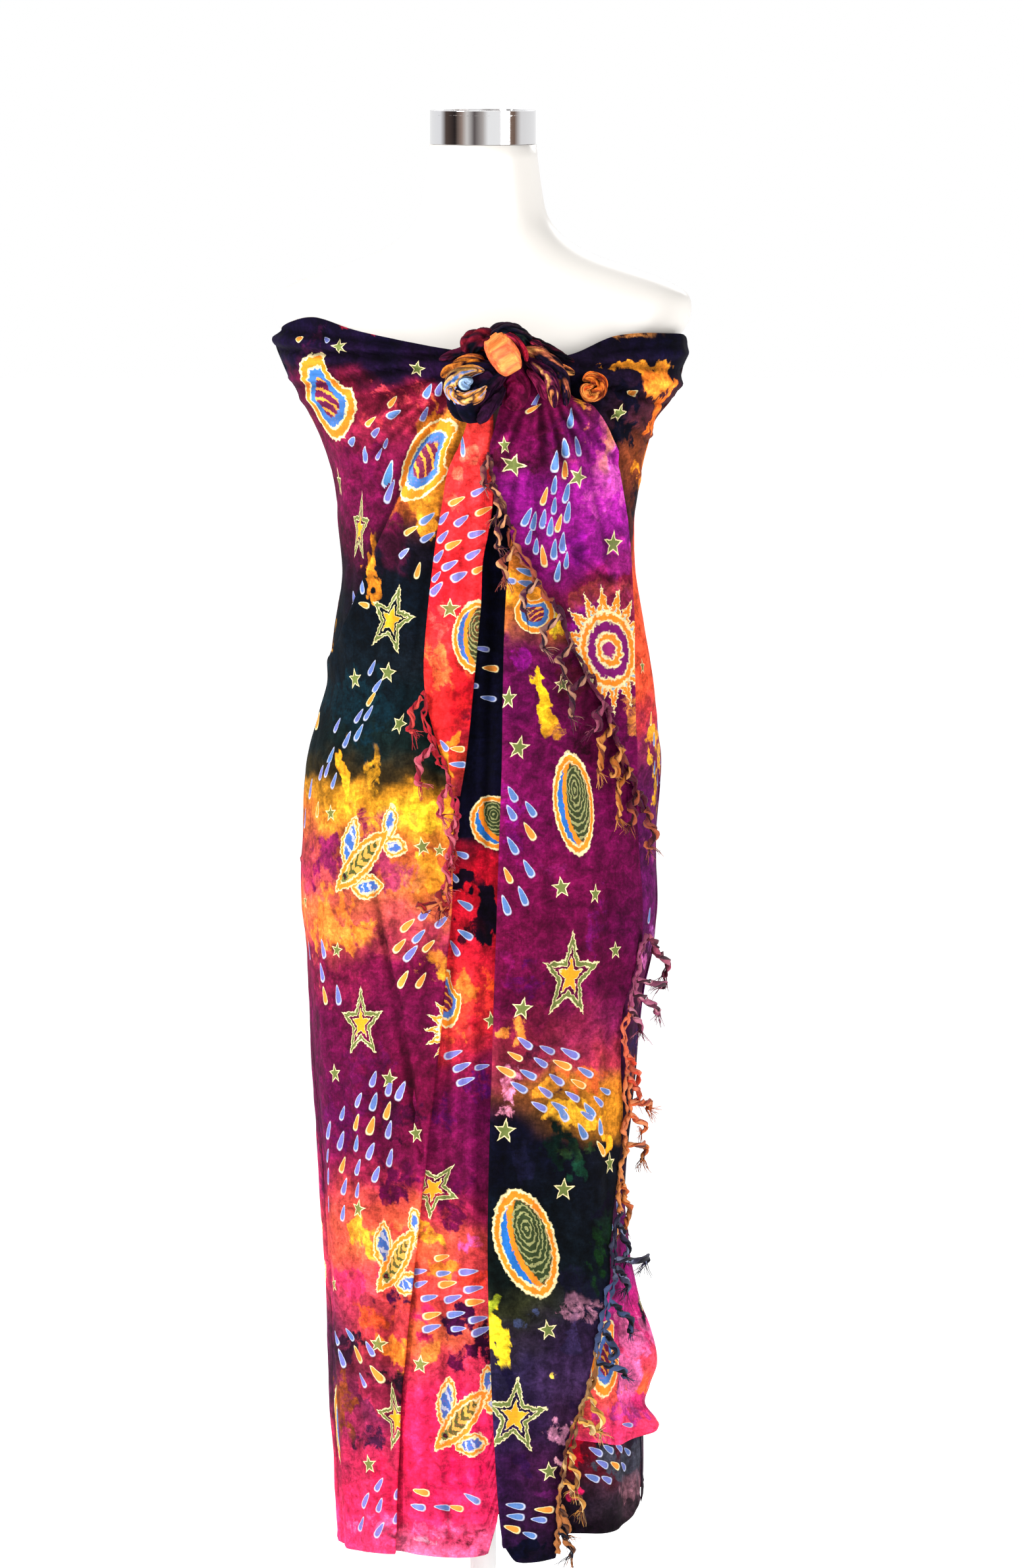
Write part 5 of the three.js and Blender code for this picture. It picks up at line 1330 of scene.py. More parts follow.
# ---------------------------------------------------------------------------------------------- middle
# The deep stretch between the two fronts hangs straight down from under the knot, with a fold at each side. It
# reaches up behind both tails.
MIDDLE_TOP = 1222
RIGHT_FOLD_EDGE = [
    (1200, 33), (1138, 27), (1074, 22), (1000, 20), (936, 19), (850, 16), (786, 14), (667, 10), (500, 6),
    (380, 9),
    (250, 16), (190, 23),
]
MIDDLE_HEM = [(-100, 206), (4, 205), (12, 232), (40, 262)]
MIDDLE_WRINKLES = [
    (-44, 800, -52, 560, 5, 1.6, False), (-30, 760, -34, 500, 4, -1.8, False),
    (-10, 700, -12, 420, 5, 1.8, False),
    (-58, 460, -62, 215, 5, 1.8, False), (-38, 420, -34, 210, 5, -1.8, False),
    (-14, 360, -8, 212, 5, 2.0, False),
    (-70, 240, -20, 226, 3, 1.8, False), (-60, 226, 0, 238, 3, 1.6, False),
    (-74, 216, -10, 213, 2.5, -1.4, False),
    (2, 330, 14, 250, 4, 1.6, False), (-6, 1100, -4, 900, 5, 1.6, False), (6, 1100, 4, 860, 4, -1.6, False),
]
MIDDLE_DYES = [
    (1135, "12122a", "12122a"), (1027, "101426", "121228"), (937, "12182a", "14122a"),
    (871, "161228", "161230"), (853, "a01c34", "3a1030"), (829, "d42238", "b01c34"),
    (763, "d82a40", "b02038"),
    (739, "e03c44", "c82c38"), (709, "f05a44", "d83c3c"), (679, "c83c44", "a02440"),
    (655, "8c2048", "7c1c4c"),
    (607, "76184c", "6c1450"), (559, "7c1c4c", "74184c"), (529, "c04450", "8c2050"),
    (499, "e0704c", "c0484c"),
    (451, "e0564c", "d84c58"), (415, "e8784c", "b83c58"), (385, "e04860", "d83c68"),
    (355, "e83464", "e43466"),
    (295, "e8305f", "e63468"), (241, "ee3c6c", "ea3a6e"), (199, "f27aa0", "f06a94"),
]
MIDDLE_PATCHES = [
    (5, 880, 13, 20, "3c82c8", 0.0), (-17, 829, 8, 12, "241028", 0.9), (5, 796, 11, 26, "1c1024", 0.95),
    (-8, 781, 12, 10, "4c1028", 0.7), (1, 841, 10, 12, "d42040", 0.7), (-20, 727, 12, 14, "f08440", 0.7),
    (1, 703, 12, 18, "c02c3c", 0.6), (-26, 685, 10, 12, "e07a3c", 0.5), (1, 733, 10, 12, "f0622f", 0.6),
    (-8, 631, 12, 20, "5c1460", 0.6), (-38, 607, 12, 20, "5c1258", 0.5), (-26, 553, 16, 12, "601048", 0.5),
    (-50, 505, 16, 12, "f0a43c", 0.7), (-26, 517, 10, 16, "7c1c50", 0.7), (-56, 547, 7, 18, "e07848", 0.6),
    (-8, 493, 12, 10, "e8609c", 0.6), (-44, 469, 18, 8, "f08a3c", 0.8), (1, 460, 12, 12, "e04a3c", 0.7),
    (-26, 427, 12, 16, "4c1444", 0.8), (-56, 433, 10, 10, "e03c6c", 0.6), (1, 403, 10, 18, "3c1034", 0.7),
    (-44, 397, 12, 10, "f0924c", 0.8), (-17, 391, 8, 12, "6c1848", 0.7), (-56, 409, 8, 8, "c83060", 0.6),
    (-26, 277, 30, 18, "d8245c", 0.5), (-44, 229, 24, 10, "f86a98", 0.6), (-8, 220, 16, 7, "8c3048", 0.5),
    (-50, 217, 16, 5, "f8b0c8", 0.5),
]
MIDDLE_PRINTS = [
    ("drop", 7, 1018, 5.4, 8.4, 84, 0.9), ("drop", -1, 1036, 4.2, 8.4, 80, 0.3),
    ("drop", -11, 1003, 4.2, 8.4, 80, 0.3), ("drop", 5, 991, 4.2, 8.4, 80, 0.2),
    ("shell", 11, 878, 26.4, 27.6, 30, 0), ("drop", -20, 849, 4.8, 8.4, 70, 0.2),
    ("drop", -16, 803, 5.4, 9.0, 60, 0.1), ("drop", -16, 776, 5.4, 9.0, 60, 0.1),
    ("drop", -26, 763, 4.8, 9.0, 30, 0.3), ("drop", -27, 829, 4.2, 7.8, 40, 0.2),
    ("paisley", -34, 719, 16.8, 30.0, 10, 0), ("small_star", 8, 697, 8.4, 9.6, 10, 0),
    ("star", -46, 542, 27.6, 32.4, -40, 0), ("small_star", -58, 380, 9.6, 10.2, -8, 0),
    ("fish", -16, 335, 36.0, 50.4, -20, 0), ("drop", -58, 262, 5.4, 9.6, 80, 0.9),
    ("drop", -61, 248, 5.4, 9.0, 82, 0.2), ("drop", -38, 248, 4.8, 9.0, 84, 0.1),
    ("drop", -25, 248, 4.8, 7.8, 78, 0.9), ("drop", -10, 257, 5.4, 9.6, 60, 0.1),
    *drops(-30, 439, 42, 40, -76, 67), *drops(-20, 653, 18, 20, -70, 68, warm=0.0),
]
right_fold_edge = curve(RIGHT_FOLD_EDGE)
middle_hem = curve(MIDDLE_HEM)
middle_grid = stretch(
    edge_angle(left_fold_edge, -18),
    lambda z: angle_of(right_fold_edge(z) - 14 + 30 * np.clip((z - 200) / 110, 0, 1), z),
    lambda angle, x: MIDDLE_TOP + 0 * x, lambda angle, x: middle_hem(x), LAYER["deep"],
    lambda x, z, across, angle: crease_rise(MIDDLE_WRINKLES, x, z), 380, 50,
)
middle = cloth_piece(
    "middle", middle_grid, MIDDLE_DYES, MIDDLE_PATCHES, MIDDLE_PRINTS, 21, rayon, "cloth_middle",
    ["cloth_middle"],
)

# ---------------------------------------------------------------------------------------------- right side
# The other half crosses the right bust and side. Low down it is short and hangs free in a flared flap.
FLAP_HEM = [(40, 318), (105, 306), (123, 302), (140, 308), (152, 318)]
# height and how far the flap stands off
FLAP_FLARE = [(470, 0), (430, 4), (405, 12), (372, 16), (350, 8), (334, 3), (318, 13), (300, 12)]
RIGHT_CREASES = [
    (78, 1297, 176, 1300, 6, 5, False), (82, 1290, 178, 1272, 6, 5, False),
    (86, 1280, 150, 1236, 6, 3, False),
]
RIGHT_WRINKLES = [
    (80, 1304, 170, 1314, 2.6, 1.5, False), (80, 1294, 184, 1286, 2.6, -1.5, False),
    (84, 1286, 176, 1262, 2.6, 1.6, False), (90, 1278, 150, 1220, 2.6, -1.4, False),
    (100, 1270, 140, 1190, 3.0, 1.5, False), (112, 1250, 134, 1160, 3.0, -1.3, False),
    (138, 1230, 142, 1120, 4.0, 1.3, False), (140, 1090, 150, 1000, 4.0, 1.1, False),
    (146, 900, 150, 720, 4.0, -1.1, False), (128, 700, 136, 520, 5.0, 1.4, False),
    (120, 480, 140, 320, 4.0, 1.8, False), (104, 460, 118, 310, 4.0, -1.6, False),
    (90, 430, 98, 312, 4.0, 1.6, False),
]
RIGHT_SIDE_DYES = [
    (1327, "1c1430", "14122c"), (1291, "241830", "1a1430"), (1255, "16142a", "5c2c38"),
    (1219, "16122a", "9a5430"), (1171, "1c1628", "5c3028"), (1135, "8c3c38", "3a2030"),
    (1111, "f26a50", "d8603c"), (1003, "f46c4e", "ee6444"), (979, "e0503f", "c84850"),
    (961, "7c2454", "94385c"), (907, "64185c", "6a205c"), (859, "7a2470", "6c1c60"),
    (775, "681858", "6c1c60"),
    (727, "3c1438", "681c50"), (679, "2c1230", "4c1844"), (607, "24142c", "341434"),
    (547, "201228", "301430"),
    (499, "1c1028", "6a1c60"), (457, "24122c", "a02878"), (421, "b0449c", "d83c84"),
    (385, "d8488c", "f05a6c"),
    (349, "e8407c", "f47048"), (307, "f04c84", "f04c74"), (271, "e83c6c", "e83c6c"),
]
RIGHT_SIDE_PATCHES = [
    (150, 1277, 12, 12, "f08c38", 0.8), (160, 1303, 12, 12, "1c1430", 0.0),
    (118, 1324, 36, 5, "c88c54", 0.5), (166, 1321, 18, 8, "121028", 0.8), (130, 1267, 16, 14, "141028", 0.8),
    (121, 1237, 12, 24, "121228", 0.7), (154, 1243, 7, 22, "f0802f", 0.8), (145, 1201, 7, 14, "d88c2c", 0.7),
    (136, 1291, 24, 6, "f2a43c", 0.8), (151, 1213, 5, 24, "2c1620", 0.6), (145, 1165, 8, 18, "1c1428", 0.6),
    (151, 955, 7, 10, "f0a43c", 0.9), (157, 931, 5, 18, "e8b040", 0.7), (160, 901, 5, 14, "c8942c", 0.6),
    (151, 853, 12, 12, "a84488", 0.5), (145, 745, 10, 8, "d878b8", 0.7), (154, 763, 6, 18, "b060a8", 0.5),
    (139, 709, 8, 8, "b85c7c", 0.6), (130, 643, 8, 12, "d87044", 0.6), (133, 667, 7, 10, "3c1c54", 0.6),
    (136, 385, 8, 36, "f07cb0", 0.7), (151, 421, 6, 36, "f04890", 0.8), (159, 373, 5, 26, "f47040", 0.9),
    (130, 331, 22, 12, "c84898", 0.6), (124, 361, 12, 12, "3c1440", 0.5), (151, 337, 12, 8, "f03c6c", 0.7),
    (142, 433, 5, 24, "241030", 0.7),
]
RIGHT_SIDE_PRINTS = [
    ("small_star", 121, 1250, 9.0, 9.6, -10, 0), ("drop", 134, 1268, 4.8, 6.6, 80, 0.9),
    ("small_star", 91, 1315, 0.1, 0.1, 0, 0), ("drop", 151, 968, 3.6, 7.2, 0, 0.9),
    ("drop", 160, 959, 3.6, 7.2, 6, 0.1), ("drop", 154, 949, 3.6, 7.2, 4, 0.1),
    ("drop", 161, 937, 3.6, 7.2, 2, 0.9), ("drop", 155, 923, 3.6, 7.2, 0, 0.1),
    ("drop", 160, 911, 3.6, 7.2, 0, 0.2), ("small_star", 160, 820, 4.2, 8.4, 0, 0),
    ("drop", 151, 787, 4.2, 8.4, 0, 0.2), ("drop", 154, 739, 4.2, 8.4, 20, 0.1),
    ("small_star", 137, 427, 4.8, 9.6, 0, 0), ("paisley", 110, 385, 21.6, 39.6, -10, 0),
    ("drop", 130, 319, 3.6, 9.6, 80, 0.3), ("drop", 115, 505, 4.2, 7.2, 0, 0.1),
    ("drop", 124, 517, 4.2, 7.2, 10, 0.2), ("drop", 123, 499, 4.2, 7.2, 0, 0.9),
    ("small_star", 143, 1016, 4.2, 8.4, 0, 0),
]
RIGHT_WRINKLES += gathers(66, 1292, -66, 16, 15, 14, 96, 2.5, 5)
flap_hem = curve(FLAP_HEM)
flap_flare = curve(FLAP_FLARE)


def side_lift(x, z, across, angle):
    """Its creases; it comes down to meet the back flush, except low down, where the flap stands off."""
    flush = -LAYER["side"] * smooth((angle - RIGHT_SEAM + 14) / 14) * smooth((z - LOWER_TOP - 20) / 70)
    flare = flap_flare(z) * smooth((angle - 58) / 22)
    return crease_rise(RIGHT_CREASES, x, z) + crease_rise(RIGHT_WRINKLES, x, z) + flush + flare


side_grid = stretch(
    edge_angle(right_fold_edge, 16), lambda z: RIGHT_SEAM + 0 * z, lambda angle, x: top_edge(wrapped(angle)),
    lambda angle, x: flap_hem(x), LAYER["side"], side_lift, 440, 92,
)
side = cloth_piece(
    "right_side", side_grid, RIGHT_SIDE_DYES, RIGHT_SIDE_PATCHES, RIGHT_SIDE_PRINTS, 25, rayon,
    "cloth_right_side",
    ["cloth_right_side"],
)

# ---------------------------------------------------------------------------------------------- right front
# The long right front hangs from the knot. Its left edge is folded under, and its right edge is the cloth's own
# fringed end, so it has no hem there.
RIGHT_FRINGED_EDGE = [
    (1200, 92), (1100, 116), (1000, 128), (900, 134), (769, 139), (726, 128), (700, 121), (657, 120),
    (605, 122),
    (548, 117), (483, 110), (456, 109), (418, 101), (355, 90), (310, 76), (265, 69), (190, 63),
]
RIGHT_FRONT_HEM = [(18, 216), (30, 200), (70, 203)]
RIGHT_FRONT_WRINKLES = [
    (23, 974, 75, 940, 1.8, 1.4, False), (75, 940, 130, 905, 2.0, 1.2, False),
    (62, 506, 110, 479, 1.8, 1.4, False), (14, 530, 62, 506, 2.0, 1.2, False),
    (34, 900, 30, 700, 6.0, 1.2, False), (60, 860, 64, 640, 6.0, -1.4, False),
    (92, 860, 96, 640, 5.0, 1.5, False),
    (110, 800, 106, 560, 4.0, -1.3, False), (26, 640, 20, 420, 5.0, 1.3, False),
    (48, 560, 44, 330, 6.0, -1.4, False),
    (78, 620, 84, 430, 5.0, 1.4, False), (66, 420, 52, 240, 5.0, 1.6, False),
    (34, 380, 34, 215, 5.0, 1.6, False),
    (88, 420, 66, 280, 4.0, -1.5, False), (24, 320, 40, 212, 4.0, -1.4, False),
]
RIGHT_FRONT_DYES = [
    (1153, "3a1430", "7a1850"), (1117, "b87434", "7a2048"), (1069, "c87c38", "a04a44"),
    (1036, "6a1a50", "6a1844"), (991, "701656", "5c1438"), (943, "741654", "64143f"),
    (883, "7a1658", "6a144a"),
    (823, "7c1650", "701650"), (763, "761648", "6a1450"), (715, "6c1444", "721850"),
    (685, "8c2c44", "84285a"),
    (655, "7a3444", "a83c50"), (631, "4a2030", "d88c38"), (607, "141228", "c8882c"),
    (571, "101226", "181a24"),
    (511, "101a22", "141a24"), (463, "14201e", "16202a"), (433, "3a3c28", "1c1c34"),
    (403, "3a3040", "34243f"),
    (367, "2e2846", "4a3458"), (319, "3a2650", "3c2440"), (283, "3a1c44", "441c40"),
    (247, "34183f", "3c1a3a"),
    (199, "14122a", "18142c"),
]
RIGHT_FRONT_PATCHES = [
    (40, 1084, 24, 18, "f0a43c", 0.85), (67, 1063, 12, 12, "f2c43c", 0.8),
    (55, 1111, 18, 12, "a04c6c", 0.5), (47, 1000, 6, 20, "f4c430", 0.95), (51, 976, 8, 14, "e8b030", 0.85),
    (61, 961, 10, 7, "c88c34", 0.6), (34, 1027, 12, 12, "8c1c80", 0.6), (76, 1009, 12, 24, "5c1c34", 0.6),
    (28, 877, 10, 30, "8c1a78", 0.5), (64, 829, 18, 12, "8c2468", 0.4), (22, 763, 8, 36, "8a1c60", 0.5),
    (94, 949, 12, 18, "4a1030", 0.5), (103, 787, 10, 30, "7c1c6c", 0.5), (40, 739, 16, 24, "661060", 0.4),
    (25, 691, 13, 12, "e08c44", 0.7), (40, 673, 12, 10, "5c2038", 0.6), (19, 643, 8, 18, "e890b0", 0.6),
    (22, 619, 8, 12, "f0a0b8", 0.5), (58, 631, 16, 8, "f0a43c", 0.85), (88, 643, 18, 18, "d8703c", 0.7),
    (76, 607, 20, 10, "f2b43c", 0.85), (67, 631, 7, 12, "3c1c34", 0.6),
    (109, 577, 6, 30, "f0a830", 0.95), (88, 571, 14, 12, "3a5030", 0.5), (64, 583, 7, 20, "0c2420", 0.7),
    (82, 553, 12, 16, "1c4434", 0.6), (40, 571, 6, 24, "1c1c34", 0.7), (106, 523, 10, 24, "180f2c", 0.6),
    (103, 487, 7, 30, "1c3c20", 0.6), (76, 451, 18, 18, "1c1c30", 0.6), (17, 409, 10, 23, "f2d038", 0.95),
    (11, 436, 6, 12, "a8b038", 0.7),
    (82, 397, 8, 18, "44365c", 0.6), (70, 367, 8, 6, "f0d060", 0.7),
    (70, 319, 12, 8, "c88ca8", 0.6), (34, 289, 8, 12, "3a1848", 0.6),
    (70, 295, 12, 6, "e0a8b8", 0.5), (88, 337, 10, 10, "301c3c", 0.6), (22, 367, 6, 12, "241c40", 0.7),
    (58, 265, 16, 7, "5c2058", 0.6), (76, 277, 6, 12, "f0b8a8", 0.6), (40, 217, 30, 11, "101028", 0.8),
    (82, 427, 18, 10, "a8788c", 0.5), (40, 421, 12, 7, "505878", 0.6),
]
RIGHT_FRONT_PRINTS = [
    ("drop", 37, 1107, 5.4, 9.0, 70, 0.1), ("drop", 38, 1096, 5.4, 9.0, 75, 0.1),
    ("drop", 56, 1100, 4.8, 9.0, 0, 0.1), ("drop", 22, 1099, 4.8, 8.4, 80, 0.2),
    ("paisley", 45, 1070, 21.6, 20.4, 60, 0), ("small_star", 23, 992, 8.4, 12.0, 0, 0),
    ("small_star", 70, 1004, 7.8, 9.6, 8, 0), ("small_star", 32, 947, 10.8, 12.6, -8, 0),
    ("shell", 80, 895, 22.2, 50.4, 10, 0), ("drop", 26, 905, 5.4, 9.0, 30, 0.1),
    ("drop", 42, 891, 5.4, 9.6, 34, 0.1), ("drop", 25, 888, 5.4, 9.0, 30, 0.2),
    ("drop", 41, 871, 5.4, 10.8, 32, 0.9), ("drop", 26, 858, 5.4, 10.2, 30, 0.1),
    ("drop", 40, 837, 5.4, 10.2, 28, 0.1), ("drop", 22, 831, 4.8, 9.0, 24, 0.9),
    ("drop", 20, 804, 5.4, 10.8, 18, 0.1), ("drop", 35, 812, 5.4, 10.8, 22, 0.1),
    ("small_star", 69, 819, 9.6, 11.4, 6, 0), ("small_star", 98, 812, 6.6, 10.8, -4, 0),
    ("small_star", 116, 759, 7.2, 9.6, 4, 0), ("star", 77, 737, 30.0, 46.8, -2, 0),
    ("small_star", 34, 709, 10.8, 12.0, -8, 0), ("small_star", 19, 597, 10.8, 13.2, -6, 0),
    ("small_star", 71, 541, 10.8, 12.0, -4, 0), ("small_star", 109, 562, 7.2, 12.0, 4, 0),
    ("shell", 38, 493, 33.6, 54.0, 12, 0), ("small_star", 57, 413, 10.2, 10.8, 8, 0),
    ("star", 28, 334, 32.4, 40.8, -8, 0), ("small_star", 58, 283, 10.8, 10.2, 4, 0),
    ("drop", 70, 612, 6.0, 10.2, 30, 0.1), ("drop", 92, 613, 6.0, 9.6, 34, 0.1),
    ("drop", 86, 594, 6.0, 9.6, 28, 0.1), ("drop", 101, 597, 4.8, 9.0, 10, 0.1),
    ("drop", 101, 577, 5.4, 9.6, 34, 0.9), ("drop", 29, 252, 5.4, 9.6, 80, 0.1),
    ("drop", 54, 248, 5.4, 10.2, 86, 0.9), ("drop", 29, 242, 5.4, 9.0, 82, 0.1),
    ("drop", 49, 239, 4.8, 7.8, 84, 0.2), ("drop", 26, 231, 5.4, 8.4, 70, 0.9),
    ("drop", 41, 225, 4.8, 7.2, 70, 0.1),
    *drops(62, 643, 30, 62, 58, 69),
]
right_fringed_edge = curve(RIGHT_FRINGED_EDGE)
right_front_hem = curve(RIGHT_FRONT_HEM)


def right_lift(x, z):
    return rolled(x - right_fold_edge(z))


right_grid = stretch(
    edge_angle(right_fold_edge), edge_angle(right_fringed_edge), lambda angle, x: 1150 + 0 * x,
    lambda angle, x: right_front_hem(x), LAYER["front"],
    lambda x, z, across, angle: right_lift(x, z) + crease_rise(RIGHT_FRONT_WRINKLES, x, z), 420, 76,
)
right_front = cloth_piece(
    "right_front", rolled_edge(right_grid, -1, 2.0, 14), RIGHT_FRONT_DYES, RIGHT_FRONT_PATCHES,
    RIGHT_FRONT_PRINTS, 29,
    rayon, "cloth_right_front", ["cloth_right_front"],
)

# ---------------------------------------------------------------------------------------------- left tail
# The red end of one corner hangs from under the knot in a soft tube-like fold and narrows to a point.
TAIL_LEFT_OUTER = [
    (1262, -8), (1229, -18), (1199, -30), (1169, -35), (1132, -41), (1064, -49), (1022, -52), (991, -50),
    (959, -43),
    (927, -33), (900, -29),
]
TAIL_LEFT_INNER = [(1262, 8), (1172, 8), (1117, -1), (1075, -3), (995, -10), (938, -16), (900, -22)]
TAIL_LEFT_WRINKLES = [
    (-12, 1240, -32, 1110, 3.5, 1.6, False), (-6, 1230, -20, 1100, 3.0, -1.4, False),
    (0, 1210, -8, 1090, 3.5, 1.5, False),
    (-24, 1100, -36, 980, 4.0, 1.5, False), (-14, 1090, -26, 960, 3.4, -1.4, False),
    (-34, 1210, -8, 1222, 2.2, 1.2, False),
]
TAIL_LEFT_DYES = [
    (1267, "f0584a", "e84a44"), (1207, "ee4848", "f0504c"), (1159, "ec3a40", "f04448"),
    (1087, "e82c3a", "ee3c44"), (1027, "ee4440", "e03038"), (979, "e83a3c", "d82c34"),
    (955, "d03438", "a82838"), (937, "e0502f", "c84434"), (907, "c86438", "8c2c38"),
]
TAIL_LEFT_PATCHES = [
    (-26, 1171, 12, 18, "f46c58", 0.5), (-8, 1207, 8, 16, "f47c64", 0.5), (-35, 1069, 11, 16, "f4645c", 0.4),
    (-41, 1021, 13, 18, "f47c4c", 0.6), (-20, 1003, 10, 24, "c82030", 0.6), (-11, 1051, 6, 24, "a82c3c", 0.6),
    (-23, 955, 8, 12, "f08a34", 0.8), (-26, 931, 6, 12, "e8a038", 0.8), (-17, 976, 6, 12, "781c34", 0.5),
]
TAIL_LEFT_PRINTS = [
    ("drop", -3, 1181, 4.8, 8.4, -60, 0.5), ("drop", -22, 1172, 4.8, 9.0, -62, 0.9),
    ("drop", 1, 1163, 4.8, 9.0, -64, 0.9), ("drop", -18, 1154, 5.4, 8.4, -50, 0.5),
    ("drop", -5, 1142, 5.4, 9.0, -72, 0.4), ("drop", -25, 1132, 5.4, 9.0, -62, 0.9),
    ("drop", -8, 1123, 5.4, 9.0, -58, 0.5), ("drop", -34, 1156, 4.8, 8.4, -40, 0.5),
    ("drop", -34, 1139, 4.8, 8.4, -40, 0.6), ("drop", -38, 1121, 4.8, 8.4, -40, 0.5),
    ("drop", -28, 1113, 5.4, 9.6, -60, 0.4), ("drop", -20, 1103, 6.6, 9.0, -62, 0.3),
    ("drop", -3, 1109, 4.8, 7.8, -62, 0.9), ("drop", -40, 1091, 6.0, 9.6, -44, 0.5),
    ("drop", -40, 1102, 4.2, 7.2, -40, 0.5), ("small_star", -28, 1073, 10.8, 10.8, 0, 0),
    ("shell", -7, 1048, 22.8, 34.8, -6, 0), ("drop", -22, 932, 4.8, 8.4, 84, 0.1),
    ("drop", -22, 946, 4.8, 7.2, 84, 0.9), ("drop", -34, 949, 4.2, 7.2, 40, 0.2),
    ("drop", -17, 1222, 3.6, 10.8, 0, 0.1),
]
tail_left_grid = stretch(
    edge_angle(curve(TAIL_LEFT_OUTER)), edge_angle(curve(TAIL_LEFT_INNER)), lambda angle, x: 1262 + 0 * x,
    lambda angle, x: 903 + 0 * x, LAYER["tail"],
    lambda x, z, across, angle: (
        left_lift(x, z) + 4 * np.sin(np.pi * across) + crease_rise(TAIL_LEFT_WRINKLES, x, z)
    ),
    160, 32,
)
left_tail = cloth_piece(
    "left_tail", rolled_edge(tail_left_grid, 1, 1.6, 6), TAIL_LEFT_DYES, TAIL_LEFT_PATCHES,
    TAIL_LEFT_PRINTS, 33, rayon,
    "tail_left", ["tail_left"], ridge=False,
)

# ---------------------------------------------------------------------------------------------- right tail
# The violet end of the other corner falls over the right front. Its inner edge is the fringed end of the cloth.
TAIL_RIGHT_INNER = [
    (1296, 34), (1262, 17), (1237, 10), (1216, 6), (1183, 10), (1168, 19), (1130, 27), (1105, 43), (1072, 63),
    (1054, 70), (1015, 88), (985, 103), (963, 109), (927, 123), (882, 137),
]
TAIL_RIGHT_OUTER = [
    (1296, 58), (1267, 76), (1258, 94), (1225, 111), (1186, 117), (1149, 122), (1093, 126), (1036, 128),
    (980, 129),
    (949, 131), (850, 133),
]
OVER_CREASES = [
    (50, 1262, 44, 1150, 7, -1.2, False), (66, 1262, 92, 1130, 8, 3, False),
    (91, 1145, 57, 1106, 5, 2.5, False),
    (78, 1126, 108, 1098, 5, -1.2, False),
]
OVER_WRINKLES = [
    (91, 1145, 72, 1129, 2.0, 2.0, False), (72, 1129, 57, 1106, 2.0, 2.0, False),
    (73, 1126, 106, 1099, 2.0, -1.6, False),
    (31, 1225, 52, 1234, 1.8, 1.8, False), (52, 1234, 65, 1243, 1.8, 1.8, False),
    (70, 1280, 96, 1226, 2.6, 1.8, False), (62, 1276, 84, 1200, 2.6, -1.7, False),
    (54, 1272, 66, 1180, 2.8, 1.6, False),
    (44, 1274, 34, 1180, 3.0, 1.6, False), (98, 1240, 120, 1120, 3.4, 1.6, False),
    (90, 1210, 108, 1110, 3.2, -1.4, False),
    (112, 1110, 122, 980, 4.0, 1.4, False), (92, 1090, 112, 1000, 3.6, -1.2, False),
    (126, 1060, 132, 940, 3.4, 1.2, False),
    (24, 1240, 14, 1196, 2.6, 1.6, False),
]
TAIL_RIGHT_DYES = [
    (1303, "7a1848", "8c3c2c"), (1267, "7c1850", "6c2838"), (1237, "7a1656", "84207c"),
    (1207, "741850", "9c2a8c"), (1171, "8a1c7c", "a8309c"), (1129, "861c70", "96248c"),
    (1093, "6c1c48", "8c2448"), (1063, "701a50", "8c3050"), (1021, "6c1648", "7c1c58"),
    (967, "6a1650", "701650"), (877, "701654", "701650"),
]
TAIL_RIGHT_PATCHES = [
    (46, 1255, 26, 30, "781850", 0.6), (40, 1207, 22, 16, "5c1c3c", 0.5), (77, 1273, 6, 20, "f0a844", 0.9),
    (75, 1291, 8, 12, "e8843c", 0.8), (85, 1255, 6, 20, "d87c6c", 0.6), (103, 1243, 10, 36, "b85488", 0.6),
    (100, 1261, 7, 18, "d88c5c", 0.7), (109, 1231, 5, 24, "e09c5c", 0.7), (112, 1207, 11, 26, "c85cb0", 0.5),
    (97, 1180, 13, 18, "b84ca0", 0.5), (115, 1189, 12, 16, "d060b8", 0.4), (70, 1207, 16, 26, "8c3068", 0.4),
    (73, 1129, 16, 12, "8c1c88", 0.6), (106, 1105, 18, 14, "7c1c54", 0.5), (118, 1117, 12, 18, "ac3494", 0.5),
    (91, 1087, 26, 10, "8c3c40", 0.7), (118, 1084, 16, 8, "b84c5c", 0.6), (70, 1069, 10, 18, "6c1c40", 0.7),
    (16, 1207, 8, 16, "5c1838", 0.6), (19, 1228, 5, 16, "8c2c5c", 0.5), (100, 1051, 30, 30, "8c2080", 0.5),
    (130, 979, 8, 18, "d88c4c", 0.5), (124, 1027, 12, 36, "8a247c", 0.4),
]
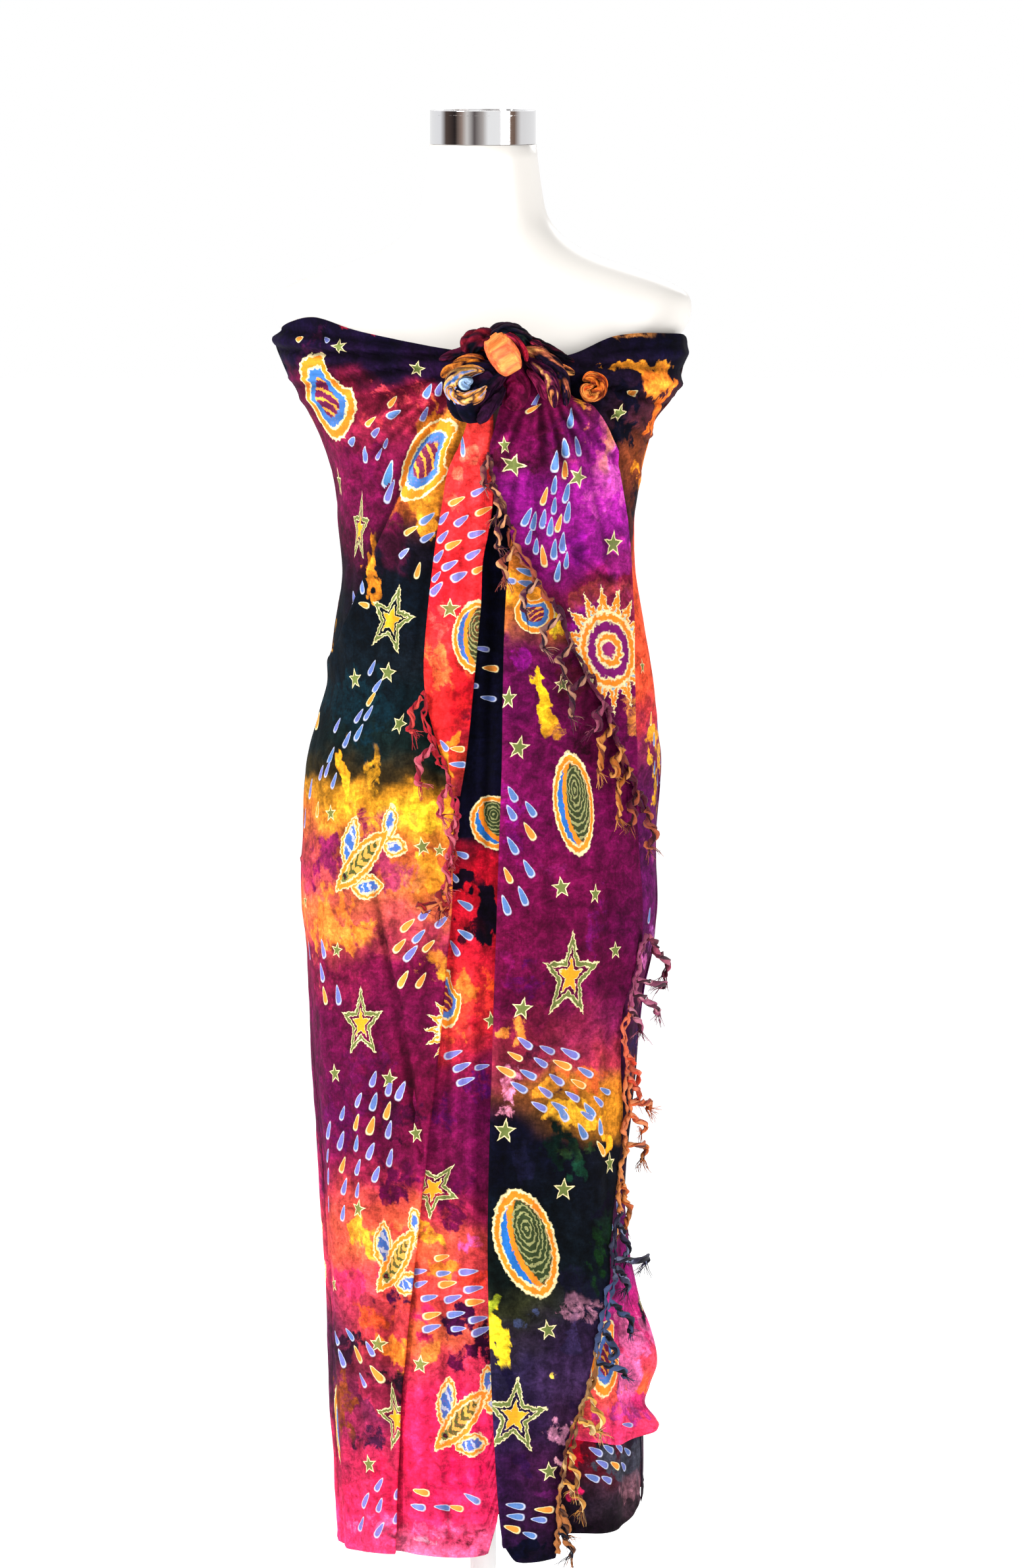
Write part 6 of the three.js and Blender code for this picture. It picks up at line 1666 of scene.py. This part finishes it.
TAIL_RIGHT_PRINTS = [
    ("small_star", 26, 1205, 13.2, 12.0, -20, 0), ("small_star", 80, 1193, 10.2, 12.0, -24, 0),
    ("small_star", 110, 1130, 10.8, 13.8, -6, 0), ("sun", 108, 1034, 50.0, 62.0, 6, 0),
    ("drop", 75, 1247, 4.2, 10.2, 4, 0.1), ("drop", 81, 1221, 4.8, 10.2, 4, 0.2),
    ("drop", 70, 1220, 4.8, 10.2, 4, 0.1), ("drop", 62, 1208, 5.4, 11.4, -10, 0.1),
    ("drop", 70, 1200, 4.8, 9.6, -4, 0.9), ("drop", 71, 1179, 4.8, 10.8, -12, 0.1),
    ("drop", 61, 1186, 4.2, 9.6, -8, 0.1), ("drop", 53, 1176, 4.2, 9.6, -16, 0.9),
    ("drop", 38, 1157, 5.4, 10.2, -24, 0.1), ("drop", 44, 1153, 4.8, 10.2, -10, 0.1),
    ("drop", 52, 1155, 4.8, 10.2, -8, 0.2), ("drop", 58, 1148, 4.8, 10.2, -6, 0.1),
    ("drop", 65, 1151, 4.2, 9.6, -14, 0.9), ("drop", 72, 1161, 4.8, 11.4, -6, 0.1),
    ("drop", 61, 1167, 4.2, 9.0, -6, 0.1), ("drop", 52, 1121, 4.8, 11.4, 4, 0.9),
    ("drop", 61, 1127, 4.8, 10.8, -8, 0.1), ("drop", 68, 1133, 4.8, 10.8, -6, 0.2),
    ("drop", 64, 1107, 4.8, 10.8, -8, 0.1), ("drop", 46, 1130, 4.2, 8.4, -6, 0.1),
    ("drop", 40, 1139, 4.2, 8.4, -16, 0.2), ("drop", 71, 1117, 4.2, 9.0, -4, 0.1),
    ("small_star", 19, 1223, 6.0, 9.6, 0, 0), ("drop", 47, 1264, 3.6, 9.6, -30, 0.3),
    ("drop", 44, 1256, 3.6, 8.4, -60, 0.9), ("drop", 118, 1231, 4.8, 8.4, 0, 0.1),
    ("drop", 121, 1210, 4.2, 8.4, 0, 0.2), ("small_star", 69, 1004, 6.0, 7.2, 0, 0),
    ("drop", 97, 967, 4.8, 8.4, -20, 0.9), ("drop", 88, 980, 4.8, 8.4, -20, 0.1),
]
OVER_WRINKLES += gathers(48, 1296, -122, -48, 14, 12, 120, 2.0, 6)
tail_right_inner = curve(TAIL_RIGHT_INNER)
tail_right_grid = stretch(
    edge_angle(tail_right_inner), edge_angle(curve(TAIL_RIGHT_OUTER)), lambda angle, x: 1294 + 0 * x,
    lambda angle, x: 884 + 0 * x, LAYER["over"],
    lambda x, z, across, angle: right_lift(x, z) + crease_rise(OVER_CREASES, x, z) + crease_rise(OVER_WRINKLES, x, z)
    + 2 * np.clip((z - 1230) / 60, 0, 1), 200, 66,
)
right_tail = cloth_piece(
    "right_tail", rolled_edge(tail_right_grid, 1, 1.8, 8), TAIL_RIGHT_DYES, TAIL_RIGHT_PATCHES,
    TAIL_RIGHT_PRINTS, 37,
    rayon, "tail_right", ["tail_right"], ridge=False,
)

# ---------------------------------------------------------------------------------------------- knot
# The two top corners are tied over the bust. Each is a bundle of gathered cloth: a dark one that balls up on the
# left with a printed loop over it, an orange wrap across the middle, and gathers that run out to the right.
# each bundle: path (distance from the middle, height, how far out), half-widths and half-depths along it,
# number of pleats, their depth, turns of twist, dyes
CORE_BUNDLES = [
    ([(20, 1300, 8), (26, 1286, 10), (28, 1270, 9), (27, 1254, 5)], [9, 11, 12, 9], [6, 8, 8, 6], 3, 0.12, 0.1,
     ["6c1444", "7c1a4a", "7a184c"]),
    (
        [(9, 1311, 8), (0, 1303, 11), (-10, 1292, 9)], [8, 9, 7], [6, 8, 6], 3, 0.16, 0.2,
        ["14122a", "241638", "101226"]
    ),
    ([(14, 1290, 13), (4, 1284, 17), (-6, 1272, 19), (-7, 1258, 17), (0, 1246, 10)], [12, 18, 21, 18, 8],
     [11, 14, 16, 14, 8], 4, 0.22, 0.7, ["14122a", "241838", "0f1428", "3a1838", "1a1430"]),
    ([(20, 1290, 22), (6, 1276, 31), (-8, 1264, 30), (-19, 1259, 20)], [4, 6, 6, 4], [5, 7, 6, 4], 3, 0.2, 0.3,
     ["241638", "101226", "4a1c40"]),
    ([(18, 1276, 22), (10, 1264, 29), (2, 1252, 26), (-3, 1244, 15)], [4, 5, 5, 3], [5, 6, 6, 4], 3, 0.2, -0.3,
     ["12122a", "3a1838", "101226"]),
    ([(12, 1315, 15), (2, 1319, 20), (-8, 1316, 20), (-18, 1307, 12)], [7, 9, 9, 6], [9, 12, 11, 7], 4, 0.22,
     -0.4,
     ["e8845c", "8c2434", "6c1c34", "14182a", "1c2428"]),
    ([(2, 1300, 21), (-9, 1298, 22), (-22, 1293, 15), (-36, 1285, 6)], [5, 7, 6, 4], [6, 8, 7, 4], 3, 0.24, 0.3,
     ["f0983c", "3a1c34", "d8883c", "8c3a44", "241636"]),
    (
        [(-6, 1309, 16), (-20, 1305, 12), (-38, 1300, 5)], [5, 5, 3], [6, 7, 4], 4, 0.24, 0.2,
        ["1c1430", "5c1c3c", "14142a"]
    ),
    ([(2, 1291, 33), (-10, 1291, 36), (-22, 1284, 31), (-25, 1274, 27), (-16, 1266, 31), (-4, 1269, 37), (4, 1278, 38)],
     [4, 6, 7, 6, 6, 6, 3], [5, 6, 7, 6, 6, 6, 4], 3, 0.14, 0.4,
     ["f0a03c", "6c9cd0", "f0a84c", "3a2440", "e8b468", "5c8cc8"]),
    (
        [(-8, 1284, 37), (-15, 1280, 37), (-11, 1275, 38)], [4, 5, 3.5], [4, 5, 4], 3, 0.1, 0.2,
        ["5c94cc", "a8c0dc", "14142a"]
    ),
]
GATHER_BUNDLES = [
    ([(32, 1312, 15), (44, 1307, 19), (56, 1298, 16), (66, 1286, 11), (71, 1270, 6), (71, 1256, 2)],
     [4, 7, 7, 6, 4.5, 3], [7, 9, 8, 6, 4, 3], 3, 0.14, 0.5,
     ["f0b070", "c87a5c", "14122a", "3a2440", "14122a", "5c1c44", "f4b878"]),
    (
        [(26, 1313, 9), (37, 1303, 11), (46, 1290, 9)], [9, 10, 8], [6, 7, 5], 3, 0.14, 0.2,
        ["14122a", "3a1838", "101226"]
    ),
    ([(36, 1302, 15), (45, 1296, 18), (54, 1287, 15), (60, 1273, 9), (62, 1256, 3)], [4, 6, 6.5, 5.5, 3.5],
     [6, 8, 7, 5, 3], 3, 0.14, -0.4, ["f0a868", "c87a5c", "241430", "5c1c44", "1c1430", "8c3a5c", "f4b878"]),
    ([(30, 1318, 12), (44, 1316, 13), (60, 1307, 9), (80, 1297, 3)], [4, 4.5, 4, 3], [6, 7, 5, 3], 4, 0.28, 0.4,
     ["1c1428", "101020", "5c1c34", "241430"]),
    (
        [(46, 1300, 13), (62, 1293, 10), (80, 1287, 3)], [3.5, 4.5, 3], [5, 6, 3], 4, 0.28, 0.3,
        ["e8945c", "1c1430", "f0b070"]
    ),
    (
        [(38, 1292, 15), (47, 1280, 14), (54, 1264, 8)], [3, 4, 3], [5, 6, 3], 3, 0.26, 0.3,
        ["6c1440", "a03464", "3a1430"]
    ),
]
BAND_BUNDLES = [
    ([(9, 1320, 25), (14, 1312, 32), (20, 1301, 35), (26, 1290, 29)], [9, 12.5, 13, 8], [6, 8, 8, 6], 3, 0.05,
     0.0,
     ["f08a4c", "f4a060", "f07c58", "f6985c", "f8ac6c"]),
]
STRIP_BUNDLES = [
    ([(16, 1325, 28), (26, 1320, 34), (34, 1309, 31), (37, 1299, 24)], [2, 2.8, 2.8, 2], [5, 6, 6, 4], 3, 0.2,
     0.1,
     ["c8304c", "5c1434", "e8506c"]),
]
RUFFLE_BUNDLES = [
    ([(2, 1317, 12), (11, 1325, 17), (22, 1327, 19), (33, 1322, 17), (43, 1314, 9)], [4, 6, 6.5, 6, 4],
     [8, 13, 15, 13, 7],
     5, 0.2, 0.5, ["14142a", "2c3a34", "101226", "1c1c30", "4a3040", "14142a"]),
    (
        [(38, 1317, 19), (45, 1314, 18), (51, 1308, 11)], [2.5, 4, 3], [5, 6, 4], 4, 0.26, 0.4,
        ["d8305c", "241430", "f05c7c"]
    ),
]
ROSETTE_BUNDLES = [
    ([(85, 1281, 8), (91, 1284, 12), (98, 1279, 12), (97, 1270, 11), (89, 1267, 10), (86, 1274, 13), (92, 1277, 16)],
     [3, 5, 5.5, 5.5, 5, 4.5, 3], [4, 6, 7, 7, 6, 5, 4], 4, 0.26, 0.6,
     ["f08a3c", "c85428", "f4a458", "7c2c24", "f08a3c"]),
]


def smooth_run(values, count):
    """Evenly spaced values along a smooth run through a few."""
    rows = [(i / (len(values) - 1), value) for i, value in enumerate(values)]
    return curve(rows)(np.linspace(0, 1, count))


def bundle(
    path, wide, deep, pleats, fold, twist, dyes, seed, corner=1.0, ends=5, crush=0.2, sections=72, around=96,
):
    """Points, quads, cloth map and colours of one pleated bundle of cloth along a path, with shade and highlight
    painted on its folds.

    A corner below 1 makes its section square, and ends above 5 keep it wide up to its ends.
    """
    x, z, out = (smooth_run([stop[i] for stop in path], sections) for i in range(3))
    centre = body_point(angle_of(x, z), z, LAYER["over"] + out)
    ahead = np.gradient(centre, axis=0)
    ahead /= np.linalg.norm(ahead, axis=1, keepdims=True)
    up = np.array([0.0, -1.0, 0.0]) - ahead * (ahead @ np.array([0.0, -1.0, 0.0]))[:, None]
    up /= np.linalg.norm(up, axis=1, keepdims=True)
    across = np.cross(ahead, up)
    share = np.linspace(0, 1, sections)
    closing = np.sqrt(np.clip(1 - np.abs(2 * share - 1) ** ends, 0, 1)) + 0.02
    turn = np.linspace(0, 2 * np.pi, around, endpoint=False)
    run = np.concatenate([[0], np.cumsum(np.linalg.norm(np.diff(centre, axis=0), axis=1))])
    ring_u = np.cos(turn)[None, :] * 20 + seed * 40
    ring_v = np.sin(turn)[None, :] * 20 + run[:, None]
    phase = (
        pleats * turn[None, :] + 2 * np.pi * twist * share[:, None] * pleats
        + cloud(ring_u, ring_v, 19, 2, seed) * 3.4
    )
    ridge = (1.6 * np.abs(np.cos(phase / 2)) ** 0.7 - 1) * (0.75 + 0.5 * cloud(
        ring_u, ring_v, 24, 2, seed + 6
    ))
    crumple = 1 - 2 * np.abs(cloud(ring_u, ring_v * 0.7, 11, 2, seed + 2))
    # sharp small folds that run across the pleats, and soft hollows between them
    pinch = 1 - 2.4 * np.abs(cloud(ring_u * 0.45 + ring_v * 0.5, ring_v * 1.1, 8, 2, seed + 9))
    grow = 1 + fold * ridge + crush * (0.5 * crumple + 0.6 * pinch)
    wide, deep = smooth_run(wide, sections) * closing, smooth_run(deep, sections) * closing
    ring = (
        centre[:, None, :]
        + across[:, None, :] * (signed_power(np.cos(turn), corner)[None, :] * wide[:, None] * grow)[..., None]
        + up[:, None, :] * (signed_power(np.sin(turn), corner)[None, :] * deep[:, None] * grow)[..., None]
    )
    points = np.concatenate([ring.reshape(-1, 3), ring[0].mean(axis=0)[None], ring[-1].mean(axis=0)[None]])
    at = np.arange(sections * around).reshape(sections, around)
    following = np.roll(at, -1, axis=1)
    quads = np.stack([at[:-1], following[:-1], following[1:], at[1:]], axis=-1).reshape(-1, 4).tolist()
    first, last = sections * around, sections * around + 1
    caps = [[first, int(b), int(a)] for a, b in zip(at[0], following[0])]
    caps += [[last, int(a), int(b)] for a, b in zip(at[-1], following[-1])]
    place = cloud(ring_u * 0.5, ring_v, 15, 3, seed + 4) * 0.62 + 0.5
    # painted shade and highlight: the dyes are painted darker in the hollows of the pleats, crumples and pinches, and
    # lighter on their ridges
    uneven = (
        ridge * min(1, fold * 6) + (0.4 * crumple + 0.5 * pinch) * min(1, crush * 5)
        + 0.45 * (1 - min(1, fold * 6))
    )
    colours = dip(place, dyes) * (0.5 + 0.5 * np.clip(uneven + 0.4, 0, 1.4)[..., None])
    flat = np.stack(
        [
            turn[None, :] * (wide[:, None] + deep[:, None]) / 2 + 0 * run[:, None],
            run[:, None] + 0 * turn[None, :]
        ],
        axis=-1
    )
    ends = colours[[0, -1], :1].reshape(2, 3)
    colours = np.concatenate([colours.reshape(-1, 3), ends])
    flat = np.concatenate([flat.reshape(-1, 2), flat[[0, -1], :1].reshape(2, 2)])
    return points, quads + caps, flat, colours


def dip(place, dyes):
    """Colours picked along a row of dyes by a place from 0 to 1."""
    table = np.array([dye(code) for code in dyes])
    spot = np.clip(place, 0, 1) * (len(table) - 1)
    i = np.clip(spot.astype(int), 0, len(table) - 2)
    t = smooth(spot - i)[..., None]
    return table[i] * (1 - t) + table[i + 1] * t


def gathered_piece(name, parts, material, slot, node):
    """One piece from several closed parts of points, faces, map and colours."""
    points, faces, flat, colours, shift = [], [], [], [], 0
    for part_points, part_faces, part_flat, part_colours in parts:
        points.append(part_points)
        faces += [[corner + shift for corner in face] for face in part_faces]
        flat.append(part_flat)
        colours.append(part_colours)
        shift += len(part_points)
    points, flat = np.concatenate(points), np.concatenate(flat)
    piece = mesh_piece(name, points, faces)
    colours = np.concatenate(colours)
    print_on(piece, flat[:, 0], flat[:, 1], (colours, colours, 0.0), [])
    finish_piece(piece, material, slot, node)
    return piece


gathered_rayon = dyed_rayon("gathered_rayon", 0.001, printed=False)
strap = [bundle(
    *row, 63, corner=0.36, ends=30, crush=0.05
) for row in BAND_BUNDLES] + [bundle(*row, 64) for row in STRIP_BUNDLES]
gathered_piece("tied_strap", strap, gathered_rayon, "knot_band", "knot_band")
for name, rows, slot, node, seed in (
    ("tied_core", CORE_BUNDLES, "knot", "knot_core", 51),
    ("tied_gathers", GATHER_BUNDLES, "knot", "knot_gathers", 57),
    ("tied_ruffle", RUFFLE_BUNDLES, "knot", "knot_ruffle", 67),
    ("tied_rosette", ROSETTE_BUNDLES, "knot_band", "knot_rosette", 71),
):
    gathered_piece(name, [bundle(*row, seed + i) for i, row in enumerate(rows)], gathered_rayon, slot, node)

# ---------------------------------------------------------------------------------------------- fringes
# The warp ends of the two short edges are twisted into tassels: three flat, ribbon-like plies each, with frayed
# threads at the tip. A twisted selvedge runs along the edge between them.
# each tassel: height of its root, how far its tip lies to the side and below
FRINGE_LEFT = [
    (992, -10, 34), (948, -14, 36), (912, -8, 30), (884, -6, 40), (850, -6, 36), (824, -9, 24), (806, -25, 6)
]
FRINGE_LEFT_EDGE = [(995, -52), (959, -45), (927, -35), (905, -27), (885, -23), (843, -27), (795, -31)]
FRINGE_UPPER = [
    (1212, -6, 26), (1186, 4, 28), (1158, -9, 30), (1128, -12, 26), (1098, -14, 28), (1066, -16, 30),
    (1040, -12, 26),
    (1013, -16, 38), (986, -8, 22), (966, -11, 42), (944, -7, 24), (926, -12, 46), (904, -8, 28),
    (888, 3, 40),
]
FRINGE_LOWER = [
    (770, 16, 40), (731, 26, 14), (719, 22, 26), (704, 9, 20), (661, 8, 26), (640, 10, 20), (617, 24, 12),
    (606, 12, 18),
    (578, 28, 18), (541, 6, 40), (505, 9, 34), (474, 27, 10), (466, 10, 20), (436, 22, 32), (410, 9, 26),
    (382, 26, 16),
    (352, 10, 38), (330, 12, 14), (302, 6, 34), (274, 14, 26), (250, 5, 30), (228, 10, 22),
]
PLY_RADIUS, TWIST_RADIUS = 2.7, 1.5
# height and dyes of the yarns there
LEFT_YARNS = [
    (995, ["d85c54", "b81c34", "8c102c"]), (905, ["d07080", "b83050", "8c1834"]),
    (795, ["d08050", "a82430", "6c1428"]),
]
UPPER_YARNS = [
    (1208, ["b07868", "6a1840", "4a1430"]), (1166, ["d8a078", "5c1838", "3a1430"]),
    (1130, ["d8a878", "a85c44", "6a1c3c"]),
    (1084, ["c89c84", "5c1a44", "341634"]), (1022, ["b88c74", "5c1840", "3c1230"]),
    (986, ["a85c74", "6c1844", "4c1238"]),
    (956, ["d89c5c", "b8702c", "7c3c28"]), (890, ["b86848", "6a1a38", "4c122c"]),
]
LOWER_YARNS = [
    (768, ["6a1438", "b8607c", "4c1030"]), (728, ["4c1030", "b05c80", "d090a0"]),
    (661, ["d85434", "e08060", "a83828"]),
    (617, ["d87038", "e09060", "b84c28"]), (541, ["c86c34", "e0985c", "6c3024"]),
    (484, ["14122a", "3a3450", "8c94b0"]),
    (400, ["18162c", "54648c", "101024"]), (352, ["e0b05c", "8c5c34", "f2d8a0"]),
    (276, ["d8a050", "6c3828", "f0cc90"]),
    (228, ["1a1830", "b87c48", "14122a"]),
]


def yarn(points, radii, sides, dyes, seed, tone=0.5, flat=1.0, rolls=0.0):
    """A closed yarn along points, or a flat ribbon that rolls as it runs, its colour wandering round one of its dyes."""
    ahead = np.gradient(points, axis=0)
    ahead /= np.maximum(np.linalg.norm(ahead, axis=1, keepdims=True), 1e-9)
    up = np.array([0.0, -1.0, 0.0]) - ahead * ahead[:, 1:2] * -1
    up /= np.maximum(np.linalg.norm(up, axis=1, keepdims=True), 1e-6)
    across = np.cross(ahead, up)
    rolled_by = 2 * np.pi * rolls * np.linspace(0, 1, len(points))[:, None]
    across, up = across * np.cos(rolled_by) + up * np.sin(rolled_by), up * np.cos(rolled_by) - across * np.sin(rolled_by)
    turn = np.linspace(0, 2 * np.pi, sides, endpoint=False)
    ring = points[:, None, :] + (
        across[:, None, :] * np.cos(turn)[None, :, None] + up[:, None, :] * (np.sin(turn) * flat)[None, :, None]
    ) * radii[:, None, None]
    at = np.arange(len(points) * sides).reshape(len(points), sides)
    following = np.roll(at, -1, axis=1)
    quads = np.stack([at[:-1], following[:-1], following[1:], at[1:]], axis=-1).reshape(-1, 4).tolist()
    caps = [at[0][::-1].tolist(), at[-1].tolist()]
    run = np.arange(len(points)) * 1.5
    place = tone + 0.3 * cloud(run + seed * 13.7, 0 * run + seed * 5.1, 9, 2, seed)
    colours = np.repeat(dip(place, dyes), sides, axis=0)
    spread_out = np.stack([np.tile(turn, len(points)), np.repeat(run, sides)], axis=1)
    return ring.reshape(-1, 3), quads + caps, spread_out, colours


def fringe(name, edge, tassels, layer, dyes, seed, node, loose=0.0):
    """All tassels of one fringed edge, with the twisted selvedge along it, straighter where they hang loose."""
    draw = np.random.RandomState(seed)
    off = LAYER[layer] + 2.6
    edge_at = curve(edge)

    def place(x, z, lift):
        angle = angle_of(x, z)
        return body_point(angle, z, off + fold_rise(angle, z) + lift)

    def dyes_at(z):
        heights = np.array([row[0] for row in dyes])
        return dyes[int(np.argmin(np.abs(heights - z)))][1]

    parts = []
    high, low = max(row[0] for row in edge), min(row[0] for row in edge)
    z = np.linspace(high, low, int((high - low) / 1.6))
    for strand in range(2):
        wave = cloud(z, 0 * z, 14, 3, seed + strand) * 4.2
        rise = 1.5 + cloud(z, 0 * z, 11, 2, seed + 4 + strand) * 1.8
        route = place(edge_at(z) + wave, z + cloud(z, 0 * z, 9, 2, seed + 8 + strand) * 3, rise)
        for piece_of in np.array_split(np.arange(len(z)), max(1, int((high - low) / 60))):
            if len(piece_of) > 4:
                reach = np.arange(piece_of[0], min(piece_of[-1] + 3, len(z)))
                taper = 2.3 + 0.8 * cloud(z[reach], 0 * z[reach], 8, 2, seed)
                parts.append(yarn(
                    route[reach], taper, 6, dyes_at(float(z[piece_of].mean())), seed + len(parts), 0.5,
                    0.45, len(reach) / 13
                ))
    for index, (root, side, drop) in enumerate(tassels):
        t = np.linspace(0, 1, 34)
        length = np.hypot(side, drop)
        # it bows out sideways from the edge, comes back a little, and curls at its tip
        bow = np.sin(np.minimum(t * draw.uniform(1.3, 1.7), 1) * np.pi / 2) - 0.3 * np.clip((t - 0.6) / 0.4, 0, 1) ** 2
        bow = bow * (1 - loose) + loose * t ** draw.uniform(0.7, 1.1)
        curl, beat = draw.uniform(1.5, 3.2), draw.uniform(9, 13)
        x = edge_at(root) + side * bow + curl * np.sin(t * beat) * t
        zz = root - drop * t**1.2 + curl * np.cos(t * beat) * t
        lift = 3.6 + 1.8 * np.sin(np.pi * t * 0.8) + 1.0 * np.sin(t * draw.uniform(9, 13))
        middle_line = place(x, zz, lift)
        ahead = np.gradient(middle_line, axis=0)
        ahead /= np.linalg.norm(ahead, axis=1, keepdims=True)
        up = np.array([0.0, -1.0, 0.0]) + ahead * ahead[:, 1:2]
        up /= np.maximum(np.linalg.norm(up, axis=1, keepdims=True), 1e-6)
        across = np.cross(ahead, up)
        grow = draw.uniform(0.85, 1.15)
        for ply in range(3):
            phase = 2 * np.pi * (ply / 3 + t * length / 17)
            line = middle_line + (across * np.cos(phase)[:, None] + up * np.sin(phase)[:, None]) * TWIST_RADIUS * grow
            full = 0.72 + 0.4 * np.sin(np.pi * np.clip(t * 1.1, 0, 1)) + 0.14 * np.sin(t * 23 + ply * 2)
            radii = PLY_RADIUS * grow * full * (1 if ply < 2 else 0.55)
            parts.append(yarn(
                line, radii, 6, dyes_at(root), seed + 100 + index * 3 + ply, ply / 2, 0.4,
                length / 17 + ply * 0.3
            ))
        for thread in range(14):
            reach = draw.uniform(5, 12)
            s = np.linspace(0, 1, 6)
            way = ahead[-1] + across[-1] * draw.uniform(-1.1, 1.1) + up[-1] * draw.uniform(-0.2, 0.6)
            start = middle_line[-2] + across[-2] * draw.uniform(-2, 2)
            line = start + way * (s * reach)[:, None] + across[-1] * (np.sin(s * 4 + thread) * 1.6 * s)[:, None]
            line[:, 2] -= s**2 * 3.0
            parts.append(yarn(
                line, 0.5 * (1 - 0.5 * s), 3, dyes_at(root), seed + 300 + index * 14 + thread,
                draw.uniform(0, 1)
            ))
    return gathered_piece(name, parts, twisted_yarn, "fringe", node)


def yarn_material():
    """Loose rayon yarn, fuzzy and slightly shiny, with fibres along its length."""
    material, shader, tree = new_material("twisted_yarn", (0.5, 0.1, 0.15), 0.72)
    shader.inputs["Sheen Weight"].default_value = 0.1
    shader.inputs["Sheen Roughness"].default_value = 0.4
    shader.inputs["Specular IOR Level"].default_value = 0.25
    place = object_place(tree)
    fibres = noise(tree, place, 2600, 3, 0.6)
    light = ramp(tree, fibres, [(0.3, 0.7), (0.5, 1.0), (0.7, 1.35)])
    tree.links.new(
        mixed(tree, 1.0, attribute(tree, "dye", "Color"), light.outputs["Color"], "MULTIPLY"),
        shader.inputs["Base Color"]
    )
    dull = ramp(tree, fibres, [(0.3, 0.62), (0.7, 0.85)])
    tree.links.new(dull.outputs["Color"], shader.inputs["Roughness"])
    bump(tree, fibres, 0.5, 0.0006, shader)
    return material


twisted_yarn = yarn_material()
fringe(
    "left_tassels", FRINGE_LEFT_EDGE, FRINGE_LEFT, "front", LEFT_YARNS, 81, "fringe_left"
)
fringe(
    "upper_tassels", TAIL_RIGHT_INNER[3:], FRINGE_UPPER, "over", UPPER_YARNS, 83, "fringe_upper"
)
fringe(
    "lower_tassels", RIGHT_FRINGED_EDGE[4:-1] + [(206, 64)], FRINGE_LOWER, "front", LOWER_YARNS, 87,
    "fringe_lower", 0.8
)

# ---------------------------------------------------------------------------------------------- floor and light
# A plain pale floor runs into a white sky. Large soft lamps stand high on the left, low on the right and behind, and
# the sky that polished metal mirrors is that of a studio, with dark stands and bright windows between them.
def floor():
    bpy.ops.object.select_all(action="DESELECT")
    bpy.ops.mesh.primitive_plane_add(size=60, location=(0, 0, 0))
    plane = bpy.context.object
    plane.name = "floor"
    material, shader, _ = new_material("pale_floor", (0.96, 0.96, 0.96), 0.95)
    shader.inputs["Specular IOR Level"].default_value = 0.0
    shader.inputs["Emission Color"].default_value = (1, 1, 1, 1)
    shader.inputs["Emission Strength"].default_value = 0.8
    plane.data.materials.append(material)
    plane.visible_glossy = False


def lamp(name, place, target, size, power, colour_of=(1, 1, 1)):
    light = bpy.data.lights.new(name, "AREA")
    light.shape = "RECTANGLE"
    light.size, light.size_y = size
    light.energy = power
    light.color = colour_of
    holder = bpy.data.objects.new(name, light)
    holder.location = place
    holder.rotation_euler = (Vector(target) - Vector(place)).to_track_quat("-Z", "Y").to_euler()
    bpy.context.collection.objects.link(holder)


# share of the way round the front of the studio, from left to right, and the grey or brown that metal mirrors
STUDIO = [
    (0.0, (0.95, 0.95, 0.95)), (0.1, (0.9, 0.9, 0.92)), (0.15, (0.1, 0.07, 0.06)),
    (0.24, (0.02, 0.015, 0.015)),
    (0.3, (0.35, 0.26, 0.22)), (0.35, (0.75, 0.72, 0.7)), (0.42, (0.12, 0.1, 0.1)), (0.5, (0.5, 0.46, 0.44)),
    (0.55, (1.0, 1.0, 1.0)), (0.68, (1.0, 1.0, 1.0)), (0.71, (0.3, 0.2, 0.15)), (0.8, (0.2, 0.13, 0.1)),
    (0.86, (0.85, 0.84, 0.84)), (1.0, (0.95, 0.95, 0.95)),
]


def white_sky():
    """A white sky to look at, a softer one to light by, and a studio in what metal mirrors."""
    sky = bpy.data.worlds.new("white_sky")
    sky.use_nodes = True
    tree = sky.node_tree
    background = tree.nodes["Background"]
    rays = tree.nodes.new("ShaderNodeLightPath")
    split = tree.nodes.new("ShaderNodeSeparateXYZ")
    tree.links.new(tree.nodes.new("ShaderNodeTexCoord").outputs["Generated"], split.inputs[0])
    bearing = math(tree, "ARCTAN2", split.outputs[0], math(tree, "MULTIPLY", split.outputs[1], -1.0))
    place = math(tree, "MULTIPLY_ADD", math(tree, "SINE", math(tree, "MULTIPLY", bearing, 0.5)), 0.5, 0.5)
    studio = ramp(tree, place, STUDIO)
    seen = mixed(tree, rays.outputs["Is Glossy Ray"], (1, 1, 1, 1), studio.outputs["Color"])
    tree.links.new(seen, background.inputs["Color"])
    soft = math(tree, "MAXIMUM", rays.outputs["Is Camera Ray"], rays.outputs["Is Glossy Ray"])
    tree.links.new(math(tree, "MULTIPLY_ADD", soft, 0.55, 0.45), background.inputs["Strength"])
    return sky


floor()
lamp("key", (-3.0, -2.3, 2.9), (0, 0, 0.9), (1.0, 1.6), 185)
lamp("fill", (3.4, -2.8, 1.7), (0, 0, 0.9), (1.6, 2.4), 70)
lamp("rim", (0.6, 3.0, 2.8), (0, 0, 1.0), (2.4, 1.4), 26)
bpy.context.scene.world = white_sky()
bpy.context.scene.view_settings.view_transform = "Standard"
